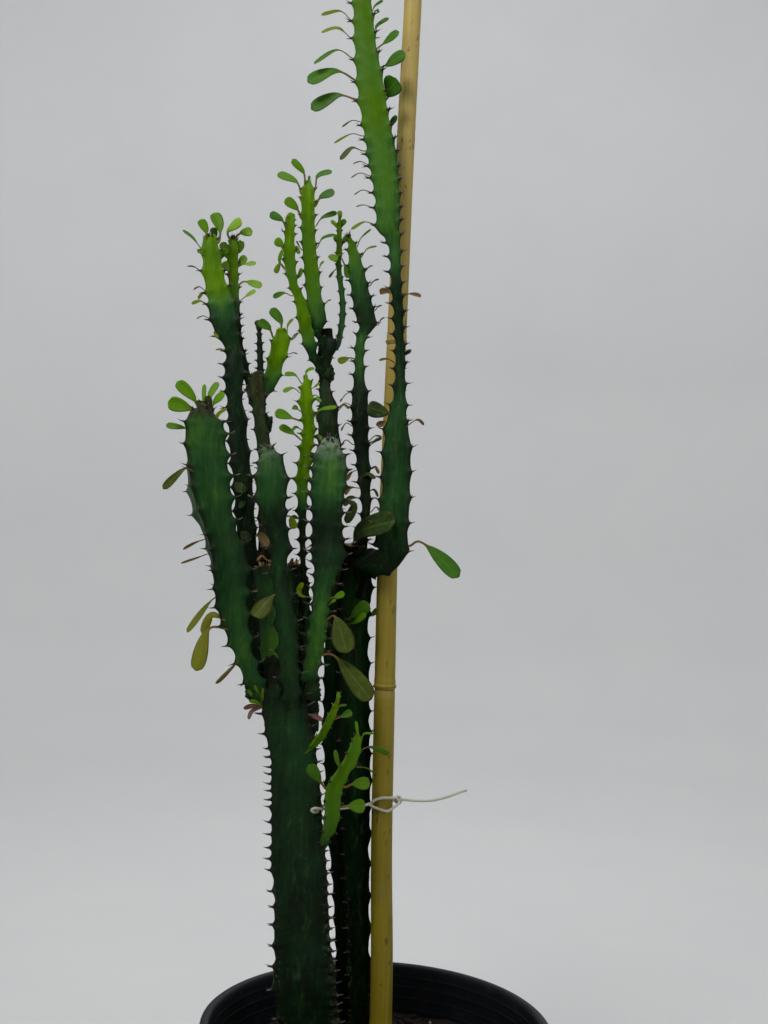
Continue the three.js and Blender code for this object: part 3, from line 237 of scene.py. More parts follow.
    (-115.8, 22, 818.2, 8.89, 215, 2.2, 0),
    (-113.5, 20, 827, 9.13, 215, 2.6, 0),
    (-111.3, 18.9, 836.1, 9.94, 215, 2.6, 0),
    (-109.8, 17.9, 844.2, 9.62, 215, 2.6, 0),
    (-109.6, 17, 851.3, 6.29, 215, 2.5, 0)],
    teeth=[[3.3, 19, 36, 52.8], [10.8, 25.1, 42.2, 57.7], [9.9, 27, 43.5]]),
    "shoot_lime": dict(stations=[
    (-77, -3, 549, 6.85, 205, 1, 0.7),
    (-73.3, 0, 568.1, 7.01, 205, 1, 0.7),
    (-73.1, 4, 587.1, 6.11, 205, 1, 0.75),
    (-76.3, 6, 606.2, 5.6, 205, 0.8, 0.9),
    (-78.4, 5, 624.6, 5.1, 205, 0.8, 0.9),
    (-80, 4, 642.2, 4.09, 205, 0.8, 0.9),
    (-81.1, 2, 659.7, 4.09, 205, 0.9, 0.85),
    (-81.9, 0, 677.3, 4.85, 205, 0.9, 0.85),
    (-82.4, -1.9, 692.1, 5.86, 205, 1.2, 0.6),
    (-82.5, -3.3, 703.5, 6.62, 205, 2.3, 0.2),
    (-83.1, -5, 716.6, 7.37, 205, 2.7, 0),
    (-81.6, -6.3, 729.7, 7.57, 205, 2.8, 0),
    (-80.8, -7.7, 742.9, 7.06, 205, 2.8, 0),
    (-79.1, -9, 756, 7.6, 205, 2.7, 0),
    (-79.6, -10.3, 769.1, 7.09, 205, 2.7, 0),
    (-81.7, -11.4, 779.4, 7.59, 205, 2.8, 0),
    (-82.1, -12.4, 789.8, 7.61, 205, 3, 0),
    (-82.6, -13.4, 799.4, 5.57, 205, 3, 0),
    (-83.6, -14, 805.4, 2.77, 205, 3, 0)],
    teeth=[[4.7, 16.9, 28.7, 42.2, 55.1, 67.8, 81, 93.3, 104.6, 117.8, 130.1, 143.2, 158.4, 170.3, 184.2, 198.2, 210.6, 223.8, 239.1, 251.7], [9.3, 22, 37.4, 51.3, 64.6, 78.8, 91.8, 106, 118.4, 133.5, 147, 159.3, 172.3, 187.3, 201.9, 215.2, 227.9, 240.7, 256], [9.7, 24.5, 36.7, 49.3, 63, 77.6, 92.8, 108.2, 120.6, 132.6, 145.9, 159.4, 173.4, 185.1, 199, 214.1, 229.2, 244.4]]),
    "stem_grey": dict(stations=[
    (-44.1, 22, 590.1, 11.48, 200, 0.4, 0.6),
    (-47.6, 22.5, 612.3, 12.53, 200, 0.4, 0.6),
    (-52.4, 23, 639, 12.58, 200, 0.5, 0.6),
    (-55.9, 23.9, 665.9, 12.13, 200, 0.5, 0.6),
    (-59.2, 25, 702.1, 12.2, 200, 0.5, 0.6),
    (-60.9, 27, 738.6, 12.25, 200, 0.5, 0.6),
    (-62, 28, 757, 12, 200, 0.5, 0.6),
    (-63.9, 29.1, 770.9, 10.69, 200, 0.6, 0.6),
    (-64.4, 30.4, 786.7, 9.87, 200, 0.6, 0.6),
    (-67.8, 31.3, 798.7, 6.92, 200, 0.7, 0.65),
    (-69, 32.1, 812.7, 5.38, 200, 0.7, 0.7),
    (-69.7, 32.8, 824, 6.19, 200, 0.7, 0.6),
    (-70.4, 33.4, 833.3, 7.74, 200, 0.7, 0.4),
    (-67.9, 34, 842.9, 10.46, 200, 0.4, 0.4),
    (-69.3, 34.4, 850.4, 8.36, 200, 0.2, 0.5),
    (-69.7, 35, 859.4, 6.49, 200, 0.1, 0.6)],
    teeth=[[12.1, 25.5, 43.3, 57.9, 72.7, 88.2, 106.1, 122.4, 137.3, 152.4, 170.1, 187.4, 201.3, 215.8, 230.9, 245.2, 261.2], [8.5, 26.3, 43.8, 57.5, 71.7, 87, 103.4, 118.6, 133, 148, 162.2, 179.7, 196.4, 211.7, 228.4, 244.2, 260], [7.7, 25.8, 42.9, 60.2, 74.1, 89.8, 104.8, 118.5, 133.7, 147.3, 161.6, 178.8, 195.5, 212.1, 225.8, 239.8, 253.1, 266.8]]),
    "shoot_left": dict(stations=[
    (-74.6, 28, 824.7, 5.48, 215, 0.8, 0.2),
    (-80.7, 23.8, 833.7, 5.29, 215, 1.4, 0),
    (-83.6, 20, 842, 7.11, 215, 1.9, 0),
    (-87.4, 17, 855, 7.43, 215, 2.5, 0),
    (-90.5, 14, 867.9, 7.42, 215, 2.7, 0),
    (-94.3, 12.9, 881.2, 5.97, 215, 2.5, 0),
    (-99.4, 12, 891.8, 5.22, 215, 2.4, 0),
    (-102.6, 11, 903.3, 5.92, 215, 2.1, 0),
    (-104.7, 10.8, 915.1, 6.79, 215, 2.3, 0),
    (-105.5, 10.5, 927.9, 6.55, 215, 2.7, 0),
    (-105.8, 10.3, 939.8, 5.76, 215, 2.5, 0),
    (-105.3, 10.1, 949.9, 5.21, 215, 2.8, 0),
    (-104.5, 10, 956.4, 3.11, 215, 2.9, 0)],
    teeth=[[9.8, 24.2, 35.8, 47.6, 62.2, 75.3, 87.5, 100.2, 112, 125.1], [6.4, 20.5, 31.7, 44.9, 59.7, 71.1, 83.8, 97.1, 109.2, 123.9], [6.2, 20.6, 31.4, 45.7, 56.9, 69.2, 82, 94.7, 105.6, 117.6, 129.8]]),
    "shoot_middle": dict(stations=[
    (-72.3, 30, 844.6, 4.88, 205, 0.7, 0.1),
    (-76.6, 27.8, 853.2, 3.32, 205, 1.2, 0),
    (-77.5, 26, 860.2, 7.15, 205, 1.4, 0),
    (-77.7, 25.4, 868.4, 9.77, 205, 1.6, 0),
    (-79.7, 24.8, 877.5, 9.41, 205, 1.9, 0),
    (-82.1, 24, 889.2, 8.52, 205, 2.2, 0),
    (-84.6, 23.7, 907.6, 8.45, 205, 2.4, 0),
    (-87.3, 23.3, 926, 7.93, 205, 2.4, 0),
    (-89.4, 23, 944.5, 7.96, 205, 2.4, 0),
    (-90.5, 22.6, 963, 7.71, 205, 2.6, 0),
    (-91.3, 22.3, 977, 7.98, 205, 2.7, 0),
    (-91.5, 22.1, 986.2, 7.18, 205, 2.7, 0),
    (-92.1, 22, 991.8, 4.25, 205, 2.7, 0)],
    teeth=[[10.3, 24.5, 40.3, 55.8, 69.1, 81.3, 95.6, 108.7, 120.4, 136.4], [7.2, 21.6, 36.2, 51.9, 65.6, 79.9, 92.5, 105.3, 119.2, 131.9, 143.7], [8.9, 21.8, 37.3, 52, 66.6, 82.2, 94.2, 106.6, 122.3, 137.9]]),
    "shoot_right_thin": dict(stations=[
    (-65.3, 37, 839.9, 3.54, 210, 0.6, 0.2),
    (-59.5, 39.1, 846.2, 3.43, 210, 0.9, 0.1),
    (-58.3, 42, 854.4, 3.16, 210, 1.1, 0),
    (-56.8, 43.9, 867.1, 3.47, 210, 1.2, 0),
    (-56.6, 46, 881.8, 3.51, 210, 1.3, 0),
    (-57.9, 46.7, 896.2, 3.23, 210, 1.5, 0),
    (-60.4, 47.3, 910.5, 3.23, 210, 1.6, 0),
    (-62.2, 48, 924.9, 2.98, 210, 1.9, 0),
    (-62.4, 48.7, 941.4, 3.53, 210, 2.3, 0),
    (-62.9, 49.4, 956.9, 2.72, 210, 2.5, 0),
    (-63.2, 50, 970.5, 1.9, 210, 2.6, 0)],
    teeth=[[8.1, 18.5, 29.3, 40.1, 51.6, 63.4, 77.3, 89.4, 100.2, 111.6, 121.9], [5.6, 17.9, 29.2, 41, 51.8, 64.7, 76.5, 87.5, 99.8, 110.9, 122.4], [8.1, 19.6, 33.6, 45.5, 56.5, 69.5, 82.7, 96.5, 107.4, 120.8]]),
    "branch_back_right": dict(stations=[
    (-27.6, 24, 643.6, 10.53, 200, 0.3, 0.3),
    (-29.4, 25.5, 659.8, 7.41, 200, 0.3, 0.4),
    (-28.5, 27, 676.2, 5.26, 200, 0.3, 0.5),
    (-26.5, 28.4, 692.7, 5.31, 200, 0.35, 0.5),
    (-27.5, 29.7, 708.3, 5.86, 200, 0.4, 0.5),
    (-29.4, 31, 723.8, 7.46, 200, 0.4, 0.5),
    (-31.2, 32.9, 740.5, 7.75, 200, 0.5, 0.3),
    (-33.7, 35, 759, 8.85, 200, 0.4, 0.15),
    (-35.2, 36.5, 777.7, 9.7, 200, 0.35, 0.1),
    (-36.2, 38, 796.5, 9.46, 200, 0.4, 0.05),
    (-37.4, 39.1, 813.4, 7.04, 200, 0.9, 0),
    (-38.3, 40, 828.5, 5.7, 200, 1.5, 0),
    (-38.7, 41, 843.7, 5.98, 200, 1.5, 0),
    (-38.3, 41.5, 851.3, 6.16, 200, 1.7, 0),
    (-36.8, 42, 858, 6.26, 202, 1.4, 0),
    (-33.9, 42.2, 863.9, 8.7, 202, 0.9, 0),
    (-33.1, 42.4, 870.5, 10.81, 202, 0.9, 0),
    (-36.1, 42.7, 881.8, 10.88, 202, 0.9, 0),
    (-39.5, 42.9, 895.9, 10.42, 202, 1.1, 0),
    (-42.5, 42.7, 909.9, 9.36, 202, 1.4, 0),
    (-45.7, 42.4, 924, 8.01, 202, 1.9, 0),
    (-48.7, 42.2, 936.1, 6.37, 202, 2.2, 0),
    (-51.2, 42.1, 944.5, 4.43, 202, 2.5, 0),
    (-53.5, 42, 950.1, 2.31, 202, 2.7, 0)],
    teeth=[[5.3, 19.2, 33.8, 46.7, 62.4, 77.3, 93, 106.8, 120.9, 133.6, 146.8, 161.9, 178, 190.5, 202.5, 214.7, 228.4, 243.8, 256.6, 270.6, 284.7, 300.2], [23.7, 42.1, 60.6, 79.1, 88.4, 111.9, 126, 142.9, 160.9, 184.5, 199.7, 214.2, 227.5, 240.2, 250.8, 264.2, 277.7, 292.1, 303.7], [2.9, 17, 30.4, 43.5, 58.8, 73.6, 85.8, 100.1, 115.5, 131.4, 143.2, 158.6, 170.6, 185.5, 200, 216, 230.7, 242.8, 257.6, 270.6, 286.1, 298.1]]),
    "tall_branch": dict(stations=[
    (-37.4, 17, 645.4, 8.5, 190, 0.5, 0.05),
    (-29.2, 11, 645.2, 11.56, 190, 0.5, 0.05),
    (-20.3, 3, 646.3, 14.11, 190, 0.5, 0.05),
    (-4.5, -4, 652, 14.22, 190, 0.5, 0.05),
    (-0.6, -6, 660, 18.64, 190, 0.6, 0),
    (-0.4, -8, 675.7, 17.65, 190, 0.9, 0),
    (0.7, -8, 693.3, 16.86, 190, 1.1, 0),
    (1.2, -8, 710.8, 15.85, 190, 1.1, 0),
    (1, -8, 728.4, 15.88, 190, 1, 0),
    (0.6, -8, 746.1, 15.36, 190, 1, 0),
    (-0.2, -8, 759.3, 13.76, 190, 1.1, 0),
    (-0.9, -8, 772.5, 11.32, 190, 1.2, 0),
    (0.3, -8, 785.9, 8.63, 190, 1, 0),
    (-0, -8, 799.2, 7.03, 190, 0.9, 0),
    (-0.6, -8, 817, 6.23, 190, 0.6, 0),
    (-1.4, -8, 834.8, 5.69, 190, 0.5, 0),
    (-3.1, -8, 852.6, 5.97, 190, 0.45, 0),
    (-4.2, -8, 870.5, 6.51, 190, 0.4, 0),
    (-6.4, -8, 888.3, 6.78, 190, 0.4, 0.05),
    (-8.2, -8, 906.3, 6.53, 190, 1.3, 0),
    (-9.1, -8, 919.8, 7.08, 190, 1.4, 0),
    (-10.2, -8, 930.6, 7.68, 188, 1.4, 0),
    (-12, -8, 937.7, 9.94, 188, 1.5, 0),
    (-14, -8, 944, 13.24, 187, 1.6, 0),
    (-15.2, -8, 955.7, 14.37, 187, 1.7, 0),
    (-16.3, -8, 969.3, 14.64, 187, 1.7, 0),
    (-18.8, -8, 987.4, 15.56, 187, 1.8, 0),
    (-21.5, -8, 1005.5, 16.61, 187, 1.8, 0),
    (-25.5, -8, 1023.6, 15.95, 187, 1.8, 0),
    (-29.9, -8, 1041.8, 15.46, 187, 2.3, 0),
    (-33.3, -8, 1060, 15.57, 187, 2.2, 0),
    (-36.4, -8, 1078.3, 15.04, 187, 2, 0),
    (-39.7, -8, 1096.6, 13.39, 187, 2, 0),
    (-42.6, -8, 1114.9, 12.61, 187, 2.1, 0),
    (-44.8, -8, 1133.4, 12.09, 187, 2.1, 0),
    (-47, -8, 1151.9, 10.7, 187, 2.2, 0),
    (-48.3, -8, 1165.8, 9.03, 187, 2.4, 0),
    (-49.3, -8, 1177.8, 6.21, 187, 2.6, 0),
    (-50.5, -8, 1185.3, 3.09, 187, 2.8, 0)],
    teeth=[[51.2, 70.5, 91.7, 111.9, 133.9, 155.1, 175.6, 193.4, 208.5, 224.5, 239.7, 253.2, 267.5, 281, 295.5, 309, 322.6, 338.3, 353.7, 368.3, 382, 393, 405, 419, 432, 453.4, 471, 491.4, 511, 526.7, 543.5, 558.4, 573.3], [51.2, 72.3, 94.3, 116.3, 137.4, 161.3, 175.6, 194.2, 212.9, 229, 244.2, 258.5, 272, 283.7, 298.2, 311.7, 325.4, 338.3, 350.1, 361.9, 373.8, 385.7, 398.5, 410.6, 422.7, 436.7, 454.3, 473.8, 491.4, 510, 526.7, 545.4, 552.8, 567.7], [60, 81.1, 103.1, 125.1, 147.2, 169.3, 190.7, 210.3, 226.3, 242.4, 257.6, 272.9, 288.2, 303.6, 317.1, 331.9, 346.5, 360.1, 372.9, 386.6, 398.5, 412.4, 426.4, 441.3, 459.8, 480.3, 498.9, 517.5, 536.1, 552.8, 570.5]]),
    "shoot_low_large": dict(stations=[
    (-51.4, -20, 405, 4.42, 240, 1.6, 0.1),
    (-50.1, -24, 412.6, 5.42, 240, 2, 0),
    (-47.4, -28, 421.9, 7.61, 240, 2.4, 0),
    (-45.7, -31, 433.4, 8.62, 240, 2.5, 0),
    (-45.9, -33, 446.2, 9.2, 240, 2.6, 0),
    (-45.1, -34, 454.7, 9.36, 240, 2.6, 0),
    (-41.5, -34, 463.1, 8.08, 240, 2.7, 0),
    (-36.5, -34, 471.5, 6.92, 240, 2.7, 0),
    (-32, -33, 479.9, 7.73, 240, 2.7, 0),
    (-28.7, -32, 488.1, 7.03, 240, 2.6, 0),
    (-26.7, -31, 494.7, 5.37, 240, 2.7, 0),
    (-25.9, -30, 498.8, 3.29, 240, 2.8, 0)],
    teeth=[[7.6, 18.9, 32.2, 45.7, 59.3, 73.5, 85.9, 97.1], [5.5, 16.4, 29.9, 40.8, 51.7, 66.2, 80.1, 91.8], [8.7, 21.9, 33.7, 46.2, 60.3, 71, 85.6]]),
    "shoot_low_small": dict(stations=[
    (-65.6, -22, 485.2, 1.91, 240, 2.4, 0),
    (-62.4, -25, 490.8, 3.56, 240, 2.5, 0),
    (-57.1, -28, 497.3, 4.18, 240, 2.5, 0),
    (-52.9, -30, 506.1, 4.28, 240, 2.6, 0),
    (-49.3, -31, 514.7, 4.57, 240, 2.7, 0),
    (-45.6, -31, 523.2, 3.64, 240, 2.8, 0),
    (-43.4, -31, 530.9, 2.14, 240, 2.8, 0)],
    teeth=[[3.1, 14.3, 23.2, 33.1, 43.6], [7.4, 18.3, 27.4, 36.5, 45.3], [3.2, 13.5, 24.8, 36.3, 45.2]]),
}
# Leaves: stem, CAD node they belong to, root / base / middle / tip, width, colour, share of the length that is stalk.
LEAVES = [
    ("tall_branch", "", (-53.1, -9, 1132, -57.7, -9.5, 1132.1, -67.5, -15.8, 1136.7, -83.7, -23.5, 1128.2), 3.2, 4, 0.35),
    ("tall_branch", "", (-51.4, -9.1, 1115.6, -57, -9.5, 1115.4, -69.3, -4.1, 1127, -85, 2.5, 1126), 4.2, 4, 0.35),
    ("tall_branch", "leaf_tall_branch_1", (-49, -9.1, 1096.7, -55.3, -9.6, 1097, -68.8, -14.1, 1101.6, -88.2, -19.6, 1085.3), 4.9, 1, 0.35),
    ("tall_branch", "leaf_tall_branch_2", (-46.6, -9.3, 1075.7, -51.8, -9.8, 1076.8, -68.9, -12.5, 1083.1, -93.6, -15.8, 1070.5), 12, 1, 0.32),
    ("tall_branch", "leaf_tall_branch_3", (-44.1, -9.3, 1059.6, -51.1, -9.9, 1059.3, -67.4, -7.2, 1063.1, -90.4, -3.9, 1051.2), 11.6, 1, 0.32),
    ("tall_branch", "", (-40.4, -9.3, 1038.5, -44.8, -9.9, 1038.5, -52.8, -13.5, 1038, -61.2, -17.9, 1029.9), 1.6, 0, 0.5),
    ("tall_branch", "", (-37.3, -9.3, 1027, -43, -9.9, 1025.8, -53.5, -6.3, 1028.7, -68.6, -1.9, 1021.6), 2, 4, 0.45),
    ("tall_branch", "", (-35.4, -9.4, 1013.5, -42, -10, 1012.1, -51.8, -12.7, 1013.4, -61.3, -16, 1000.8), 5.8, 0, 0.35),
    ("tall_branch", "", (-32.2, -9.4, 998.2, -35.2, -10, 998.7, -43.5, -7.3, 1003.5, -50.6, -4, 1002.2), 1.2, 3, 0.6),
    ("tall_branch", "", (-30.1, -9.3, 989.5, -34.8, -9.9, 989.7, -43.7, -12.6, 991, -51.4, -15.9, 984.9), 1.3, 3, 0.6),
    ("tall_branch", "", (-27.3, -9.3, 974.2, -32.4, -9.8, 974.3, -40.6, -7.1, 977.7, -48.6, -3.8, 974), 1.3, 3, 0.6),
    ("tall_branch", "", (-25.6, -9.2, 961, -30.1, -9.8, 960.9, -39, -12.5, 962.3, -45.9, -15.8, 959.1), 1.3, 3, 0.6),
    ("tall_branch", "", (-23.7, -9.2, 946.4, -29.6, -9.7, 946.4, -38.6, -7.4, 948.6, -49.9, -4.7, 942.3), 3, 4, 0.45),
    ("tall_branch", "", (-40, -14.7, 1136.5, -38.9, -17.5, 1136, -36.5, -13, 1144, -29.7, -7.5, 1152.8), 2.7, 1, 0.3),
    ("tall_branch", "", (-37.3, -15.1, 1116, -36.3, -18.1, 1116.5, -33.6, -14.5, 1125.8, -24.1, -10.1, 1135.5), 4, 1, 0.25),
    ("tall_branch", "leaf_tall_branch_4", (-34.7, -15.4, 1102.4, -33.9, -18.5, 1101.7, -26.1, -23.9, 1105.3, -14.1, -30.5, 1112.4), 7.9, 1, 0.22),
    ("tall_branch", "leaf_tall_branch_5", (-35.7, 0.8, 1095.2, -32, 4.5, 1095.5, -23, -1.8, 1096.6, -8, -9.5, 1103.6), 13.1, 1, 0.18),
    ("tall_branch", "leaf_tall_branch_6", (-31.2, 1.9, 1070.2, -28.2, 6.1, 1069.3, -22, -1.1, 1070.9, -14.3, -9.9, 1079.2), 17.1, 1, 0.12),
    ("tall_branch", "", (-26.6, 2, 1049.8, -22.9, 6.3, 1050.9, -21.3, 3.6, 1054.5, -18.7, 0.3, 1057.3), 2.3, 4, 0.3),
    ("tall_branch", "", (-24.9, 2, 1038.5, -21.5, 6.3, 1038, -18.1, 1.8, 1042.8, -13, -3.7, 1048), 5.9, 7, 0.2),
    ("tall_branch", "", (-10.8, -8.8, 885.4, -12.1, -9.2, 885.1, -16.5, -11.9, 885.1, -21.7, -15.2, 882.2), 7.1, 3, 0.15),
    ("tall_branch", "", (-3, -11.6, 884.3, -0.6, -13.1, 884.1, 4.6, -16.7, 882.9, 14.3, -21.1, 879.5), 4.4, 3, 0.35),
    ("tall_branch", "", (0.1, -4.2, 830.5, -0.1, -2.5, 831.5, 3.3, -6.1, 832.7, 7.6, -10.5, 832.8), 6.2, 5, 0.2),
    ("tall_branch", "", (-5, -8.7, 823.4, -6.1, -9, 822.8, -12.4, -11.7, 825.5, -20.2, -15, 823.2), 2.5, 3, 0.4),
    ("tall_branch", "", (5.2, -14.7, 766.1, 6.4, -17.6, 766.2, 15, -15.8, 772, 21.3, -13.6, 768.2), 3, 3, 0.5),
    ("tall_branch", "leaf_tall_branch_7", (7.6, -16.1, 662.7, 12.9, -20.4, 661.9, 23.9, -24.9, 664.7, 55.4, -30.4, 636.8), 12.4, 0, 0.34),
    ("tall_branch", "leaf_tall_branch_8", (-7.7, -9.3, 777.8, -7, -9.8, 777.3, -17.6, -12.5, 779.2, -28.6, -15.8, 781.7), 13.6, 5, 0.06),
    ("tall_branch", "", (-8.8, -9.4, 771, -10.2, -10, 771, -16.3, -11.8, 767.8, -20.6, -14, 766.5), 5.7, 3, 0.2),
    ("branch_back_right", "", (-27.7, 30, 751, -26.6, 28.7, 752.1, -21.3, 26, 757.5, -15.1, 22.7, 760), 2.9, 5, 0.3),
    ("trunk_middle", "leaf_trunk_middle_1", (-38.7, 12.5, 659, -38.6, 8.9, 659, -29.2, -6.4, 673.8, -0.9, -25.1, 682.6), 21.9, 0, 0.2),
    ("branch_back_right", "", (-42.2, 38.9, 834.1, -43, 38.4, 834.5, -48.5, 35.7, 834.7, -58.3, 32.4, 829.9), 6, 4, 0.15),
    ("branch_back_right", "", (-46.3, 39.8, 940.5, -45.4, 38.7, 939.9, -42.1, 40.9, 949.3, -33.2, 43.7, 959.1), 1.8, 1, 0.4),
    ("branch_back_right", "", (-42.5, 39.2, 929.8, -41.3, 37.8, 929.4, -36.1, 39.6, 938.7, -26.9, 41.8, 942.6), 2, 4, 0.4),
    ("branch_back_right", "", (-38.6, 38.8, 916.6, -37, 37.1, 916.2, -33.5, 38.5, 921.4, -29.9, 40.1, 923.4), 1.5, 1, 0.4),
    ("branch_back_right", "", (-34.9, 38.5, 902.9, -32.3, 36.7, 903, -28.3, 38, 908.3, -23.8, 39.7, 910.8), 1.6, 0, 0.5),
    ("branch_back_right", "", (-29.4, 38, 879.5, -26.7, 35.9, 879.6, -23.7, 37.3, 883.8, -20, 38.9, 886.2), 1.7, 0, 0.5),
    ("branch_back_right", "", (-28.1, 38.1, 866.9, -23, 36.3, 866.7, -20.4, 37.6, 871.8, -16.8, 39.3, 874.7), 1.9, 3, 0.5),
    ("shoot_middle", "", (-85.2, 19.7, 951.9, -82.9, 18.3, 951.7, -78, 21.9, 960.5, -64.8, 26.3, 967.7), 5, 1, 0.3),
    ("shoot_middle", "", (-83.1, 20.1, 931.3, -81.2, 18.7, 931.4, -76.3, 21.4, 941.7, -64.7, 24.7, 946.5), 3.5, 1, 0.35),
    ("shoot_middle", "tuft_shoot_middle", (-87.6, 19.4, 987.2, -85, 18.2, 987.9, -83.2, 20, 998.9, -70.8, 22.2, 1005), 6.9, 7, 0.3),
    ("shoot_middle", "tuft_shoot_middle", (-86.3, 19.4, 970.2, -84.2, 18, 970.1, -79.4, 15.7, 977.9, -67.1, 13, 982.5), 8.2, 7, 0.25),
    ("shoot_middle", "tuft_shoot_middle", (-94.7, 20.7, 991.4, -94.9, 20.2, 991, -96.6, 18.4, 1001.5, -107, 16.2, 1012.4), 6.9, 2, 0.28),
    ("shoot_middle", "tuft_shoot_middle", (-96.1, 20, 981.2, -98, 19, 981.1, -102.8, 20.8, 992.8, -120.8, 23, 1000.9), 7.3, 2, 0.3),
    ("shoot_middle", "leaf_shoot_middle_1", (-95.2, 20.4, 957.9, -97, 19.4, 958.9, -100.8, 16.7, 966.2, -111.8, 13.4, 973.9), 9.1, 2, 0.3),
    ("shoot_middle", "", (-91.8, 25, 991.9, -91.7, 26.2, 993.4, -91.9, 27.1, 997.5, -91.7, 28.2, 1002.1), 2.2, 1, 0.2),
    ("shoot_middle", "", (-80.4, 20.3, 913.1, -78.1, 18.8, 913, -77, 19.7, 917, -74.4, 20.8, 920.2), 2.2, 4, 0.3),
    ("shoot_middle", "", (-74.7, 20.9, 880.1, -71.7, 19.3, 881, -69.2, 20.2, 883.2, -66.1, 21.3, 884.5), 1.5, 3, 0.5),
    ("shoot_middle", "", (-92.7, 20.9, 929.8, -94.9, 19.9, 929.4, -98.6, 18.1, 934.2, -100.3, 15.9, 936.3), 1.6, 1, 0.4),
    ("shoot_left", "tuft_shoot_left", (-108.8, 8, 943.7, -109, 7.1, 944.1, -112.9, 5.7, 951.8, -123.8, 4.1, 957.3), 7.2, 7, 0.3),
    ("shoot_left", "tuft_shoot_left", (-105.7, 13.9, 946.2, -106.2, 15.6, 946.1, -108.1, 12.9, 952.6, -102.7, 9.6, 959.1), 8.2, 2, 0.1),
    ("shoot_left", "tuft_shoot_left", (-109.1, 7.9, 924.3, -109.9, 6.8, 923.8, -112.6, 4.6, 928.5, -117.9, 1.8, 932.5), 8.5, 2, 0.15),
    ("shoot_left", "", (-106.7, 8.5, 906.7, -108.3, 7.4, 906.7, -113.4, 5.1, 914, -110.4, 2.4, 924.3), 3.1, 2, 0.2),
    ("shoot_left", "", (-107.6, 8.3, 908.2, -108.4, 7.3, 908.5, -113.3, 9.5, 912.6, -117.7, 12.3, 904.9), 5, 4, 0.3),
    ("shoot_left", "", (-100.7, 10.1, 884.6, -101.6, 9.4, 883.7, -108.6, 11.2, 886.6, -118.6, 13.4, 883.1), 4.5, 7, 0.3),
    ("shoot_left", "", (-91.2, 14.6, 850.9, -93.7, 13.6, 851.2, -97, 12.3, 847.1, -100.3, 10.6, 843.4), 1.6, 1, 0.3),
    ("shoot_left", "", (-94.7, 17, 881.5, -92.7, 18.8, 881.9, -94, 15.2, 876.3, -92.5, 10.8, 870.7), 6.3, 4, 0.1),
    ("shoot_right_thin", "tuft_shoot_right_thin", (-63.2, 51.4, 967, -63.4, 52, 967.3, -63.1, 52, 972.1, -63.9, 52, 978.4), 4.3, 2, 0.1),
    ("shoot_right_thin", "tuft_shoot_right_thin", (-62.9, 51.3, 958.5, -63.5, 52.1, 957.7, -66.5, 50.3, 963.8, -71.3, 48.1, 967.2), 4.2, 2, 0.15),
    ("shoot_right_thin", "tuft_shoot_right_thin", (-62.9, 51.3, 958.5, -62.1, 52.1, 958.7, -60.8, 50.3, 964, -57.2, 48.1, 968.2), 5.7, 1, 0.1),
    ("shoot_right_thin", "tuft_shoot_right_thin", (-62.5, 51.2, 943.2, -61.9, 52.2, 943.4, -64.9, 50, 949.3, -67.3, 47.2, 953.1), 6.1, 4, 0.12),
    ("shoot_right_thin", "tuft_shoot_right_thin", (-60.3, 47.5, 941.5, -60.7, 47, 940.9, -58.2, 48.3, 948.1, -55.2, 50, 953.5), 4.7, 1, 0.15),
    ("shoot_right_thin", "", (-60.4, 47.3, 933.3, -60.4, 46.7, 934.2, -63.9, 43.1, 932, -69.6, 38.7, 926.7), 8.9, 7, 0.08),
    ("shoot_right_thin", "", (-60.3, 47.1, 931.3, -59.3, 46.7, 930.4, -55.7, 45.3, 922.5, -51.9, 43.7, 911.7), 5.6, 1, 0.15),
    ("shoot_right_thin", "", (-63.7, 46.8, 921.2, -63.6, 46.3, 921.5, -67.1, 45, 917.2, -70.5, 43.3, 911.3), 2.2, 1, 0.3),
    ("branch_back_left", "tuft_branch_back_left", (-188.2, 41.4, 930.9, -189.6, 40.1, 931.7, -198.9, 41.9, 943.3, -209.5, 44.1, 951.2), 2.8, 1, 0.3),
    ("branch_back_left", "tuft_branch_back_left", (-188, 42.7, 941.2, -186.6, 41.7, 940.9, -186.9, 40.3, 949.9, -192.7, 38.7, 960.1), 7.9, 2, 0.15),
    ("branch_back_left", "tuft_branch_back_left", (-182.6, 50.3, 942.7, -181, 52.5, 944.5, -180.4, 49.8, 950.4, -182, 46.5, 955.5), 6.1, 1, 0.1),
    ("branch_back_left", "tuft_branch_back_left", (-176.9, 40.8, 938.9, -174, 39.2, 939.6, -174, 40.5, 953.4, -180.6, 42.2, 968.4), 9.8, 2, 0.3),
    ("shoot_back_left", "tuft_shoot_back_left", (-168, 64.3, 947.7, -166.6, 63.6, 947.6, -169.3, 59.1, 956.7, -156.2, 53.6, 966.5), 10.9, 7, 0.14),
    ("shoot_back_left", "tuft_shoot_back_left", (-162.4, 64.2, 950.8, -162.9, 63.5, 951.6, -157.6, 64.4, 956.9, -146.8, 65.5, 959.2), 8.1, 2, 0.2),
    ("shoot_back_left", "tuft_shoot_back_left", (-164.1, 69.2, 944.8, -163.6, 71, 945.1, -159.7, 69.6, 946.8, -154.2, 68, 947.5), 5.3, 3, 0.2),
    ("shoot_back_left", "", (-163.1, 68.5, 930.4, -165.8, 70.6, 930.3, -169.9, 64.3, 934.1, -171.2, 56.6, 944.2), 8.1, 4, 0.05),
    ("branch_back_left", "", (-184.9, 40, 911, -187.4, 38.6, 910.5, -195.7, 36.8, 914.4, -201.8, 34.6, 914), 1.8, 3, 0.4),
    ("branch_back_left", "", (-180.8, 38.6, 890.7, -183.4, 36.9, 891.4, -189, 35.5, 895.5, -194.5, 33.9, 892), 2, 3, 0.5),
    ("branch_back_left", "", (-180.8, 38.6, 890.7, -183.4, 36.9, 891.4, -187.4, 39.1, 889.9, -191.4, 41.9, 885.8), 4.2, 4, 0.2),
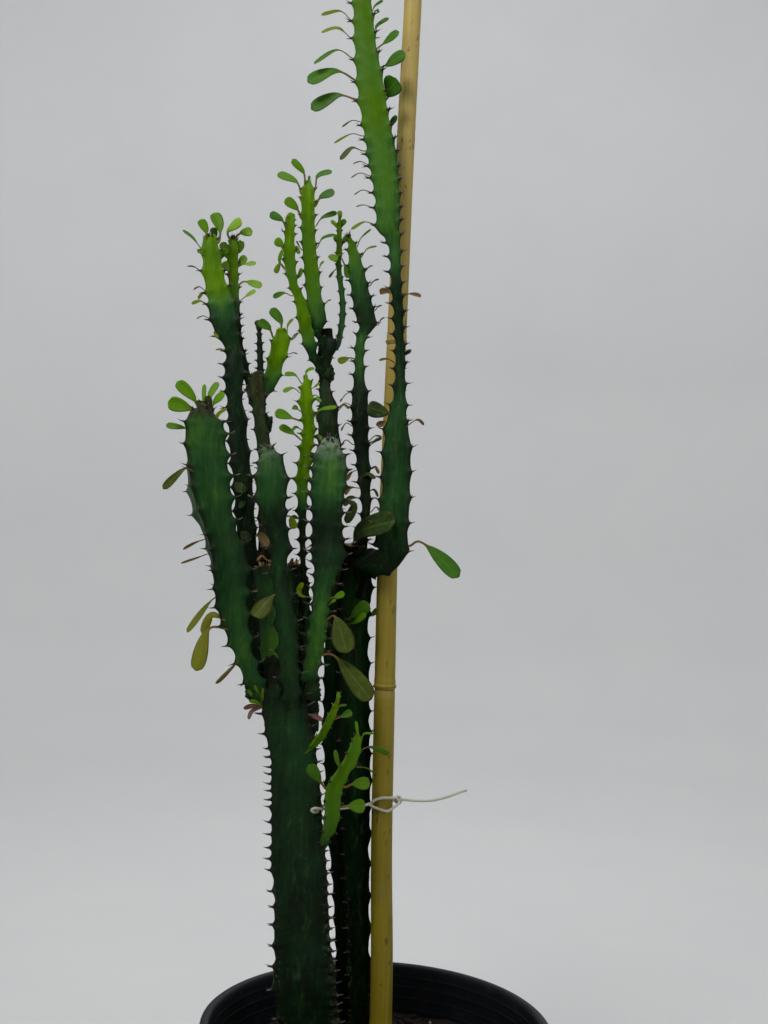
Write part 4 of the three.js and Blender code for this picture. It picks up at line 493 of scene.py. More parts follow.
    ("branch_back_left", "", (-178.1, 37.6, 880, -181.3, 35.7, 879.9, -188.6, 37.5, 882.9, -196.8, 39.7, 880.7), 3.1, 4, 0.4),
    ("branch_back_left", "", (-174.5, 35.9, 865.9, -178.9, 33.9, 866.4, -184.2, 32.1, 867.6, -189.7, 29.9, 864.1), 1.4, 3, 0.5),
    ("branch_back_left", "", (-170.5, 35.5, 853.8, -173.7, 33.7, 853.5, -171.4, 31.9, 850.4, -169.1, 29.7, 847.2), 3.1, 4, 0.2),
    ("branch_back_left", "", (-160.3, 35.6, 836.6, -161, 34.5, 837.4, -166.3, 32.7, 837.7, -170.9, 30.5, 836.2), 1.5, 4, 0.3),
    ("shoot_back_left", "", (-159.2, 60.6, 921.3, -157.7, 59.4, 922.5, -153.7, 60.7, 925.4, -141.7, 62.4, 927.8), 4.7, 2, 0.35),
    ("shoot_back_left", "", (-157.5, 59, 904.1, -156.2, 57.9, 904.8, -150.8, 59.2, 908.7, -134.7, 60.9, 905.5), 7.6, 2, 0.3),
    ("shoot_back_left", "", (-155.5, 57.3, 889.3, -154.3, 56.5, 889.1, -149.6, 55.1, 892.8, -139.3, 53.5, 899), 5.2, 4, 0.25),
    ("twig_dark", "", (-132.9, 41.7, 858.2, -132.8, 42.4, 857.1, -133.4, 41.5, 861.6, -135.4, 40.4, 867.8), 5.6, 5, 0.3),
    ("paddle_small", "tuft_paddle_small", (-114.7, 14.2, 846, -116.9, 12.6, 846.4, -120.7, 11.2, 854.1, -130.7, 9.6, 859.3), 7.7, 1, 0.2),
    ("paddle_small", "tuft_paddle_small", (-110, 21.4, 852.1, -111.8, 23.2, 851.7, -111.5, 24.6, 863.2, -121.4, 26.2, 875.7), 7.8, 1, 0.25),
    ("paddle_small", "tuft_paddle_small", (-105.6, 15.2, 850.9, -104.6, 14.4, 850.9, -104.1, 15.7, 858.6, -100, 17.4, 865.1), 2.5, 4, 0.3),
    ("paddle_small", "", (-104.2, 15.2, 844.8, -101.6, 14.1, 844.6, -98.2, 15, 848.6, -94.3, 16.1, 851.7), 2, 3, 0.4),
    ("paddle_small", "", (-105.4, 16.3, 832.5, -102, 15.1, 832, -98.3, 14.2, 832.9, -94.1, 13.1, 831.9), 1.4, 3, 0.4),
    ("branch_front_left", "tuft_branch_front_left", (-168.7, -47.6, 766.3, -169.3, -44.5, 765.6, -174.8, -45.8, 778, -189.6, -47.5, 792), 8.9, 2, 0.25),
    ("branch_front_left", "tuft_branch_front_left", (-170.3, -46.1, 764.6, -171.2, -42.4, 763.3, -177.9, -45.1, 769.4, -196.1, -48.4, 774.1), 11, 2, 0.22),
    ("branch_front_left", "tuft_branch_front_left", (-174, -42.5, 752.4, -178.4, -37.3, 752.6, -182.9, -36, 754.3, -199.6, -34.3, 756.5), 5.1, 2, 0.2),
    ("branch_front_left", "tuft_branch_front_left", (-167, -49.8, 768.7, -164.7, -47.6, 767.8, -166.5, -45.4, 779.2, -167.1, -42.6, 791.6), 3.4, 2, 0.2),
    ("branch_front_left", "tuft_branch_front_left", (-167, -49.8, 768.7, -163, -47.6, 767.9, -161.6, -44.5, 781.3, -156.1, -40.6, 794.2), 5.5, 2, 0.3),
    ("branch_front_left", "tuft_branch_front_left", (-158.2, -55, 765.6, -159.2, -55, 766.1, -155.2, -56.8, 774.4, -146.9, -59, 781.5), 7.9, 2, 0.2),
    ("branch_front_left", "tuft_branch_front_left", (-167, -49.8, 768.7, -163.9, -47.6, 767.9, -167.7, -51.2, 773.1, -169.2, -55.6, 775.7), 5.9, 2, 0.1),
    ("branch_front_left", "tuft_branch_front_left", (-158.2, -55, 765.6, -160.1, -55, 766.9, -159.9, -58.6, 773.9, -161.9, -63, 778.1), 5.8, 0, 0.1),
    ("branch_front_left", "tuft_branch_front_left", (-154.7, -54.9, 761.1, -157, -54.9, 754.4, -151.1, -58.5, 764.2, -144, -62.9, 768), 4.2, 4, 0.2),
    ("branch_front_left", "", (-168.2, -69.4, 713.4, -168.1, -75.9, 714.1, -174.3, -77.7, 715.3, -190.1, -79.9, 698.2), 6.1, 0, 0.3),
    ("branch_front_left", "", (-159.3, -41.3, 660.8, -161.1, -36.9, 660.4, -169, -39.1, 656.6, -178.3, -41.9, 650.7), 2.7, 3, 0.3),
    ("branch_front_left", "", (-154.3, -38.6, 647.8, -159.2, -33.9, 647.8, -167.9, -32.1, 644.1, -181.6, -29.9, 639), 2.2, 3, 0.3),
    ("branch_front_left", "leaf_branch_front_left_1", (-144.7, -30.5, 612.2, -149.3, -25.9, 611.7, -155.5, -28.6, 607.3, -173.2, -31.9, 580.9), 6, 0, 0.25),
    ("branch_front_left", "leaf_branch_front_left_2", (-140, -45.3, 591.7, -140, -49.2, 593.3, -151.5, -45.6, 596.9, -158.9, -41.2, 580.6), 7.1, 0, 0.1),
    ("branch_front_left", "leaf_branch_front_left_3", (-138.7, -43, 585.5, -137.6, -46, 585.8, -152.7, -50.5, 584.6, -160, -56, 551), 11.6, 0, 0.33),
    ("branch_front_left", "", (-128.8, -29, 558.4, -128.1, -31.6, 558.6, -136, -33, 550.9, -146.6, -34.6, 539.3), 4, 3, 0.15),
    ("trunk_left", "", (-103.7, -9.6, 521.8, -109.1, -12, 522, -114.2, -14.7, 527.2, -118.5, -18, 536.7), 5.6, 2, 0.1),
    ("trunk_left", "", (-103.7, -9.6, 521.8, -108.2, -12, 522, -112.6, -15.1, 530.7, -115.5, -19, 537.8), 2.6, 4, 0.1),
    ("trunk_left", "", (-103.7, -9.6, 521.8, -109, -12, 521.1, -115.8, -15.6, 527.2, -121.6, -20, 533.8), 2.7, 2, 0.1),
    ("trunk_left", "", (-103.7, -9.6, 521.8, -107.4, -12, 522.9, -108.6, -15.6, 529.2, -108, -20, 535.6), 2.2, 4, 0.1),
    ("trunk_left", "", (-103.5, -9.7, 520, -108.9, -12.2, 519.5, -113.8, -16.2, 523.1, -119.3, -21.2, 524.3), 3, 2, 0.1),
    ("trunk_left", "", (-103.4, -9.9, 518.1, -108.9, -12.4, 518.6, -117.3, -14.2, 519.4, -124.3, -16.4, 517.2), 4.3, 6, 0.2),
    ("trunk_left", "", (-103.4, -9.9, 518.1, -109.7, -12.4, 517.7, -116.9, -16, 515.3, -119.1, -20.4, 508.6), 3.8, 6, 0.2),
    ("trunk_left", "", (-72.1, -15.5, 514.7, -67.7, -20, 514.3, -61.5, -22.7, 513.2, -55.3, -26, 511.3), 4.3, 6, 0.1),
    ("branch_front_middle", "leaf_branch_front_middle_1", (-98.5, -44.2, 616, -98.9, -45.6, 616.5, -105.6, -51, 608.8, -114.2, -57.6, 597.1), 15.8, 0, 0.05),
    ("branch_front_right", "leaf_branch_front_right_1", (-56.5, -27.2, 596.4, -54.6, -27.6, 596.8, -47.7, -33, 598.1, -36.9, -39.6, 569.5), 18.2, 0, 0.24),
    ("branch_front_right", "leaf_branch_front_right_2", (-59.8, -22.6, 565.6, -58.7, -23.2, 565.8, -45.5, -29.5, 564.3, -15.3, -37.2, 530.9), 16.1, 0, 0.27),
    ("trunk_middle", "leaf_trunk_middle_2", (-44.2, 9.3, 597.6, -38.5, 2.5, 596.4, -31.5, -3.8, 602.1, -20.5, -11.5, 610.9), 10.9, 1, 0.2),
    ("trunk_middle", "", (-44.2, 9.3, 590.9, -36.6, 2.6, 592.1, -31.3, -3.7, 595.1, -22.7, -11.4, 602.2), 5.7, 2, 0.2),
    ("trunk_middle", "", (-26.4, 30.3, 597.6, -19.6, 32.6, 598.8, -16, 31.2, 601.7, -12.1, 29.6, 605.9), 4.5, 2, 0.2),
    ("branch_front_right", "", (-55, -29.1, 613.5, -54.4, -29.5, 613.8, -49.2, -33.1, 615.8, -41.2, -37.5, 619.1), 5.5, 2, 0.1),
    ("branch_front_right", "", (-55.7, -28.1, 609.3, -54.2, -29, 608.7, -51.7, -31.7, 611.4, -48.2, -35, 613.7), 2.5, 2, 0.1),
    ("shoot_lime", "tuft_shoot_lime", (-86.7, -14.7, 791.6, -88, -15.6, 791.7, -94.2, -17, 795.6, -102.6, -18.6, 791.9), 3.9, 2, 0.4),
    ("shoot_lime", "tuft_shoot_lime", (-85.8, -14.9, 800.2, -87.5, -15.5, 800.6, -93.2, -14.2, 807.7, -102.6, -12.5, 808.5), 3.9, 2, 0.4),
    ("shoot_lime", "tuft_shoot_lime", (-83.1, -11.2, 803.6, -84.5, -10, 803.5, -83.3, -8.6, 812.7, -76.9, -7, 815.9), 3, 2, 0.4),
    ("shoot_lime", "leaf_shoot_lime_1", (-84.1, -12.4, 768.1, -86.2, -13.2, 767.5, -94, -15, 769.6, -108.9, -17.2, 773.9), 8.3, 2, 0.3),
    ("shoot_lime", "", (-84.2, -10.9, 751.2, -85.6, -11.7, 751, -92.1, -9.9, 756.3, -105.3, -7.7, 763.1), 6.6, 2, 0.3),
    ("shoot_lime", "", (-75.9, -13.4, 771.9, -74.9, -14.8, 771.2, -68.9, -18.4, 777.5, -54.9, -22.8, 779.6), 3.5, 2, 0.15),
    ("shoot_lime", "tuft_shoot_lime", (-78.8, -15.7, 795.8, -76.8, -16.7, 796.4, -73.3, -18.5, 798.8, -70.6, -20.7, 800.3), 2.6, 4, 0.2),
    ("shoot_lime", "", (-86.1, -13.3, 775.7, -87.4, -14.2, 776.1, -91.2, -12.4, 778.9, -94.5, -10.2, 780), 4.4, 1, 0.1),
    ("branch_front_middle", "", (-94.1, -50.3, 681.1, -89.6, -52.3, 681.8, -87.2, -49.6, 679.6, -85.4, -46.3, 671.4), 6.3, 4, 0.1),
    ("branch_back_left", "leaf_branch_back_left_1", (-137.1, 33, 727.8, -134.8, 36.1, 727.5, -139.4, 24.4, 718.8, -138.6, 10.1, 704.1), 11.8, 5, 0.1),
    ("branch_back_left", "", (-133.1, 29.8, 703.7, -133.3, 33, 702.5, -138.2, 22.2, 700.6, -137, 9, 690.7), 7.2, 5, 0.1),
    ("branch_back_left", "", (-129.9, 26.6, 680, -129.1, 29.9, 680.5, -133.8, 18.2, 674.3, -130.5, 3.9, 661.4), 9.9, 5, 0.1),
    ("branch_back_left", "", (-124.9, 11.3, 665.7, -123.4, 9, 666.3, -117.9, 0, 665.3, -111, -11, 654.6), 8.8, 3, 0.1),
    ("branch_front_right", "", (-48.5, -36.3, 697.4, -44, -39, 697.2, -36.3, -35.4, 693.5, -42.6, -31, 679), 7.2, 5, 0.15),
    ("branch_back_right", "", (-35, 29.8, 731.6, -36.7, 29.3, 730.7, -41.9, 27, 727.5, -46.1, 24.3, 719.8), 3.6, 3, 0.3),
    ("branch_back_right", "", (-34, 29.1, 721.4, -33.6, 28.3, 722.5, -26.4, 24.7, 727, -19.9, 20.3, 722.3), 4.5, 5, 0.2),
    ("branch_back_right", "", (-32.2, 28.5, 713.7, -35.1, 27.9, 714.2, -42.2, 25.7, 713.7, -46.4, 22.9, 707), 3.6, 3, 0.3),
    ("branch_back_right", "", (-25.8, 28.2, 731.3, -25.7, 26.9, 730.9, -20.4, 25.6, 733.7, -16.5, 23.9, 727.3), 3.1, 3, 0.3),
    ("branch_back_right", "", (-31.2, 28.2, 706, -34.7, 27.5, 705.1, -41.8, 24.8, 704.6, -46.8, 21.5, 696.9), 5, 5, 0.2),
    ("branch_back_right", "", (-27.1, 34.2, 711.7, -26.9, 36.2, 711.5, -20.5, 34.8, 713.5, -16.6, 33.2, 707.1), 2.7, 3, 0.3),
    ("branch_back_right", "", (-42.1, 36.2, 802.5, -44.4, 35.4, 803.1, -49.8, 34.1, 800.8, -54.9, 32.4, 793), 1.7, 3, 0.7),
    ("branch_back_right", "", (-42.2, 35.3, 789.1, -43.8, 34.1, 790, -50.3, 32.8, 792.3, -55.5, 31.1, 787.2), 1.7, 3, 0.7),
    ("branch_back_right", "", (-40.9, 33.8, 770.3, -43, 32.7, 771.3, -48.5, 31.3, 773.6, -52.7, 29.7, 765.9), 1.8, 3, 0.6),
    ("branch_back_right", "", (-38.9, 32.5, 753.8, -42.3, 31.5, 754.6, -47.8, 30.1, 757.9, -52.1, 28.5, 752), 1.8, 3, 0.6),
    ("branch_back_right", "", (-28.9, 31, 758, -26.8, 29.2, 757.7, -21.5, 27.9, 762.3, -15.1, 26.2, 761.4), 2, 3, 0.5),
    ("branch_back_right", "", (-23.6, 26, 692.9, -22.3, 25, 692.7, -18, 23.6, 697.3, -14.2, 22, 692.8), 2.2, 3, 0.5),
    ("shoot_back_left", "", (-163.6, 69.2, 934.1, -165, 71, 934.3, -160.1, 67.9, 940.4, -157.2, 64, 949.1), 7.7, 7, 0.1),
    ("shoot_back_left", "", (-163.7, 69.3, 936, -167, 71.2, 935.3, -171.5, 67.2, 939.7, -174.9, 62.2, 946.8), 7.2, 4, 0.1),
    ("shoot_back_left", "", (-162.5, 67.6, 919.8, -162.2, 69.4, 920.3, -157.4, 66.7, 927.5, -151.6, 63.4, 934.5), 6.7, 4, 0.1),
    ("shoot_back_left", "", (-165.7, 60.1, 912.6, -164.4, 59.6, 913.6, -168, 56, 920.1, -171.4, 51.6, 924.4), 6.1, 2, 0.1),
    ("branch_back_left", "", (-178.9, 51.8, 924.9, -175.7, 55.2, 925.3, -171.9, 52.5, 932.4, -166.8, 49.2, 934.4), 5.2, 2, 0.1),
    ("branch_back_left", "", (-186.9, 40.9, 925.1, -185.5, 39.6, 925.1, -190.2, 38.2, 929.2, -193.6, 36.6, 928.6), 3.2, 2, 0.2),
    ("shoot_left", "", (-105.2, 15.5, 916.8, -104.2, 17.5, 917.1, -107.9, 15.7, 922, -111.3, 13.5, 921.2), 3.6, 2, 0.2),
    ("shoot_left", "", (-102.1, 15.2, 899.2, -100.6, 17, 899.6, -96, 14.3, 903.6, -93.4, 11, 910.1), 4.1, 2, 0.1),
    ("shoot_left", "tuft_shoot_left", (-105.8, 15.1, 926.4, -103.6, 17.1, 926.3, -99.9, 13.5, 930, -96.5, 9.1, 922.3), 3.6, 2, 0.1),
    ("shoot_lime", "", (-77.6, -15.1, 784.7, -78, -16.3, 784.1, -73.6, -19, 787.3, -68.9, -22.3, 783.5), 3.1, 2, 0.2),
    ("shoot_lime", "", (-83.9, -11.4, 759, -85.1, -12.5, 759.7, -90.3, -14.3, 761.9, -93.4, -16.5, 758), 2.6, 1, 0.3),
    ("shoot_lime", "", (-79, -3.6, 753.4, -77.6, -1.3, 752.7, -72.3, -4, 756.1, -67.5, -7.3, 752.3), 3.5, 2, 0.2),
    ("shoot_lime", "", (-81.1, -1.4, 733.7, -83.1, 0.7, 733.1, -78.5, -4.7, 738.9, -72.6, -11.3, 734), 7.9, 4, 0.08),
    ("shoot_lime", "", (-81.6, -0.8, 725.5, -81, 1.6, 726.1, -85, -2, 720.3, -87.8, -6.4, 712.7), 3.5, 2, 0.1),
    ("shoot_lime", "", (-85.2, -1.8, 680.6, -84.1, -2.6, 681.4, -89.3, -3.9, 683.8, -92.5, -5.6, 678.3), 4.4, 0, 0.2),
    ("shoot_lime", "", (-78.6, 0.5, 657.5, -77, -0.1, 657.2, -71.8, -1.5, 660, -67.1, -3.1, 655.7), 3, 0, 0.2),
    ("stem_grey", "", (-58.9, 25.5, 782.2, -56, 23.5, 783.2, -50.7, 22.1, 788.7, -45.9, 20.5, 785), 2.4, 3, 0.4),
    ("stem_grey", "", (-72.2, 29.2, 794.7, -73.1, 28.4, 795.2, -77.7, 27, 797.6, -81.1, 25.4, 793.5), 1.8, 3, 0.5),
    ("branch_front_middle", "", (-102.2, -47.2, 644.4, -106.6, -48.6, 644.6, -110.8, -49.9, 647.7, -114.6, -51.6, 643.4), 2.5, 3, 0.3),
    ("cut_stub", "", (-112.4, 5.4, 604.7, -114.7, 4.7, 604.7, -118.9, 2, 607.2, -121.9, -1.3, 602.8), 2.6, 5, 0.3),
    ("branch_front_right", "", (-66.5, -32.5, 614.8, -77.1, -34.4, 615.5, -79.7, -36.7, 620.5, -76.4, -39.4, 626.6), 4.2, 4, 0.15),
    ("shoot_low_large", "leaf_shoot_low_large_1", (-47.8, -39.6, 456.5, -49.6, -42, 456.8, -54.8, -44.7, 463.7, -64.7, -48, 476.9), 9.1, 1, 0.22),
    ("shoot_low_large", "leaf_shoot_low_large_2", (-36.8, -34, 457.7, -33.3, -34, 457.6, -26.7, -36.7, 460.8, -13.3, -40, 462.4), 9.6, 2, 0.2),
    ("shoot_low_large", "leaf_shoot_low_large_3", (-39.5, -32.4, 441, -36.9, -32.2, 440.6, -29.3, -35.8, 442.4, -16.3, -40.2, 443.4), 10.4, 2, 0.18),
    ("shoot_low_large", "tuft_shoot_low_large", (-23.9, -31.9, 488.6, -22, -31.9, 488.4, -13.7, -34.2, 491.5, 2, -36.9, 486.8), 3.9, 1, 0.25),
    ("shoot_low_large", "", (-27.6, -33.3, 475.5, -24.8, -33.5, 474.4, -17.2, -31.7, 473.6, -9.5, -29.5, 468.9), 1.3, 1, 0.3),
    ("shoot_low_large", "", (-39.1, -38.2, 472.5, -37, -40, 470.9, -40.6, -41.8, 478.5, -43.4, -44, 489.4), 3.8, 2, 0.15),
    ("shoot_low_large", "tuft_shoot_low_large", (-28, -27.9, 496, -25.8, -26.6, 495, -25.7, -25.3, 501.5, -27.4, -23.6, 511.3), 2.5, 2, 0.15),
    ("shoot_low_large", "", (-23.1, -31.1, 494, -22.3, -31.1, 494.1, -20.1, -29.8, 501.5, -11.7, -28.1, 502), 1.9, 2, 0.2),
    ("shoot_low_small", "tuft_shoot_low_small", (-46.3, -30.9, 512.9, -45, -30.9, 513.2, -38.4, -29.1, 515.7, -31, -26.9, 519.1), 5.9, 1, 0.2),
    ("shoot_low_small", "tuft_shoot_low_small", (-45.1, -32.8, 527.5, -43.8, -33.5, 526.9, -43.2, -33.5, 532, -42.9, -33.5, 536.2), 3, 2, 0.1),
    ("shoot_low_small", "tuft_shoot_low_small", (-47.8, -33.4, 520.7, -46.8, -34.5, 520.2, -41.2, -33.1, 524.5, -35.4, -31.5, 525.4), 1.9, 1, 0.3),
    ("tall_branch", "tuft_tall_branch", (-53.1, -8.4, 1180, -53.3, -8.6, 1180.1, -62.4, -12.2, 1184.2, -76.7, -16.6, 1186.6), 8.1, 1, 0.25),
    ("tall_branch", "tuft_tall_branch", (-52.6, -8.3, 1184.8, -52.6, -8.4, 1185, -58.7, -4.8, 1198, -66.7, -0.4, 1211.6), 8.2, 2, 0.25),
    ("tall_branch", "tuft_tall_branch", (-49.6, -6, 1185.4, -50.1, -5.2, 1186.9, -46.8, -7.9, 1196.7, -40.9, -11.2, 1207.1), 7.7, 2, 0.25),
    ("tall_branch", "tuft_tall_branch", (-49, -5.3, 1182.7, -48.1, -4.1, 1182.9, -39.4, -0.5, 1190.1, -25.1, 3.9, 1197.9), 7.3, 1, 0.25),
    ("tall_branch", "tuft_tall_branch", (-49.6, -6, 1185.4, -51, -5.2, 1186.9, -52, -10.6, 1193, -54, -17.2, 1200.2), 5.4, 2, 0.2),
    ("tall_branch", "", (-54.2, -8.8, 1157.8, -56.9, -9.2, 1158.2, -67.3, -5.6, 1165.4, -82, -1.2, 1165.4), 5.4, 1, 0.3),
    ("tall_branch", "", (-42.5, -14, 1152.6, -41.3, -16.5, 1153, -33.5, -20.1, 1157.8, -22.1, -24.5, 1162.2), 5.3, 1, 0.25),
]
CANE = [(5.3, 22, 14, 9.7), (3.8, 22, 264.2, 9.7), (-0.9, 22, 393.5, 9.3), (-3.5, 22, 525, 9.2), (-6, 22, 685.9, 9), (-5.1, 22, 887.2, 8.8), (-4.1, 22, 1027.3, 8.5), (-2.3, 22, 1170, 8.3), (-2, 22, 1251, 8.1)]
CANE_NODES = (240, 537, 848, 1200)
LOOP = [(11.8, 20, 438.4), (9, 15.5, 440.5), (4.6, 11.2, 441.2), (-2.4, 10.9, 441), (-8.5, 12, 438.8), (-13.6, 13.5, 434.8), (-21.4, 8, 433.9), (-28.2, -1, 434.6), (-34.1, -5, 434.3), (-40, -9, 434.5), (-46.5, -18, 436.1), (-53.9, -25, 436.8), (-58.8, -28.2, 437.7), (-61.6, -28.6, 436.4), (-59.5, -27.2, 434.5), (-55.6, -21, 433.8), (-54.1, -8, 431.6), (-55.2, 6, 429.1), (-56.9, 22, 426.2), (-55.9, 38, 423.8), (-49.1, 50, 422.5), (-35.7, 54.5, 423.9), (-22, 51, 427), (-12.9, 43, 430.7), (-3.9, 35.5, 433.5), (5, 33.5, 435.1), (10.2, 28, 436.8)]
STRAND = [(11.9, 20, 438), (12.7, 16, 436.2), (9.3, 12.3, 433.8), (3.3, 10.8, 430), (-3.8, 10.8, 431), (-9.1, 11.8, 432.7), (-13.6, 13.5, 434.3)]
KNOT = (11.4, 20, 438.4)
TAIL = [(16.6, 17, 439.2), (20.6, 16, 439.1), (27.6, 14, 439.3), (35.4, 13, 439.6), (42.5, 13, 440.4), (49.4, 13, 442.1), (56.4, 13.5, 444.3), (62.5, 14, 446.7), (67.8, 14.5, 448.7), (72.2, 15, 450)]
POT_RIM_R, POT_HEIGHT, POT_BASE_R, SOIL_TOP = 150.0, 255.0, 114.0, 212.0

WOODY = {"stem_brown", "stem_grey", "cut_stub", "twig_dark"}
YOUNG = {"paddle_small", "shoot_lime", "shoot_left", "shoot_middle", "shoot_right_thin", "shoot_low_large", "shoot_low_small"}
CUT_TOP = {"cut_stub", "stem_grey", "trunk_middle"}
NO_TIP = {"stem_brown"}
# how far the teeth stand out of the ridge, and the length of the spines, mm
TEETH = {
    "trunk_left": (3.0, 5.0), "trunk_middle": (3.2, 4.8), "cut_stub": (1.4, 3.4),
    "branch_front_left": (5.2, 5.6), "branch_front_middle": (4.6, 5.2), "branch_front_right": (4.2, 5.0),
    "branch_back_left": (3.8, 4.8), "shoot_back_left": (2.0, 3.2), "stem_brown": (1.7, 4.0), "twig_dark": (1.5, 2.8),
    "paddle_small": (3.0, 3.4), "shoot_lime": (4.4, 3.0), "stem_grey": (2.0, 4.0), "shoot_left": (2.8, 2.4),
    "shoot_middle": (2.6, 2.8), "shoot_right_thin": (1.3, 2.0), "branch_back_right": (3.0, 4.8),
    "tall_branch": (3.8, 5.0), "shoot_low_large": (2.0, 1.6), "shoot_low_small": (1.0, 1.2),
}
# How much darker or brighter, and how much browner, a stem is than its neighbours.
SHADE = {"trunk_left": (-0.34, 0.03), "cut_stub": (0.5, -0.3), "trunk_middle": (-0.10, 0.02), "shoot_lime": (-0.22, -0.26), "stem_grey": (0.18, -0.10), "stem_brown": (0.45, -0.12),
         "branch_back_left": (-0.14, 0.0), "branch_front_middle": (-0.10, 0.03), "branch_front_right": (-0.10, 0.03), "shoot_low_large": (-0.26, 0.0),
         "shoot_low_small": (-0.15, 0.0), "shoot_left": (-0.14, 0.0), "shoot_middle": (-0.12, 0.0), "tall_branch": (0.10, 0.0), "branch_front_left": (0.05, 0.0)}
# Stems that are fuller than their measured core.
FULLER = {"shoot_lime": 1.14}
# Grey wax bloom and a painted sheen on the tips of the older branches.
WAX_AND_SHEEN = {"branch_front_right": 1.0, "branch_front_middle": 0.35, "branch_front_left": 0.15}
# Where each stem grows out of the one that carries it: x, y, z, radius, from deep inside up to the stem's own first station.
ROOTS = {
    "trunk_left": [(-44, -5, 188, 29)],
    "trunk_middle": [(-15, 25, 176, 15)],
    "cut_stub": [(-84, -2, 480, 12), (-85, 0, 500, 15)],
    "branch_front_left": [(-84, 0, 492, 6), (-92, -3, 506, 8), (-99.5, -6.5, 516, 8.5)],
    "branch_front_middle": [(-85, 3, 492, 5), (-84, -3, 505, 8), (-82.5, -11, 516, 9)],
    "branch_front_right": [(-84, 1, 488, 5), (-80, -2, 505, 7), (-76.5, -5, 514, 7)],
    "branch_back_left": [(-86, 0, 490, 9), (-93, 4, 508, 10)],
    "shoot_back_left": [(-127, 29, 777, 4), (-131, 31, 786, 5)],
    "stem_brown": [(-98, 6, 560, 9), (-103, 10, 585, 10), (-107, 13, 602, 10)],
    "twig_dark": [(-128, 32, 796, 5)],
    "paddle_small": [(-128, 29, 782, 5)],
    "shoot_lime": [(-86, -4, 522, 7), (-83, -3.5, 536, 8)],
    "stem_grey": [(-40, 24, 560, 12), (-42, 23, 576, 12)],
    "shoot_left": [(-69, 33, 806, 4), (-72, 30.5, 817, 5)],
    "shoot_middle": [(-69, 33, 828, 5), (-71, 31, 838, 5)],
    "shoot_right_thin": [(-68, 34, 826, 4)],
    "branch_back_right": [(-37, 22, 616, 11), (-32, 23, 632, 11)],
    "tall_branch": [(-37, 22, 630, 8), (-37, 19, 640, 7)],
    "shoot_low_large": [(-63, -10, 396, 4), (-57, -16, 400, 4)],
    "shoot_low_small": [(-74, -14, 480, 2.4)],
}
GROOVE = {"trunk": (0.47, 20.0), "winged": (0.42, 19.0), "woody": (0.62, 24.0)}


# ------------------------------------------------------------------ colours
def lin(c):
    return tuple((v / 12.92 if v <= 0.04045 else ((v + 0.055) / 1.055) ** 2.4) for v in (x / 255 for x in c))


def rgba(c):
    return (*lin(c), 1.0)


# ------------------------------------------------------------------ curves
def catmull(P, per=12):
    P = np.asarray(P, float)
    ext = np.vstack([2 * P[0] - P[1], P, 2 * P[-1] - P[-2]])
    out = []
    for i in range(len(P) - 1):
        p0, p1, p2, p3 = ext[i:i + 4]
        for t in np.linspace(0, 1, per, endpoint=False):
            out.append(0.5 * (2 * p1 + (p2 - p0) * t + (2 * p0 - 5 * p1 + 4 * p2 - p3) * t * t + (3 * p1 - p0 - 3 * p2 + p3) * t ** 3))
    out.append(P[-1])
    return np.array(out)


def arclen(P):
    return np.r_[0, np.cumsum(np.linalg.norm(np.diff(P[:, :3], axis=0), axis=1))]


def at(P, s, q):
    return np.stack([np.interp(q, s, P[:, k]) for k in range(P.shape[1])], 1)


def tangents(P):
    T = np.gradient(P[:, :3], axis=0)
    return T / np.linalg.norm(T, axis=1)[:, None]


def unit(v):
    return v / (np.linalg.norm(v) + 1e-12)


# ------------------------------------------------------------------ mesh builder
class Builder:
    """Collects closed shells with per-vertex attributes, in mm, and makes one object in metres."""

    def __init__(self, attrs):
        self.attrs = {a: [] for a in attrs}
        self.v, self.f, self.m, self.n = [], [], [], 0

    def add(self, verts, faces, mat=0, **values):
        verts = np.asarray(verts, float)
        self.v.append(verts)
        for face in faces:
            self.f.append(tuple(int(i) + self.n for i in face))
            self.m.append(mat)
        for a in self.attrs:
            x = values.get(a, 0.0)
            x = np.full(len(verts), x, float) if np.isscalar(x) else np.asarray(x, float)
            self.attrs[a].append(x)
        self.n += len(verts)

    def make(self, name, materials, smooth=True):
        me = bpy.data.meshes.new(name)
        v = np.concatenate(self.v) * MM
        me.from_pydata(v.tolist(), [], self.f)
        for mat in materials:
            me.materials.append(mat)
        me.polygons.foreach_set("material_index", self.m)
        if smooth:
            me.polygons.foreach_set("use_smooth", [True] * len(me.polygons))
        for a, x in self.attrs.items():
            att = me.attributes.new(a, "FLOAT", "POINT")
            att.data.foreach_set("value", np.concatenate(x).astype(np.float32))
        me.update()
        ob = bpy.data.objects.new(name, me)
        bpy.context.scene.collection.objects.link(ob)
        return ob


def ring_faces(nr, n, closed=False, caps=True):
    F = []
    last = nr if closed else nr - 1
    for r in range(last):
        a, b = r * n, ((r + 1) % nr) * n
        for k in range(n):
            k2 = (k + 1) % n
            F.append((a + k, a + k2, b + k2, b + k))
    if caps and not closed:
        F.append(tuple(range(n - 1, -1, -1)))
        F.append(tuple(range((nr - 1) * n, nr * n)))
    return F


# ------------------------------------------------------------------ stems
OFFS = np.array([0, 1.6, 3.6, 6.2, 9.5, 14, 20, 28, 38, 49])


def section_angles():
    a = np.concatenate([OFFS, [60], 120 - OFFS[:0:-1]])   # one sector, ridge to ridge
    return np.concatenate([a, a + 120, a + 240])


ANG = section_angles()
NEAR = np.abs((ANG + 60) % 120 - 60)                     # degrees from the nearest ridge
RIDGE_ID = (np.round(ANG / 120).astype(int)) % 3


def tooth_rows(name):
    """The measured teeth, and the ever closer ones at the growing tip."""
    C, s = stem_curve(name)
    out = []
    for row in STEMS[name]["teeth"]:
        row = list(row)
        if name not in CUT_TOP and len(row) > 2:
            gap = 0.62 * (row[-1] - row[0]) / (len(row) - 1)
            while row[-1] + gap < s[-1] - 1.2:
                row.append(row[-1] + gap)
                gap = max(2.4, gap * 0.66)
        out.append(row)
    return out


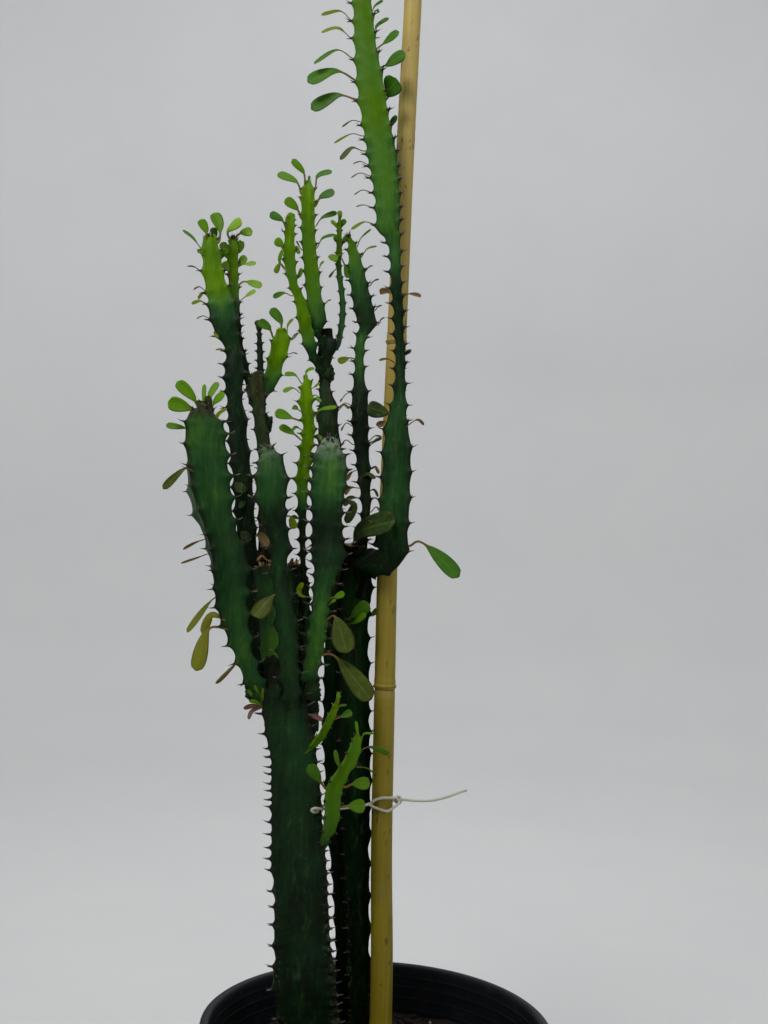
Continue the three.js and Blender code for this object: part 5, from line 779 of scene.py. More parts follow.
def lobes(q, teeth, length):
    """1 at a tooth, 0 half way between two, for every place q."""
    t = np.array(teeth, float)
    if len(t) < 2:
        return np.full(len(q), 0.3)
    step = np.mean(np.diff(t))
    t = np.r_[t[0] - 2 * step, t[0] - step, t, t[-1] + step, t[-1] + 2 * step]
    i = np.clip(np.searchsorted(t, q) - 1, 0, len(t) - 2)
    u = (q - t[i]) / (t[i + 1] - t[i])
    # a tooth leans a little towards the tip of the stem
    u = np.clip(u, 0, 1) ** 0.88
    return np.abs(2 * u - 1) ** 2.7


def wave(p, seed, scale):
    """Cheap smooth noise from a few sines, -1 to 1."""
    r = np.random.RandomState(seed)
    out = np.zeros(len(p))
    for k in range(5):
        d = r.normal(size=3)
        d /= np.linalg.norm(d)
        out += np.sin(p @ d * (2 * math.pi / (scale * r.uniform(0.6, 1.6))) + r.uniform(0, 6.28))
    return out / 3.2


def stem_curve(name):
    C = catmull([list(r) for r in STEMS[name]["stations"]])
    return C, arclen(C)


def rooted(name, C):
    """The stem's curve with the part of it that is grown into its carrier."""
    extra = ROOTS.get(name, [])
    if not extra:
        return C, 0.0
    head = [list(e) + list(C[0, 4:]) for e in extra]
    E = catmull(head + [list(C[0])] + [list(C[12])], 10)[:-10]
    return np.vstack([E[:-1], C]), arclen(E)[-1]


def stem_kind(name):
    return "woody" if name in WOODY else "trunk" if name.startswith("trunk") else "winged"


def build_stem(name, index):
    spec = STEMS[name]
    C, s = stem_curve(name)
    Rm = C[:, 3].mean()
    C0, s0 = C, s
    C, grown = rooted(name, C)
    s = arclen(C) - grown
    L = s[-1]
    step = 1.1 if Rm < 9 else 1.6
    q = np.linspace(s[0], L, int((L - s[0]) / step) + 2)
    D = at(C, s, q)
    T = tangents(D)
    amp, _ = TEETH[name]
    rv, sigma = GROOVE[stem_kind(name)]
    amp_s = amp * np.clip(D[:, 3] / (0.55 * Rm), 0.3, 1) * np.clip((L - q) / (0.6 * Rm + 2) + 0.35, 0.35, 1)
    rows = tooth_rows(name)
    lob = np.stack([lobes(q, rows[k], L) for k in range(3)], 1)
    tth = np.zeros((len(q), 3))
    for k in range(3):
        for t in rows[k]:
            tth[:, k] = np.maximum(tth[:, k], np.exp(-((q - t) / (1.1 + 0.05 * Rm)) ** 2))
    # rings, then a rounded or a cut end
    P, R, PH, TT = list(D[:, :3]), list(D[:, 3]), list(D[:, 4]), list(T)
    shade = SHADE.get(name, (0.0, 0.0))
    D[:, 3] *= FULLER.get(name, 1.0)
    if name in WAX_AND_SHEEN:
        D[:, 6] = np.clip(D[:, 6] + 0.42 * np.exp(-(L - q) / 6.0) * (1.2 - WAX_AND_SHEEN[name]), 0, 1)
    if name == "shoot_lime":
        D[:, 3] *= 1 + 0.80 * np.clip((742 - D[:, 2]) / 34, 0, 1)
    soft = np.exp(-((q[:, None] - q[None, :]) / 9.0) ** 2)
    soft /= soft.sum(1, keepdims=True)
    tone, brown = list(np.clip(soft @ D[:, 5] + shade[0], 0.12, 3)), list(np.clip(soft @ D[:, 6] + shade[1], 0, 1))
    LOB, TTH, AMP, CUT = list(lob), list(tth), list(amp_s), [0.0] * len(q)
    SQ = [1.0] * len(q)
    t_end = unit(T[-1])
    if name in CUT_TOP:
        r0 = R[-1]
        for f, dz, c in ((0.97, 0.5, 0.5), (0.90, 0.9, 1.0), (0.72, 0.2, 1.0), (0.45, -0.9, 1.0), (0.18, -1.2, 1.0)):
            P.append(D[-1, :3] + t_end * dz); R.append(r0 * f); PH.append(PH[-1]); TT.append(t_end)
            tone.append(tone[-1]); brown.append(1.0); LOB.append(lob[-1] * f); TTH.append(tth[-1] * 0); AMP.append(0.0); CUT.append(c); SQ.append(1.0)
    else:
        r0 = R[-1]
        for a in np.radians([18, 36, 52, 66, 78, 86]):
            P.append(D[-1, :3] + t_end * r0 * 0.75 * math.sin(a)); R.append(r0 * math.cos(a)); PH.append(PH[-1]); TT.append(t_end)
            tone.append(tone[-1]); brown.append(brown[-1]); LOB.append(lob[-1] * 0); TTH.append(tth[-1] * 0); AMP.append(0.0); CUT.append(0.0); SQ.append(math.cos(a))
    P, R, PH, TT = np.array(P), np.array(R), np.array(PH), np.array(TT)
    tone, brown, LOB, TTH, AMP, CUT, SQ = map(np.array, (tone, brown, LOB, TTH, AMP, CUT, SQ))
    n = len(ANG)
    near = np.sqrt(NEAR ** 2 + 2.2 ** 2) - 2.2
    w = np.exp(-(near / sigma) ** 1.32)
    w = (w - w.min()) / (w.max() - w.min())
    E1 = np.array([1.0, 0, 0]) - TT * TT[:, :1]
    E1 /= np.linalg.norm(E1, axis=1)[:, None]
    E2 = np.cross(TT, E1)
    ang = np.radians(PH[:, None] + ANG[None, :])
    # grooves get shallower where a stem is thin and corky, and round where it ends
    rvs = rv + (0.80 - rv) * np.clip(brown, 0, 1) * 0.35
    rvs = rvs + (1 - rvs) * (1 - SQ) * 0.7
    rad = R[:, None] * (rvs[:, None] + (1 - rvs)[:, None] * w[None, :])
    rad += (AMP[:, None] * (LOB[:, RIDGE_ID] - 0.38)) * (w[None, :] ** (4.0 if name.startswith("trunk") else 1.7))
    pos = P[:, None, :] + rad[:, :, None] * (np.cos(ang)[:, :, None] * E1[:, None, :] + np.sin(ang)[:, :, None] * E2[:, None, :])
    flat = pos.reshape(-1, 3)
    # the skin is never quite true
    dirs = (pos - P[:, None, :]).reshape(-1, 3)
    dirs /= np.linalg.norm(dirs, axis=1)[:, None] + 1e-9
    swell = 0.030 * Rm * wave(flat, 11 + index, 30) + 0.016 * Rm * wave(flat, 31 + index, 11) + 0.006 * Rm * wave(flat, 41 + index, 4.5)
    swell += CUT.repeat(n) * (0.5 * wave(flat, 51 + index, 5))
    flat = flat + dirs * swell[:, None]
    if name in CUT_TOP:
        flat[:, 2] += CUT.repeat(n) * ((2.2 * wave(flat, 71 + index, 14) + 1.2 * wave(flat, 81 + index, 5)) if name == "cut_stub" else 0.6 * wave(flat, 71 + index, 4))
    ridge = np.tile(w, len(R))
    B = Builder(["tone", "brown", "ridge", "tooth", "cut", "wax"])
    B.add(flat, ring_faces(len(R), n), 0, tone=tone.repeat(n), brown=brown.repeat(n), ridge=ridge,
          tooth=(TTH[:, RIDGE_ID] * (w[None, :] ** (9.0 if Rm > 14 else 2.4))).reshape(-1), cut=CUT.repeat(n),
          wax=(np.exp(-np.maximum(L - np.r_[q, np.full(len(R) - len(q), L)], 0) / 9.0) * WAX_AND_SHEEN.get(name, 0.0)).repeat(n))
    spines(B, name, C0, s0, index)
    if name not in CUT_TOP and name not in NO_TIP:
        apex(B, name, C0, index)
    return B


def apex(B, name, C, index):
    """The growing tip: the three ridges meet in a knot of buds, scales and small spines."""
    r = np.random.RandomState(300 + index)
    young = name in YOUNG
    T = unit(C[-1, :3] - C[-4, :3])
    e1 = unit(np.array([1.0, 0, 0]) - T * T[0])
    e2 = np.cross(T, e1)
    R = C[-1, 3]
    top = C[-1, :3] + T * R * 0.62
    for i in range(5 if young else 20):
        a = r.uniform(0, 2 * math.pi)
        f = r.uniform(0.15, 1.0) * R
        o = math.cos(a) * e1 + math.sin(a) * e2
        p = top + o * f - T * f * f / (2.0 * R)
        d = T * r.uniform(0.7, 1.0) + o * r.uniform(0.2, 0.9)
        ln = r.uniform(1.4, 2.6) if young else r.uniform(2.4, 5.6)
        cone(B, p, d, ln, r.uniform(0.32, 0.5) * (0.7 if young else 1.2), e1, r.uniform(0, 1))
    if name in WAX_AND_SHEEN:
        # a ragged crown of dark spines along the last bit of every ridge
        for i in range(30):
            back = r.uniform(0.0, 15.0)
            a = math.radians(C[-1, 4] + 120 * (i % 3) + r.uniform(-16, 16))
            o = math.cos(a) * e1 + math.sin(a) * e2
            p = C[-1, :3] - T * back + T * R * 0.45 * (1 - back / 15) + o * R * (0.72 + 0.30 * back / 15)
            cone(B, p, o * r.uniform(0.5, 1.0) + T * r.uniform(0.1, 0.9), r.uniform(2.6, 5.8), r.uniform(0.5, 0.85), e1, r.uniform(0, 0.6))
    for i in range(3 if young else 6):
        a = r.uniform(0, 2 * math.pi)
        f = r.uniform(0.0, 0.55) * R
        o = math.cos(a) * e1 + math.sin(a) * e2
        p = top + o * f - T * (f * f / (2.0 * R) + 0.3)
        bud(B, p, unit(T + o * 0.6), r.uniform(0.9, 1.5) * (0.8 if young else 1.2), r.uniform(1.6, 2.6), 0 if young else 1, C[-1, 5], C[-1, 6])


def bud(B, p, d, rad, length, mat, tone, brown):
    a = unit(np.cross(d, np.array([0.2, 0.9, 0.3])))
    b = np.cross(d, a)
    V, levels = [], [(-0.3, 0.8), (0.0, 1.0), (0.35, 0.95), (0.7, 0.66), (0.92, 0.3), (1.0, 0.06)]
    for u, f in levels:
        for k in range(8):
            t = 2 * math.pi * k / 8
            V.append(p + d * length * u + rad * f * (math.cos(t) * a + math.sin(t) * b))
    B.add(V, ring_faces(len(levels), 8), mat, tone=tone if mat == 0 else 0.4, brown=brown if mat == 0 else 0.2, ridge=0.6)


def cone(B, p, d, length, r, side, tone, bend=0.12, sides=6, mat=1):
    d = unit(d)
    a = unit(np.cross(d, side if abs(d @ side) < 0.9 else np.array([0, 0, 1.0])))
    b = np.cross(d, a)
    pts, F = [], []
    levels = [(-0.25, 1.25), (0.0, 1.0), (0.3, 0.66), (0.65, 0.36), (1.0, 0.05)]
    for u, f in levels:
        c = p + d * length * u + np.array([0, 0, 1.0]) * bend * length * max(u, 0) ** 2
        for k in range(sides):
            t = 2 * math.pi * k / sides
            pts.append(c + r * f * (math.cos(t) * a + math.sin(t) * b))
    B.add(pts, ring_faces(len(levels), sides), mat, tone=tone, brown=np.repeat([u for u, _ in levels], sides))


def spines(B, name, C, s, index):
    r = np.random.RandomState(100 + index)
    amp, length = TEETH[name]
    L = s[-1]
    young = name in YOUNG
    rows = tooth_rows(name)
    for k in range(3):
        for t in rows[k]:
            if t > L - 1 or t < 1:
                continue
            row = at(C, s, np.array([t]))[0]
            a0, b0 = at(C, s, np.array([max(t - 1, 0), min(t + 1, L)]))
            T = unit((b0 - a0)[:3])
            e1 = unit(np.array([1.0, 0, 0]) - T * T[0])
            e2 = np.cross(T, e1)
            a = math.radians(row[4] + 120 * k)
            o = math.cos(a) * e1 + math.sin(a) * e2
            side = np.cross(T, o)
            fade = min(1.0, row[3] / (0.55 * C[:, 3].mean())) * min(1.0, (0.8 if name in WAX_AND_SHEEN else 0.35) + (L - t) / 25)
            base = row[:3] + o * (row[3] + amp * 0.62 * fade - 0.45)
            for sgn in (-1, 1):
                ln = length * fade * r.uniform(0.72, 1.15)
                if ln < 0.8:
                    continue
                d = o * r.uniform(0.8, 1.0) + side * sgn * r.uniform(0.32, 0.62) + T * r.uniform(0.0, 0.34)
                cone(B, base + side * sgn * 0.45 + T * r.uniform(-0.2, 0.2), d, ln, (0.36 if young else 0.78 if name == "trunk_left" else 0.58) * (0.7 + 0.3 * fade) + 0.03 * length,
                     T, r.uniform(0, 1))


def lump(B, c, rx, ry, rz, tone, brown, seed, rough=0.16):
    r = np.random.RandomState(seed)
    nl, nn = 22, 30
    V = []
    for i in range(nl + 1):
        th = math.pi * (0.03 + 0.94 * i / nl)
        for k in range(nn):
            ph = 2 * math.pi * k / nn
            V.append((math.sin(th) * math.cos(ph), math.sin(th) * math.sin(ph), math.cos(th)))
    V = np.array(V)
    V *= (1 + rough * wave(V * 10, seed, 9) + 0.55 * rough * wave(V * 10, seed + 1, 3.6) + 0.3 * rough * wave(V * 10, seed + 2, 1.7))[:, None]
    V = V * np.array([rx, ry, rz]) + np.array(c)
    B.add(V, [f[::-1] for f in ring_faces(nl + 1, nn)], 0, tone=tone, brown=brown, ridge=0.45)


def flake(B, p, d, width, length, seed, cut):
    """A torn, thin, curling scrap of dry skin."""
    r = np.random.RandomState(seed)
    d = unit(d)
    side = unit(np.cross(d, np.array([r.normal(), r.normal(), 0.2])))
    nrm = np.cross(side, d)
    V, n = [], 5
    bend = r.uniform(-0.5, 0.9)
    for i in range(n):
        u = i / (n - 1)
        c = p + d * length * u + nrm * bend * length * u * u
        wdt = width * (1 - 0.75 * u) * r.uniform(0.7, 1.2)
        t = 0.55 * (1 - 0.6 * u)
        V += [c - side * wdt / 2, c - nrm * t / 2 + side * r.uniform(-0.2, 0.2), c + side * wdt / 2, c + nrm * t / 2]
    B.add(V, [f[::-1] for f in ring_faces(n, 4)], 0, tone=0.5, brown=0.9, ridge=0.5, cut=cut)


# ------------------------------------------------------------------ leaves
def leaf(B, pts, width, colour, petiole, seed, curl=None, roll=None, looks=None):
    r = np.random.RandomState(seed)
    pts = [np.array(p, float) for p in pts]
    C = catmull(pts, 10)
    s = arclen(C)
    L = s[-1]
    n_u, n_x = 22, 9
    u = np.linspace(0, 1, n_u) ** 0.94
    P = at(C, s, u * L)
    T = tangents(P)
    face = unit(np.array([r.uniform(-0.28, 0.28), -1.0, r.uniform(0.05, 0.55)]))
    if looks is not None:
        face = unit(np.array(looks))
    if colour in (0, 5, 8):
        width = width * 1.12
        pet = petiole = max(petiole, 0.16)
    elif colour not in (3, 6):
        width = width * 1.16
        pet = petiole = max(petiole, 0.36 if width > 5 else 0.26)
    pet = petiole
    v = np.clip((u - pet) / (1 - pet), 0, 1)
    blade = v ** 0.82 * np.clip(1 - v, 0, 1) ** 0.37 / 0.4857
    stalk = np.clip(0.09 * width, 0.42, 0.9)
    half = np.maximum(0.5 * width * blade, stalk * np.clip(1.15 - 0.2 * (u > 0.97), 0.6, 1.2))
    half[-1] = max(0.22, 0.12 * width * 0.5)
    half[0] = stalk * 1.5
    thick = 0.34 + 0.30 * (1 - v) + 0.1 * (width > 8)
    thick = np.where(v <= 0, stalk * 0.95, thick)
    thick[-1] *= 0.5
    cup = (r.uniform(0.06, 0.24) if curl is None else curl)
    twist = (r.uniform(-0.3, 0.3) if roll is None else roll)
    droop = r.uniform(-0.02, 0.05)
    xs = np.linspace(-1, 1, n_x)
    verts, lx, lu = [], [], []
    wob = r.uniform(0, 6.28)
    side_prev = None
    for i in range(n_u):
        t = T[i]
        f = face - t * (face @ t)
        if np.linalg.norm(f) < 0.25:
            g2 = np.array([0.0, 0.2, 1.0])
            f = f + (g2 - t * (g2 @ t)) * 0.6
        f = unit(f)
        side = unit(np.cross(t, f))
        if side_prev is not None and side @ side_prev < 0:
            side = -side
            f = -f
        side_prev = side
        tw = twist * (u[i] - pet)
        side, f = side * math.cos(tw) + f * math.sin(tw), f * math.cos(tw) - side * math.sin(tw)
        c = P[i] + f * (-droop * width * v[i] ** 2)
        on = min(1.0, v[i] * 6)
        top, bot = [], []
        for x in xs:
            lift = cup * half[i] * (x * x) * on - 0.16 * thick[i] * on * math.exp(-(x / 0.14) ** 2)
            lift += 0.05 * half[i] * on * math.sin(wob + 9 * u[i] + 2.2 * x) * abs(x)
            edge = math.sqrt(max(0.0, 1 - x * x))
            th = thick[i] * (0.28 + 0.72 * edge) if on > 0 else thick[i] * edge
            rib = 0.35 * thick[i] * math.exp(-(x / 0.16) ** 2) * on
            q = c + side * (x * half[i]) + f * lift
            top.append((q + f * th * 0.5 * (0 if abs(x) == 1 else 1), x))
            if abs(x) < 1:
                bot.append((q - f * (th * 0.5 + rib), x))
        for p, x in top + bot[::-1]:
            verts.append(p)
            lx.append(x)
            lu.append(u[i])
    n = 2 * n_x - 2
    F = ring_faces(n_u, n)
    # faces point out
    B.add(verts, [f[::-1] for f in F], 0, kind=float(colour), lx=np.array(lx), lu=np.array(lu), rnd=r.uniform(0, 1), blade=np.clip((np.array(lu) - pet) / 0.08, 0, 1))


LEAF_ATTRS = ["kind", "lx", "lu", "rnd", "blade"]


# ------------------------------------------------------------------ node helpers
class Nodes:
    def __init__(self, name):
        self.mat = bpy.data.materials.new(name)
        self.mat.use_nodes = True
        self.t = self.mat.node_tree
        self.t.nodes.clear()
        self.out = self.t.nodes.new("ShaderNodeOutputMaterial")
        self.p = self.t.nodes.new("ShaderNodeBsdfPrincipled")
        self.t.links.new(self.p.outputs[0], self.out.inputs[0])

    def new(self, kind, **props):
        n = self.t.nodes.new(kind)
        for k, v in props.items():
            setattr(n, k, v)
        return n

    def link(self, a, b):
        self.t.links.new(a, b)

    def put(self, socket, value):
        if hasattr(value, "is_output") or isinstance(value, bpy.types.NodeSocket):
            self.link(value, socket)
        else:
            socket.default_value = value

    def axis(self, which):
        if not hasattr(self, "_xyz"):
            node = self.t.nodes.new("ShaderNodeSeparateXYZ")
            self.t.links.new(self.pos(), node.inputs[0])
            self._xyz = node
        return self._xyz.outputs[which]

    def attr(self, name):
        n = self.new("ShaderNodeAttribute", attribute_name=name)
        return n.outputs["Fac"]

    def pos(self):
        return self.new("ShaderNodeTexCoord").outputs["Object"]

    def scaled(self, sx, sy, sz):
        n = self.new("ShaderNodeMapping")
        self.link(self.pos(), n.inputs["Vector"])
        n.inputs["Scale"].default_value = (sx, sy, sz)
        return n.outputs[0]

    def noise(self, scale, detail=3.0, rough=0.55, vec=None, dist=0.0):
        n = self.new("ShaderNodeTexNoise")
        self.link(vec if vec is not None else self.pos(), n.inputs["Vector"])
        n.inputs["Scale"].default_value = scale
        n.inputs["Detail"].default_value = detail
        n.inputs["Roughness"].default_value = rough
        n.inputs["Distortion"].default_value = dist
        return n.outputs["Fac"]

    def voronoi(self, scale, vec=None, feature="F1", out="Distance", rnd=1.0):
        n = self.new("ShaderNodeTexVoronoi", feature=feature)
        self.link(vec if vec is not None else self.pos(), n.inputs["Vector"])
        n.inputs["Scale"].default_value = scale
        n.inputs["Randomness"].default_value = rnd
        return n.outputs[out]

    def math(self, op, a, b=0.0, clamp=False):
        n = self.new("ShaderNodeMath", operation=op, use_clamp=clamp)
        self.put(n.inputs[0], a)
        self.put(n.inputs[1], b)
        return n.outputs[0]

    def ramp(self, fac, stops, interp="LINEAR"):
        n = self.new("ShaderNodeValToRGB")
        n.color_ramp.interpolation = interp
        e = n.color_ramp.elements
        e[0].position, e[0].color = stops[0]
        e[1].position, e[1].color = stops[-1]
        for p, c in stops[1:-1]:
            x = e.new(p)
            x.color = c
        self.link(fac, n.inputs[0])
        return n.outputs["Color"]

    def step(self, fac, lo, hi):
        n = self.new("ShaderNodeMapRange", interpolation_type="SMOOTHSTEP")
        self.put(n.inputs["Value"], fac)
        n.inputs["From Min"].default_value = lo
        n.inputs["From Max"].default_value = hi
        return n.outputs["Result"]

    def mix(self, fac, a, b, mode="MIX"):
        n = self.new("ShaderNodeMix", data_type="RGBA", blend_type=mode)
        self.put(n.inputs["Factor"], fac)
        self.put(n.inputs["A"] if False else n.inputs[6], a)
        self.put(n.inputs[7], b)
        return n.outputs[2]

    def bump(self, height, strength, distance, normal=None):
        n = self.new("ShaderNodeBump")
        n.inputs["Strength"].default_value = strength
        n.inputs["Distance"].default_value = distance
        self.link(height, n.inputs["Height"])
        if normal is not None:
            self.link(normal, n.inputs["Normal"])
        return n.outputs[0]

    def done(self, color=None, rough=0.5, normal=None, spec=0.5, **fixed):
        if color is not None:
            self.put(self.p.inputs["Base Color"], color)
        self.put(self.p.inputs["Roughness"], rough)
        self.p.inputs["Specular IOR Level"].default_value = spec
        if normal is not None:
            self.link(normal, self.p.inputs["Normal"])
        for k, v in fixed.items():
            self.p.inputs[k.replace("_", " ")].default_value = v
        return self.mat


# ------------------------------------------------------------------ materials
def stem_material(name, shine):
    N = Nodes(name)
    tone = N.math("DIVIDE", N.attr("tone"), 3.0)
    ridge = N.attr("ridge")
    big = N.math("SUBTRACT", N.noise(1.0, 4, 0.62, N.scaled(46, 46, 26)), 0.5)
    streaks = N.math("SUBTRACT", N.noise(1.0, 4, 0.6, N.scaled(380, 380, 34)), 0.5)
    # the faces are paler and yellower down their middle than at the wings
    face = N.math("MULTIPLY", N.step(ridge, 0.60, 0.02), 0.045)
    toned = N.math("ADD", N.math("ADD", tone, face), N.math("ADD", N.math("MULTIPLY", big, 0.36), N.math("MULTIPLY", streaks, 0.26)))
    green = N.ramp(toned, [
        (0.0, rgba((6, 12, 8))), (0.17, rgba((11, 27, 12))), (0.34, rgba((22, 49, 23))), (0.5, rgba((36, 74, 33))),
        (0.66, rgba((66, 108, 32))), (0.83, rgba((70, 106, 0))), (1.0, rgba((98, 136, 0)))])
    # blue-green wax here and there, pale marbling on the faces
    c = N.mix(N.math("MULTIPLY", N.step(N.noise(30, 3, 0.6), 0.50, 0.72), N.math("MULTIPLY", N.step(toned, 0.72, 0.30), 0.24)), green, rgba((24, 60, 40)))
    marble = N.noise(1.0, 5, 0.64, N.scaled(150, 150, 52), 0.8)
    pale_mask = N.math("MULTIPLY", N.step(marble, 0.50, 0.76), N.step(ridge, 0.62, 0.05))
    pale_mask = N.math("MULTIPLY", pale_mask, N.step(toned, 0.95, 0.35))
    c = N.mix(N.math("MULTIPLY", pale_mask, 0.22), c, rgba((84, 118, 66)))
    # old dark blotches low on the plant
    dark = N.math("MULTIPLY", N.step(N.noise(1.0, 4, 0.66, N.scaled(54, 54, 22)), 0.50, 0.68), N.step(toned, 0.46, 0.22))
    c = N.mix(N.math("MULTIPLY", dark, 0.68), c, rgba((13, 15, 12)))
    brownish = N.math("MULTIPLY", N.step(N.noise(1.0, 5, 0.7, N.scaled(85, 85, 30), 0.5), 0.52, 0.70), N.step(toned, 0.62, 0.36))
    c = N.mix(N.math("MULTIPLY", brownish, 0.36), c, rgba((42, 38, 22)))
    olive = N.math("MULTIPLY", N.step(N.noise(1.0, 4, 0.7, N.scaled(90, 90, 38)), 0.60, 0.74), N.step(toned, 0.50, 0.24))
    c = N.mix(N.math("MULTIPLY", olive, 0.34), c, rgba((52, 50, 24)))
    # tiny pores of uneven size
    pores = N.math("MULTIPLY", N.step(N.voronoi(560), 0.26, 0.12), N.step(N.noise(64, 3, 0.6), 0.55, 0.72))
    c = N.mix(N.math("MULTIPLY", pores, 0.16), c, rgba((132, 150, 100)))
    # the low wings carry pale crescents
    low = N.step(N.axis("Z"), 0.42, 0.30)
    pale = N.math("MULTIPLY", N.math("MULTIPLY", N.step(ridge, 0.60, 0.86), N.step(N.noise(1.0, 4, 0.62, N.scaled(170, 170, 240), 0.9), 0.54, 0.66)), low)
    # wings are darker at the edge
    edge = N.math("MULTIPLY", N.step(N.math("ADD", ridge, N.math("MULTIPLY", N.math("SUBTRACT", N.noise(220, 3, 0.6), 0.5), 0.35)), 0.72, 0.98), N.step(tone, 0.80, 0.46))
    c = N.mix(N.math("MULTIPLY", edge, 0.66), c, rgba((20, 22, 14)))
    c = N.mix(N.math("MULTIPLY", pale, 0.55), c, rgba((76, 100, 58)))
    # cork and scars
    bark = N.noise(1.0, 5, 0.7, N.scaled(260, 260, 60), 0.6)
    cork = N.ramp(bark, [(0.25, rgba((18, 18, 12))), (0.5, rgba((44, 44, 25))), (0.78, rgba((88, 82, 48)))])
    brown = N.attr("brown")
    cork_mask = N.step(N.math("ADD", brown, N.math("MULTIPLY", N.math("SUBTRACT", N.noise(1.0, 4, 0.68, N.scaled(120, 120, 55)), 0.5), 1.0)), 0.36, 0.86)
    c = N.mix(cork_mask, c, cork)
    scar = N.math("MULTIPLY", N.step(N.noise(330, 2, 0.6), 0.69, 0.77), 0.5)
    c = N.mix(scar, c, rgba((76, 68, 44)))
    # scuffs: short pale scratches across the skin
    scuff = N.math("MULTIPLY", N.step(N.noise(1.0, 2, 0.5, N.scaled(70, 70, 620)), 0.70, 0.78), N.step(N.noise(38, 2), 0.58, 0.70))
    c = N.mix(N.math("MULTIPLY", scuff, 0.30), c, rgba((120, 126, 92)))
    # grey bloom and painted sheen on old tips
    wax = N.math("MULTIPLY", N.attr("wax"), N.step(N.noise(160, 4, 0.6), 0.30, 0.66))
    c = N.mix(N.math("MULTIPLY", wax, 0.85), c, rgba((134, 148, 128)))
    # the horny shield under each pair of spines
    shield = N.step(N.attr("tooth"), 0.35, 0.72)
    c = N.mix(shield, c, N.mix(N.noise(500, 2), rgba((18, 14, 12)), rgba((50, 42, 34))))
    # cut tops
    cut = N.attr("cut")
    callus = N.ramp(N.noise(260, 4, 0.7), [(0.3, rgba((52, 40, 28))), (0.5, rgba((142, 116, 78))), (0.72, rgba((206, 184, 142)))])
    c = N.mix(N.step(cut, 0.3, 0.7), c, callus)
    rough = N.math("ADD", 0.40, N.math("MULTIPLY", N.noise(160, 3), 0.16))
    rough = N.math("ADD", rough, N.math("MULTIPLY", cork_mask, 0.30))
    h = N.math("ADD", N.math("MULTIPLY", N.noise(700, 4, 0.6), 0.30), N.math("MULTIPLY", N.noise(120, 3, 0.55), 0.9))
    h = N.math("ADD", h, N.math("MULTIPLY", N.math("MULTIPLY", bark, cork_mask), 1.6))
    h = N.math("ADD", h, N.math("MULTIPLY", streaks, 0.8))
    nrm = N.bump(h, 0.45, 0.0007)
    return N.done(c, rough, nrm, shine)


def spine_material():
    N = Nodes("spine_horn")
    u = N.attr("brown")
    base = N.mix(N.attr("tone"), rgba((20, 15, 14)), rgba((44, 34, 28)))
    tip = N.mix(N.attr("tone"), rgba((36, 30, 28)), rgba((136, 126, 108)))
    c = N.mix(N.step(u, 0.1, 0.9), base, tip)
    nrm = N.bump(N.noise(900, 3), 0.3, 0.0003)
    return N.done(c, N.math("ADD", 0.42, N.math("MULTIPLY", N.noise(300, 2), 0.15)), nrm, 0.45)


def leaf_material():
    N = Nodes("leaf_blade")
    kind = N.math("DIVIDE", N.attr("kind"), 10.0)
    # the last colour, kind 10, is painted light: the bright green of leaves with light shining through them from behind
    stops = [(60, 68, 14), (56, 104, 8), (84, 130, 0), (104, 78, 48), (104, 122, 6), (34, 48, 20), (112, 66, 74), (56, 106, 24), (112, 112, 26), (34, 60, 6), (124, 166, 44)]
    c = N.ramp(N.math("ADD", kind, 0.01), [(i / 10.0, rgba(x)) for i, x in enumerate(stops)], "CONSTANT")
    mottle = N.noise(170, 4, 0.6)
    c = N.mix(N.math("MULTIPLY", N.step(mottle, 0.42, 0.78), 0.22), c, rgba((122, 136, 30)))
    shade = N.math("MULTIPLY", N.step(N.attr("lu"), 0.75, 0.25), 0.22)
    c = N.mix(shade, c, rgba((36, 62, 16)))
    c = N.mix(N.math("MULTIPLY", N.step(N.attr("rnd"), 0.2, 1.0), 0.22), c, rgba((40, 70, 26)))
    lx, lu = N.attr("lx"), N.attr("lu")
    ax = N.math("ABSOLUTE", lx)
    # veins: a midrib and side veins that leave it at an angle
    rib = N.step(ax, 0.11, 0.02)
    w = N.math("ADD", N.math("MULTIPLY", lu, 62.0), N.math("MULTIPLY", ax, -13.0))
    vein = N.math("MULTIPLY", N.step(N.math("SINE", w), 0.80, 1.0), N.step(ax, 0.9, 0.2))
    c = N.mix(N.math("MULTIPLY", rib, 0.16), c, rgba((126, 150, 40)))
    c = N.mix(N.math("MULTIPLY", vein, 0.09), c, rgba((116, 142, 36)))
    # painted shade: leaves below about half a metre are mixed towards a deep green, for the shade they sit in
    low = N.step(N.axis("Z"), 0.56, 0.46)
    c = N.mix(N.math("MULTIPLY", low, 0.36), c, rgba((16, 34, 2)))
    # reddish stalk and thin brown rim
    blade = N.attr("blade")
    c = N.mix(N.math("MULTIPLY", N.step(blade, 1.0, 0.0), 0.62), c, rgba((112, 72, 44)))
    rim = N.math("MULTIPLY", N.step(ax, 0.86, 1.0), N.step(N.noise(120, 2), 0.38, 0.62))
    c = N.mix(N.math("MULTIPLY", rim, 0.45), c, rgba((86, 58, 36)))
    spot = N.math("MULTIPLY", N.step(N.noise(260, 2), 0.68, 0.76), 0.5)
    c = N.mix(spot, c, rgba((92, 66, 36)))
    h = N.math("ADD", N.math("MULTIPLY", vein, -0.5), N.math("MULTIPLY", N.noise(500, 3), 0.6))
    nrm = N.bump(h, 0.35, 0.0004)
    return N.done(c, N.math("ADD", 0.42, N.math("MULTIPLY", N.noise(120, 2), 0.16)), nrm, 0.14)


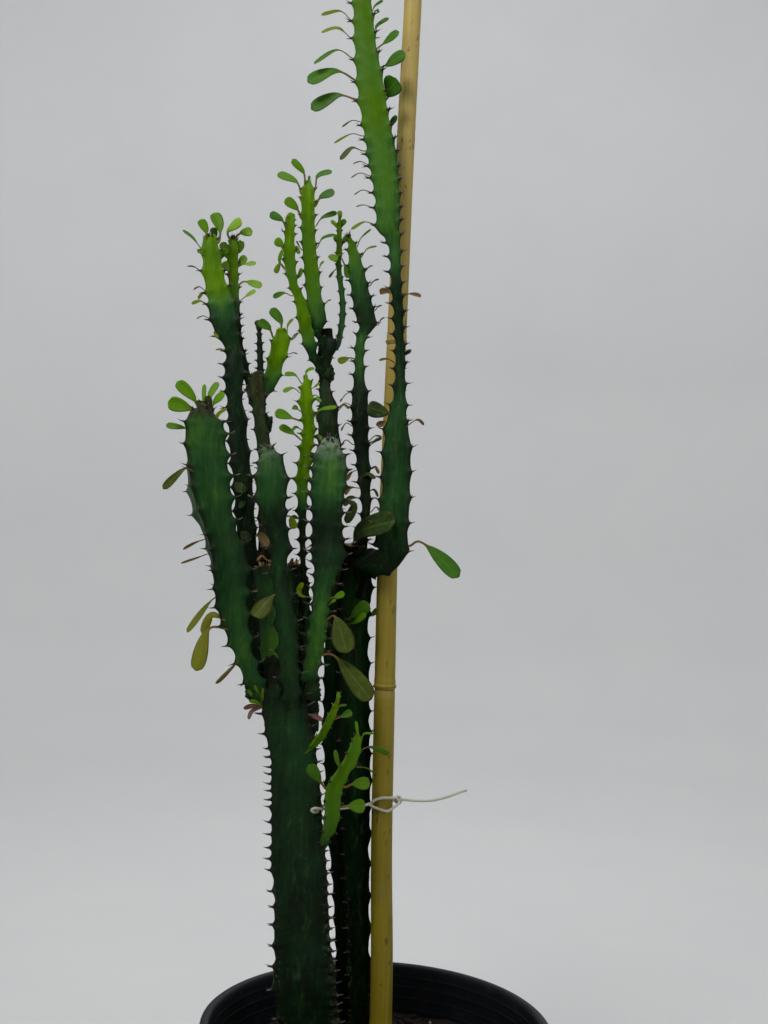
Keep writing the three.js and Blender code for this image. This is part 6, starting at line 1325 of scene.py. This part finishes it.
def pot_material():
    N = Nodes("pot_black_plastic")
    base = N.mix(N.noise(14, 3), rgba((8, 11, 15)), rgba((13, 17, 22)))
    dust = N.math("MULTIPLY", N.step(N.noise(55, 5, 0.72), 0.50, 0.80), 0.07)
    c = N.mix(dust, base, rgba((112, 104, 92)))
    scr = N.math("MULTIPLY", N.step(N.noise(1.0, 2, 0.5, N.scaled(900, 900, 26)), 0.66, 0.76), 0.22)
    c = N.mix(scr, c, rgba((70, 74, 78)))
    h = N.math("ADD", N.math("MULTIPLY", N.noise(1600, 2), 0.5), N.noise(90, 3))
    nrm = N.bump(h, 0.25, 0.0004)
    rough = N.math("ADD", 0.40, N.math("MULTIPLY", N.noise(40, 4, 0.7), 0.20))
    return N.done(c, rough, nrm, 0.16)


def soil_material():
    N = Nodes("bark_compost")
    a = N.noise(210, 6, 0.75)
    c = N.ramp(a, [(0.28, rgba((8, 6, 5))), (0.5, rgba((20, 15, 11))), (0.72, rgba((42, 32, 24)))])
    v = N.voronoi(150, out="Color")
    c = N.mix(0.35, c, N.mix(v, rgba((12, 9, 7)), rgba((44, 34, 26))))
    h = N.math("ADD", N.noise(520, 5, 0.75), N.math("MULTIPLY", N.voronoi(300), 0.8))
    nrm = N.bump(h, 0.9, 0.0016)
    return N.done(c, 0.95, nrm, 0.2)


def chip_material():
    N = Nodes("bark_chips")
    k = N.attr("kind")
    c = N.ramp(k, [(0.0, rgba((14, 10, 8))), (0.4, rgba((36, 26, 19))), (0.7, rgba((72, 56, 38))), (0.9, rgba((136, 116, 84))), (1.0, rgba((196, 190, 170)))])
    g = N.noise(1.0, 5, 0.7, N.scaled(600, 200, 300))
    c = N.mix(0.5, c, N.mix(g, rgba((18, 13, 10)), c), "MULTIPLY")
    nrm = N.bump(N.noise(500, 5, 0.7), 0.7, 0.0008)
    return N.done(c, 0.88, nrm, 0.25)


def cane_material():
    N = Nodes("bamboo_skin")
    z = N.attr("zz")
    fib = N.noise(1.0, 6, 0.68, N.scaled(900, 900, 9))
    base = N.ramp(z, [(0.0, rgba((138, 124, 20))), (0.35, rgba((140, 124, 30))), (0.6, rgba((158, 138, 58))), (0.85, rgba((190, 168, 96))), (1.0, rgba((188, 164, 92)))])
    c = N.mix(N.math("MULTIPLY", fib, 0.55), base, N.mix(0.5, base, rgba((92, 76, 14))))
    wide = N.noise(1.0, 4, 0.62, N.scaled(150, 150, 5))
    c = N.mix(N.math("MULTIPLY", N.step(wide, 0.46, 0.70), 0.34), c, rgba((104, 88, 26)))
    c = N.mix(N.math("MULTIPLY", N.step(wide, 0.46, 0.26), 0.30), c, rgba((196, 182, 104)))
    streak = N.math("MULTIPLY", N.step(N.noise(1.0, 4, 0.6, N.scaled(420, 420, 10)), 0.56, 0.72), 0.42)
    c = N.mix(streak, c, rgba((92, 74, 22)))
    spot = N.math("MULTIPLY", N.step(N.noise(1.0, 3, 0.6, N.scaled(230, 230, 80)), 0.62, 0.70), 0.6)
    c = N.mix(spot, c, rgba((58, 48, 22)))
    grey = N.math("MULTIPLY", N.step(N.noise(1.0, 5, 0.72, N.scaled(70, 70, 26)), 0.56, 0.72), 0.30)
    c = N.mix(grey, c, rgba((112, 106, 84)))
    node = N.attr("node")
    c = N.mix(N.math("MULTIPLY", N.step(node, 0.15, 0.95), 0.66), c, rgba((70, 52, 24)))
    bloom = N.attr("bloom")
    c = N.mix(N.math("MULTIPLY", bloom, 0.10), c, rgba((196, 186, 140)))
    pith = N.attr("pith")
    c = N.mix(pith, c, N.mix(N.noise(400, 4), rgba((150, 122, 74)), rgba((206, 184, 134))))
    h = N.math("ADD", fib, N.math("MULTIPLY", N.noise(300, 3), 0.4))
    nrm = N.bump(h, 0.38, 0.0006)
    return N.done(c, N.math("ADD", 0.42, N.math("MULTIPLY", fib, 0.22)), nrm, 0.25)


def string_material():
    N = Nodes("string_fibre")
    f = N.noise(1400, 4, 0.7)
    c = N.ramp(f, [(0.25, rgba((150, 148, 128))), (0.55, rgba((196, 195, 178))), (0.8, rgba((226, 225, 212)))])
    nrm = N.bump(f, 0.6, 0.0004)
    return N.done(c, 0.85, nrm, 0.3, Sheen_Weight=0.25)


M_STEM, M_SPINE, M_LEAF = stem_material("stem_skin", 0.07), spine_material(), leaf_material()
# painted shade: a copy of the stem skin with no gloss at all, for the middle trunk that stands in the shade of the left
# one
M_STEM_SHADED = stem_material("stem_skin_shaded", 0.0)
M_POT, M_SOIL, M_CHIP, M_CANE, M_STRING = pot_material(), soil_material(), chip_material(), cane_material(), string_material()


def place(ob, slot, *nodes):
    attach(ob, "root")
    if nodes:
        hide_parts(*nodes)
    return ob


slots = {s["node"]: s["material_slot"] for s in frame["record"]["subparts"]}

# ------------------------------------------------------------------ string first: it is the cord
def twisted(B, pts, r, pitch, closed_knot=False, strands=3, sides=7):
    C = catmull(pts, 14)
    s = arclen(C)
    L = s[-1]
    q = np.linspace(0, L, int(L / 0.55) + 2)
    P = at(C, s, q)
    T = tangents(P)
    # a frame carried along the path
    e = unit(np.cross(T[0], np.array([0.3, 0.2, 1.0])))
    E = []
    for t in T:
        e = unit(e - t * (e @ t))
        E.append(e.copy())
    E = np.array(E)
    E2 = np.cross(T, E)
    off, rr = r * 0.50, r * 0.52
    for j in range(strands):
        ph = 2 * math.pi * (q / pitch + j / strands)
        c = P + off * (np.cos(ph)[:, None] * E + np.sin(ph)[:, None] * E2)
        TT = tangents(c)
        e = unit(np.cross(TT[0], np.array([0.3, 0.2, 1.0])))
        V = []
        for i, t in enumerate(TT):
            e = unit(e - t * (e @ t))
            b = np.cross(t, e)
            taper = min(1.0, 0.35 + (q[-1] - q[i]) / 1.5, 0.35 + q[i] / 1.5)
            for k in range(sides):
                a = 2 * math.pi * k / sides
                V.append(c[i] + rr * taper * (math.cos(a) * e + math.sin(a) * b))
        B.add(V, ring_faces(len(q), sides), 0)


B = Builder([])
TAIL = [tuple(0.35 * a + 0.65 * b for a, b in zip(TAIL[0], KNOT))] + list(TAIL)
twisted(B, TAIL, 1.3, 5.2)
tail = B.make("string_end", [M_STRING])
place(tail, "string", "tie_tail")

B = Builder([])
twisted(B, LOOP, 1.3, 5.2)
twisted(B, STRAND, 1.3, 5.2)
# the knot: one string wound twice over itself
kn = np.array(KNOT)
kp = []
for t in np.linspace(0, 2 * math.pi, 26)[:-1]:
    kp.append(kn + np.array([3.0 * math.sin(t) * 1.0, 1.9 * math.cos(2 * t), 2.0 * math.sin(2 * t) + 0.9 * math.cos(t)]))
kp.append(kp[0])
twisted(B, kp, 1.25, 5.0)
kp = []
for t in np.linspace(0, 2 * math.pi, 22)[:-1]:
    kp.append(kn + np.array([1.3 * math.sin(2 * t), 2.3 * math.cos(t), 2.7 * math.sin(t)]))
kp.append(kp[0])
twisted(B, kp, 1.2, 5.0)
place(B.make("string_loop", [M_STRING]), "string", "tie_loop")

# ------------------------------------------------------------------ stems
KNOBS = {
    "trunk_left": [((-76, -9.5, 521), 10, 8, 10), ((-83, -11.5, 511), 9, 5, 11), ((-68, -5, 516), 8, 7, 12), ((-97, -7.5, 530), 9, 7, 13),
                   ((-116, 3, 546), 5, 5, 8), ((-106, -1, 556), 5, 5, 6), ((-120, -3, 530), 5, 4.5, 7), ((-65, -4, 505), 5, 5, 9)],
    "cut_stub": [((-79, 7, 618), 5.5, 6, 13), ((-78, 6, 600), 6, 6.5, 14), ((-78, 5, 580), 6.5, 6.5, 15), ((-77, 3, 560), 7, 7, 15), ((-114, 8, 634), 6, 6, 5), ((-84, 6, 632), 6, 6, 6), ((-102, -3, 637), 7, 5, 5)],
    "stem_grey": [((-66, 31, 818), 5, 5, 8), ((-70, 31, 780), 6, 5, 8), ((-64, 34, 742), 5, 5, 9), ((-72, 31, 848), 4, 4, 6)],
    "stem_brown": [((-121, 29, 770), 5, 5, 8), ((-131, 32, 797), 5, 5, 8)],
    "trunk_middle": [((-31, 19, 652), 8, 7, 9), ((-46, 19, 650), 7, 6, 8)],
    "branch_front_right": [((-67, -13, 536), 8, 7, 11)],
}
for index, name in enumerate(STEMS):
    B = build_stem(name, index)
    for j, (c, rx, ry, rz) in enumerate(KNOBS.get(name, [])):
        lump(B, c, rx, ry, rz, 0.80 if name == "trunk_left" else 1.0, 0.34 if name == "trunk_left" else 0.5, 900 + 10 * index + j, 0.26)
    if name == "cut_stub":
        top = np.array([-99.1, 8, 640.0])
        rr = np.random.RandomState(41)
        for j in range(44):
            a = rr.uniform(0, 2 * math.pi)
            o = np.array([math.cos(a), math.sin(a), 0])
            flake(B, top + o * rr.uniform(9, 20) + np.array([0, 0, rr.uniform(-5, 1)]), o * rr.uniform(0.1, 0.8) + np.array([0, 0, 1.0]),
                  rr.uniform(2.5, 7.5), rr.uniform(3, 9.5), 950 + j, rr.uniform(0.6, 1.0))
    place(B.make(f"{name}_skin", [M_STEM_SHADED if name == "trunk_middle" else M_STEM, M_SPINE]), slots.get(name), name)

# ------------------------------------------------------------------ leaves
groups = {}
for i, (stem, node, p, width, colour, pet) in enumerate(LEAVES):
    key = node or f"small_{stem}"
    groups.setdefault(key, []).append(i)
# Colour kinds for single leaves; kind 10 is painted light, leaves lit through from behind.
TINTS = {"leaf_shoot_back_left_1": 10, "leaf_shoot_back_left_2": 10, "leaf_tall_branch_6": 7, "leaf_tall_branch_7": 7, "leaf_trunk_middle_1": 5, "leaf_branch_front_left_1": 8, "leaf_branch_front_left_2": 8, "leaf_branch_front_left_3": 8,
         "leaf_trunk_middle_2": 1, "leaf_shoot_low_large_1": 1, "leaf_shoot_low_large_2": 2, "leaf_shoot_low_large_3": 2}
for key, ids in groups.items():
    B = Builder(LEAF_ATTRS)
    for i in ids:
        stem, node, p, width, colour, pet = LEAVES[i]
        curl = 0.75 if colour == 3 else None
        colour = TINTS.get(node, colour)
        # painted light: the small leaves of these two shoots get kind 10, the glow of leaves lit through from behind
        if stem in ("shoot_back_left", "shoot_right_thin") and colour in (2, 4, 7):
            colour = 10
        leaf(B, (p[0:3], p[3:6], p[6:9], p[9:12]), width, colour, pet, 500 + i, curl)
    if key.startswith("small_"):
        place(B.make(f"little_leaves_{key[6:]}", [M_LEAF]), "leaf_green")
    else:
        place(B.make(f"{key}_blades", [M_LEAF]), slots.get(key), key)

# Leaflets the tips carry on every ridge: share of the stem from the top that has them, length at the tip, colours.
# colour 10 in these lists is painted light: leaflets lit through from behind
SPROUTS = {
    "tall_branch": (0.42, 15.0, (1, 7, 2)), "branch_back_left": (0.22, 9.0, (10, 2)), "shoot_back_left": (0.6, 9.0, (10, 10, 2)),
    "shoot_left": (0.75, 7.5, (2, 10, 4)), "shoot_middle": (0.6, 8.5, (2, 1)), "shoot_right_thin": (0.6, 7.0, (10, 2, 4)),
    "paddle_small": (0.5, 7.0, (1, 2)), "shoot_lime": (0.5, 7.5, (2, 4)), "branch_back_right": (0.34, 8.0, (1, 4, 2)),
    "branch_front_left": (0.1, 8.0, (2, 1)), "shoot_low_large": (0.8, 5.0, (2, 1)), "shoot_low_small": (0.8, 3.5, (2,)),
}
for index, name in enumerate(SPROUTS):
    share, size, colours = SPROUTS[name]
    r = np.random.RandomState(700 + index)
    C, s = stem_curve(name)
    L = s[-1]
    B = Builder(LEAF_ATTRS)
    count = 0
    for k, row in enumerate(tooth_rows(name)):
        for t in row:
            if t < L * (1 - share) or t > L - 0.5:
                continue
            st = at(C, s, np.array([t]))[0]
            a0, b0 = at(C, s, np.array([max(t - 1, 0), min(t + 1, L)]))
            T = unit((b0 - a0)[:3])
            e1 = unit(np.array([1.0, 0, 0]) - T * T[0])
            a = math.radians(st[4] + 120 * k)
            o = math.cos(a) * e1 + math.sin(a) * np.cross(T, e1)
            back = o[1] > 0.25
            front = o[1] < -0.55
            keep = r.uniform()
            if not (back or front) or keep > (0.85 if back else 0.5):
                continue
            ln = size * r.uniform(0.7, 1.25) * (1.25 if back else 0.5) * (0.5 + 0.5 * (t - L * (1 - share)) / (L * share))
            side = np.cross(T, o)
            base = st[:3] + o * (st[3] + 0.2)
            sw = r.uniform(-0.5, 0.5)
            mid = base + o * ln * 0.5 + T * ln * r.uniform(0.0, 0.35) + side * sw * ln * 0.2
            tip = base + o * ln * r.uniform(0.75, 0.95) + T * ln * r.uniform(-0.1, 0.6) + side * sw * ln * 0.5
            leaf(B, (base - o * 1.6, base, mid, tip), ln * r.uniform(0.26, 0.36), int(r.choice(colours)), r.uniform(0.12, 0.3), 1500 + 40 * index + count,
                 looks=T * r.uniform(0.4, 1.0) - o * 0.35 + side * r.uniform(-0.8, 0.8))
            count += 1
    if count:
        place(B.make(f"leaflets_{name}", [M_LEAF]), "leaf_young")

# ------------------------------------------------------------------ pot
def lathe(profile, segments, closed=True):
    prof = np.array(profile, float)
    V = []
    for k in range(segments):
        a = 2 * math.pi * k / segments
        for r, z in prof:
            V.append((r * math.cos(a), r * math.sin(a), z))
    n = len(prof)
    F = []
    for k in range(segments):
        k2 = (k + 1) % segments
        for i in range(n - 1 if not closed else n):
            j = (i + 1) % n
            a, b, c, d = k * n + i, k2 * n + i, k2 * n + j, k * n + j
            F.append((a, b, c, d))
    return np.array(V), F


def wall_r(z):
    return POT_BASE_R + (POT_RIM_R - 4.8 - POT_BASE_R) * (z / POT_HEIGHT)


DRAIN_TURN = 0.5
def pot():
    band = POT_HEIGHT - 22
    prof = [(20, 0), (POT_BASE_R - 5, 0), (POT_BASE_R - 2.2, 0.5), (POT_BASE_R - 0.4, 2.0), (wall_r(6) + 0, 6)]
    for z in (20, 40, 60, 80, 100, 120, 140, 160, 180, 200, 215, band - 8, band - 3):
        prof.append((wall_r(z), z))
    prof += [(wall_r(band) + 0.3, band - 1.2), (POT_RIM_R - 3.4, band - 0.6), (POT_RIM_R - 2.6, band + 0.2), (POT_RIM_R - 2.1, band + 1.4),
             (POT_RIM_R - 1.6, band + 6), (POT_RIM_R - 1.2, band + 12), (POT_RIM_R - 0.7, POT_HEIGHT - 6), (POT_RIM_R - 0.2, POT_HEIGHT - 3.6),
             (POT_RIM_R - 0.1, POT_HEIGHT - 2.4), (POT_RIM_R - 0.5, POT_HEIGHT - 1.2), (POT_RIM_R - 1.5, POT_HEIGHT - 0.4), (POT_RIM_R - 3.0, POT_HEIGHT),
             (POT_RIM_R - 5.0, POT_HEIGHT - 0.1), (POT_RIM_R - 6.8, POT_HEIGHT - 0.8), (POT_RIM_R - 7.8, POT_HEIGHT - 2.0), (POT_RIM_R - 8.3, POT_HEIGHT - 4)]
    # inside: moulded rings under the rim
    def inner(z):
        return wall_r(z) - 2.6 - 0.6 * (z > band - 4)
    z = POT_HEIGHT - 8
    rings = [POT_HEIGHT - 11, POT_HEIGHT - 20, POT_HEIGHT - 30, POT_HEIGHT - 40]
    zs = sorted(set([POT_HEIGHT - 6.5] + [r0 + d for r0 in rings for d in (-1.1, -0.55, -0.25, 0.0, 0.25, 0.55, 1.1)] + [205, 190, 150, 100, 50, 12]), reverse=True)
    for z in zs:
        bulge = max([0.30 * math.exp(-((z - r0) / 0.36) ** 2) for r0 in rings] + [0])
        prof.append((inner(z) - bulge, z))
    prof += [(POT_BASE_R - 5.5, 5.2), (POT_BASE_R - 8, 4.2), (20, 4.0)]
    V, F = lathe(prof, 160)
    B = Builder([])
    n = len(prof)
    B.add(V, F, 0)
    return B.make("pot_wall", [M_POT])


def drained(ob):
    """Cuts the round drain holes through the floor."""
    import bmesh
    bm = bmesh.new()
    for k in range(8):
        a = 2 * math.pi * (k + DRAIN_TURN) / 8
        bmesh.ops.create_cone(bm, cap_ends=True, segments=32, radius1=7 * MM, radius2=7 * MM, depth=16 * MM,
                              matrix=Matrix.Translation((88 * MM * math.cos(a), 88 * MM * math.sin(a), 2 * MM)))
    me = bpy.data.meshes.new("drain_cutter")
    bm.to_mesh(me)
    bm.free()
    cutter = bpy.data.objects.new("drain_cutter", me)
    bpy.context.scene.collection.objects.link(cutter)
    mod = ob.modifiers.new("drain", "BOOLEAN")
    mod.operation, mod.solver, mod.object = "DIFFERENCE", "EXACT", cutter
    made = bpy.data.meshes.new_from_object(ob.evaluated_get(bpy.context.evaluated_depsgraph_get()))
    if len(made.polygons) > len(ob.data.polygons):
        ob.data = made
    ob.modifiers.clear()
    bpy.data.objects.remove(cutter)


def floor_plate():
    """The plain middle of the floor, round the moulding gate."""
    V, F = lathe([(0.05, 0.8), (2.2, 0.8), (2.6, 0.05), (20.6, 0.05), (20.6, 3.95), (0.05, 3.95)], 96)
    B = Builder([])
    B.add(V, F, 0)
    return B.make("pot_floor", [M_POT])


pot_ob = pot()
drained(pot_ob)
place(pot_ob, "pot_plastic", "nursery_pot")
place(floor_plate(), "pot_plastic", "nursery_pot")

# ------------------------------------------------------------------ soil
def soil_height(x, y):
    r = np.hypot(x, y)
    h = SOIL_TOP + 6 * np.clip(1 - r / 130, 0, 1) ** 0.8
    p = np.stack([x, y, x * 0], -1)
    h = h + 1.7 * wave(p, 3, 60) + 1.1 * wave(p, 4, 22) + 0.7 * wave(p, 5, 9)
    for hx, hy, hr, hh in ((-92, 22, 20, 3.5), (-40, 46, 26, 3.0), (22, 30, 22, 3.0), (60, 74, 30, 2.5), (-20, 98, 30, 2.0)):
        h = h + hh * np.exp(-((x - hx) ** 2 + (y - hy) ** 2) / hr ** 2)
    return h - 1.0


def soil():
    nr, na = 70, 200
    B = Builder([])
    V = []
    rr = wall_r(SOIL_TOP) - 3.4
    for i in range(nr + 1):
        r = rr * (i / nr)
        for k in range(na):
            a = 2 * math.pi * k / na
            V.append((r * math.cos(a), r * math.sin(a), 0))
    V = np.array(V)
    V[:, 2] = soil_height(V[:, 0], V[:, 1])
    edge = V[-na:].copy()
    low = edge.copy()
    low[:, 2] = SOIL_TOP - 20
    low[:, :2] *= (wall_r(SOIL_TOP - 20) - 3.4) / rr
    low2 = edge.copy()
    low2[:, 2] = 5
    low2[:, :2] *= (wall_r(5) - 7) / rr
    V = np.vstack([V[na:], low, low2])      # the centre ring is one point
    centre = np.array([[0, 0, float(soil_height(np.array([0.0]), np.array([0.0]))[0])]])
    F = ring_faces(nr + 2, na, caps=False)
    n = len(V)
    V = np.vstack([V, centre, [[0, 0, 5]]])
    for k in range(na):
        F.append((n, (k + 1) % na, k)[::-1] if False else (n, k, (k + 1) % na))
        b = (nr + 1) * na
        F.append((n + 1, b + (k + 1) % na, b + k))
    F = [f[::-1] for f in F[:(nr + 1) * na]] + F[(nr + 1) * na:]
    B.add(V, F, 0)
    return B.make("soil_bed", [M_SOIL])


place(soil(), "soil", "soil")


def chips():
    r = np.random.RandomState(77)
    B = Builder(["kind"])
    stems = []
    for nm in ("trunk_left", "trunk_middle"):
        C, s = stem_curve(nm)
        j = np.argmin(abs(C[:, 2] - 207))
        stems.append((C[j, 0], C[j, 1], C[j, 3]))
    stems.append((CANE[1][0], CANE[1][1], 10))
    for i in range(2600):
        a, q = r.uniform(0, 2 * math.pi), (wall_r(SOIL_TOP) - 6) * math.sqrt(r.uniform(0, 1))
        x, y = q * math.cos(a), q * math.sin(a)
        if any(math.hypot(x - sx, y - sy) < sr * 0.8 for sx, sy, sr in stems):
            continue
        near = min(math.hypot(x - sx, y - sy) - sr for sx, sy, sr in stems) < 14
        big = r.uniform() < (0.26 if near else 0.16)
        size = r.uniform(4, 9.5) if big else r.uniform(1.4, 3.8)
        if q + size > wall_r(SOIL_TOP) - 4:
            continue
        kind = min(0.95, max(0, r.normal(0.30, 0.22)))
        if r.uniform() < (0.08 if near else 0.035):
            kind, size = 1.0, r.uniform(1.2, 3.2)
        z = float(soil_height(np.array([x]), np.array([y]))[0])
        ax = np.array([r.normal(), r.normal(), r.normal() * 0.35])
        ax = unit(ax)
        up_ = unit(np.array([r.normal() * 0.25, r.normal() * 0.25, 1.0]))
        sd = unit(np.cross(up_, ax))
        ax = np.cross(sd, up_)
        dims = np.array([size, size * r.uniform(0.35, 0.8), size * r.uniform(0.18, 0.5)]) * 0.5
        if kind == 1.0:
            dims = np.array([size, size, size]) * 0.5
        V, nlat, nlon = [], 4, 7
        for la in range(nlat + 1):
            th = math.pi * (0.06 + 0.88 * la / nlat)
            for lo in range(nlon):
                ph = 2 * math.pi * lo / nlon
                e = 0.62
                d = [math.copysign(abs(math.sin(th) * math.cos(ph)) ** e, math.cos(ph)), math.copysign(abs(math.sin(th) * math.sin(ph)) ** e, math.sin(ph)), math.copysign(abs(math.cos(th)) ** e, math.cos(th))]
                d = np.array(d) * dims * r.uniform(0.82, 1.12, 3)
                V.append(np.array([x, y, z + dims[2] * 0.35]) + ax * d[0] + sd * d[1] + up_ * d[2])
        B.add(V, [f[::-1] for f in ring_faces(nlat + 1, nlon)], 0, kind=kind)
    # scraps of straw and thin roots
    for i in range(150):
        a, q = r.uniform(0, 2 * math.pi), (wall_r(SOIL_TOP) - 14) * math.sqrt(r.uniform(0, 1))
        if i < 50:
            sx, sy, sr = stems[i % 3]
            a, q = r.uniform(0, 2 * math.pi), sr + r.uniform(1, 10)
            x, y = sx + q * math.cos(a), sy + q * math.sin(a)
        else:
            x, y = q * math.cos(a), q * math.sin(a)
        if any(math.hypot(x - sx, y - sy) < sr * 0.9 for sx, sy, sr in stems) or math.hypot(x, y) > wall_r(SOIL_TOP) - 14:
            continue
        z = float(soil_height(np.array([x]), np.array([y]))[0])
        d = unit(np.array([r.normal(), r.normal(), r.uniform(-0.05, 0.4)]))
        side = unit(np.cross(d, np.array([0, 0, 1.0])))
        up_ = np.cross(side, d)
        ln, th, bend = r.uniform(4, 15), r.uniform(0.25, 0.7), r.uniform(-2, 2)
        V = []
        for j in range(7):
            u = j / 6
            c = np.array([x, y, z + 0.4]) + d * ln * (u - 0.4) + side * bend * math.sin(math.pi * u)
            for k in range(5):
                t = 2 * math.pi * k / 5
                V.append(c + (side * math.cos(t) + up_ * math.sin(t)) * th * (0.5 if j in (0, 6) else 1))
        B.add(V, [f[::-1] for f in ring_faces(7, 5)], 0, kind=r.uniform(0.62, 0.97))
    return B.make("bark_chips", [M_CHIP], smooth=False)


place(chips(), "soil")

# ------------------------------------------------------------------ cane
def cane():
    C = np.array(CANE, float)
    z0, z1 = C[0, 2], C[-1, 2]
    zs = set(np.linspace(z0, z1, 320).round(2))
    for zn in CANE_NODES:
        for d in np.linspace(-9, 9, 37):
            zs.add(round(zn + d, 2))
    zs = np.array(sorted(z for z in zs if z0 <= z <= z1))
    fine = catmull(C[np.argsort(C[:, 2])], 10)
    X = np.stack([np.interp(zs, fine[:, 2], fine[:, k]) for k in (0, 1, 3)], 1)
    n = 48
    ang = np.linspace(0, 2 * math.pi, n, endpoint=False)
    V, zz, node, bloom, pith = [], [], [], [], []
    for z, (x, y, r) in zip(zs, X):
        d = min(CANE_NODES, key=lambda q: abs(q - z)) - z   # positive below the joint
        rr = r + 1.15 * math.exp(-((d + 0.2) / 1.5) ** 2) - 0.38 * math.exp(-((d - 2.9) / 1.1) ** 2) + 0.35 * math.exp(-((d + 4.5) / 2.6) ** 2)
        nd = max(math.exp(-((d - 2.7) / 0.8) ** 2), 0.7 * math.exp(-((d + 0.3) / 0.7) ** 2))
        bl = math.exp(-((d - 6.5) / 4.0) ** 2) if d > 0 else 0
        for a in ang:
            ra = rr * (1 + 0.012 * math.sin(2 * a + z * 0.004) + 0.006 * math.sin(5 * a + z * 0.01))
            V.append((x + ra * math.cos(a), y + ra * math.sin(a), z))
            zz.append((z - z0) / (z1 - z0)); node.append(nd); bloom.append(bl); pith.append(0)
    # the open end: rim, bore and its floor
    x, y, r = X[-1]
    for f, dz, pi_ in ((0.97, 0.25, 0.6), (0.90, 0.35, 1), (0.62, 0.30, 1), (0.50, 0.05, 1), (0.45, -2, 1), (0.44, -14, 1), (0.42, -27, 1), (0.2, -28, 1)):
        for a in ang:
            V.append((x + r * f * math.cos(a), y + r * f * math.sin(a), zs[-1] + dz - 0.35))
            zz.append(1); node.append(0); bloom.append(0); pith.append(pi_)
    B = Builder(["zz", "node", "bloom", "pith"])
    B.add(V, ring_faces(len(V) // n, n), 0, zz=zz, node=node, bloom=bloom, pith=pith)
    return B.make("cane_stick", [M_CANE])


place(cane(), "cane", "bamboo_stake")

# ------------------------------------------------------------------ floor, backdrop and light
def studio():
    prof = [(0.0, 0.0), (1.2, 0.0), (2.2, 0.0), (2.7, 0.04), (3.0, 0.16), (3.2, 0.42), (3.3, 0.8), (3.35, 1.5), (3.4, 2.6), (3.4, 4.2)]
    V, F, seg = [], [], 96
    for r, z in prof[1:]:
        for k in range(seg):
            a = 2 * math.pi * k / seg
            V.append((r * math.cos(a), r * math.sin(a), z - 0.0004))
    for i in range(len(prof) - 2):
        for k in range(seg):
            k2 = (k + 1) % seg
            F.append((i * seg + k, (i + 1) * seg + k, (i + 1) * seg + k2, i * seg + k2))
    F.append(tuple(range(seg)))
    me = bpy.data.meshes.new("studio_floor")
    me.from_pydata(V, [], F)
    me.polygons.foreach_set("use_smooth", [True] * len(me.polygons))
    N = Nodes("studio_paint")
    c = N.mix(N.noise(3, 3), rgba((196, 197, 198)), rgba((204, 204, 203)))
    me.materials.append(N.done(c, 0.9, None, 0.2))
    ob = bpy.data.objects.new("studio_floor", me)
    bpy.context.scene.collection.objects.link(ob)


studio()


def area(name, loc, target, size, power, color=(1, 1, 1)):
    l = bpy.data.lights.new(name, "AREA")
    l.shape = "DISK"
    l.size = size
    l.energy = power
    l.color = color
    o = bpy.data.objects.new(name, l)
    bpy.context.scene.collection.objects.link(o)
    o.location = loc
    o.rotation_euler = (Vector(target) - Vector(loc)).to_track_quat("-Z", "Y").to_euler()
    o.visible_camera = False
    return o


area("key", (-0.75, -1.25, 2.35), (-0.05, 0.0, 0.95), 0.7, 26, (1.0, 0.99, 0.97))
area("fill", (1.9, -1.6, 1.7), (0, 0, 0.6), 1.8, 6, (0.95, 0.98, 1.0))
area("back", (0.7, 2.3, 2.6), (0, 0, 0.7), 1.6, 14, (1.0, 1.0, 1.0))
area("wash_rear", (0.0, 1.0, 3.2), (-0.2, 3.3, 1.3), 2.2, 42, (0.96, 0.98, 1.0))
area("wash_front", (0.0, -1.4, 3.4), (0.0, -3.3, 1.0), 2.2, 14, (1.0, 1.0, 1.0))
area("wash_left", (-1.6, 0.0, 3.3), (-3.3, 0.0, 1.1), 2.2, 13, (1.0, 1.0, 1.0))
area("wash_right", (1.6, 0.0, 3.3), (3.3, 0.0, 1.1), 2.2, 13, (1.0, 1.0, 1.0))
world = bpy.data.worlds.new("world")
world.use_nodes = True
world.node_tree.nodes["Background"].inputs[0].default_value = (0.80, 0.82, 0.85, 1)
world.node_tree.nodes["Background"].inputs[1].default_value = 0.26
bpy.context.scene.world = world
bpy.context.scene.view_settings.view_transform = "Standard"
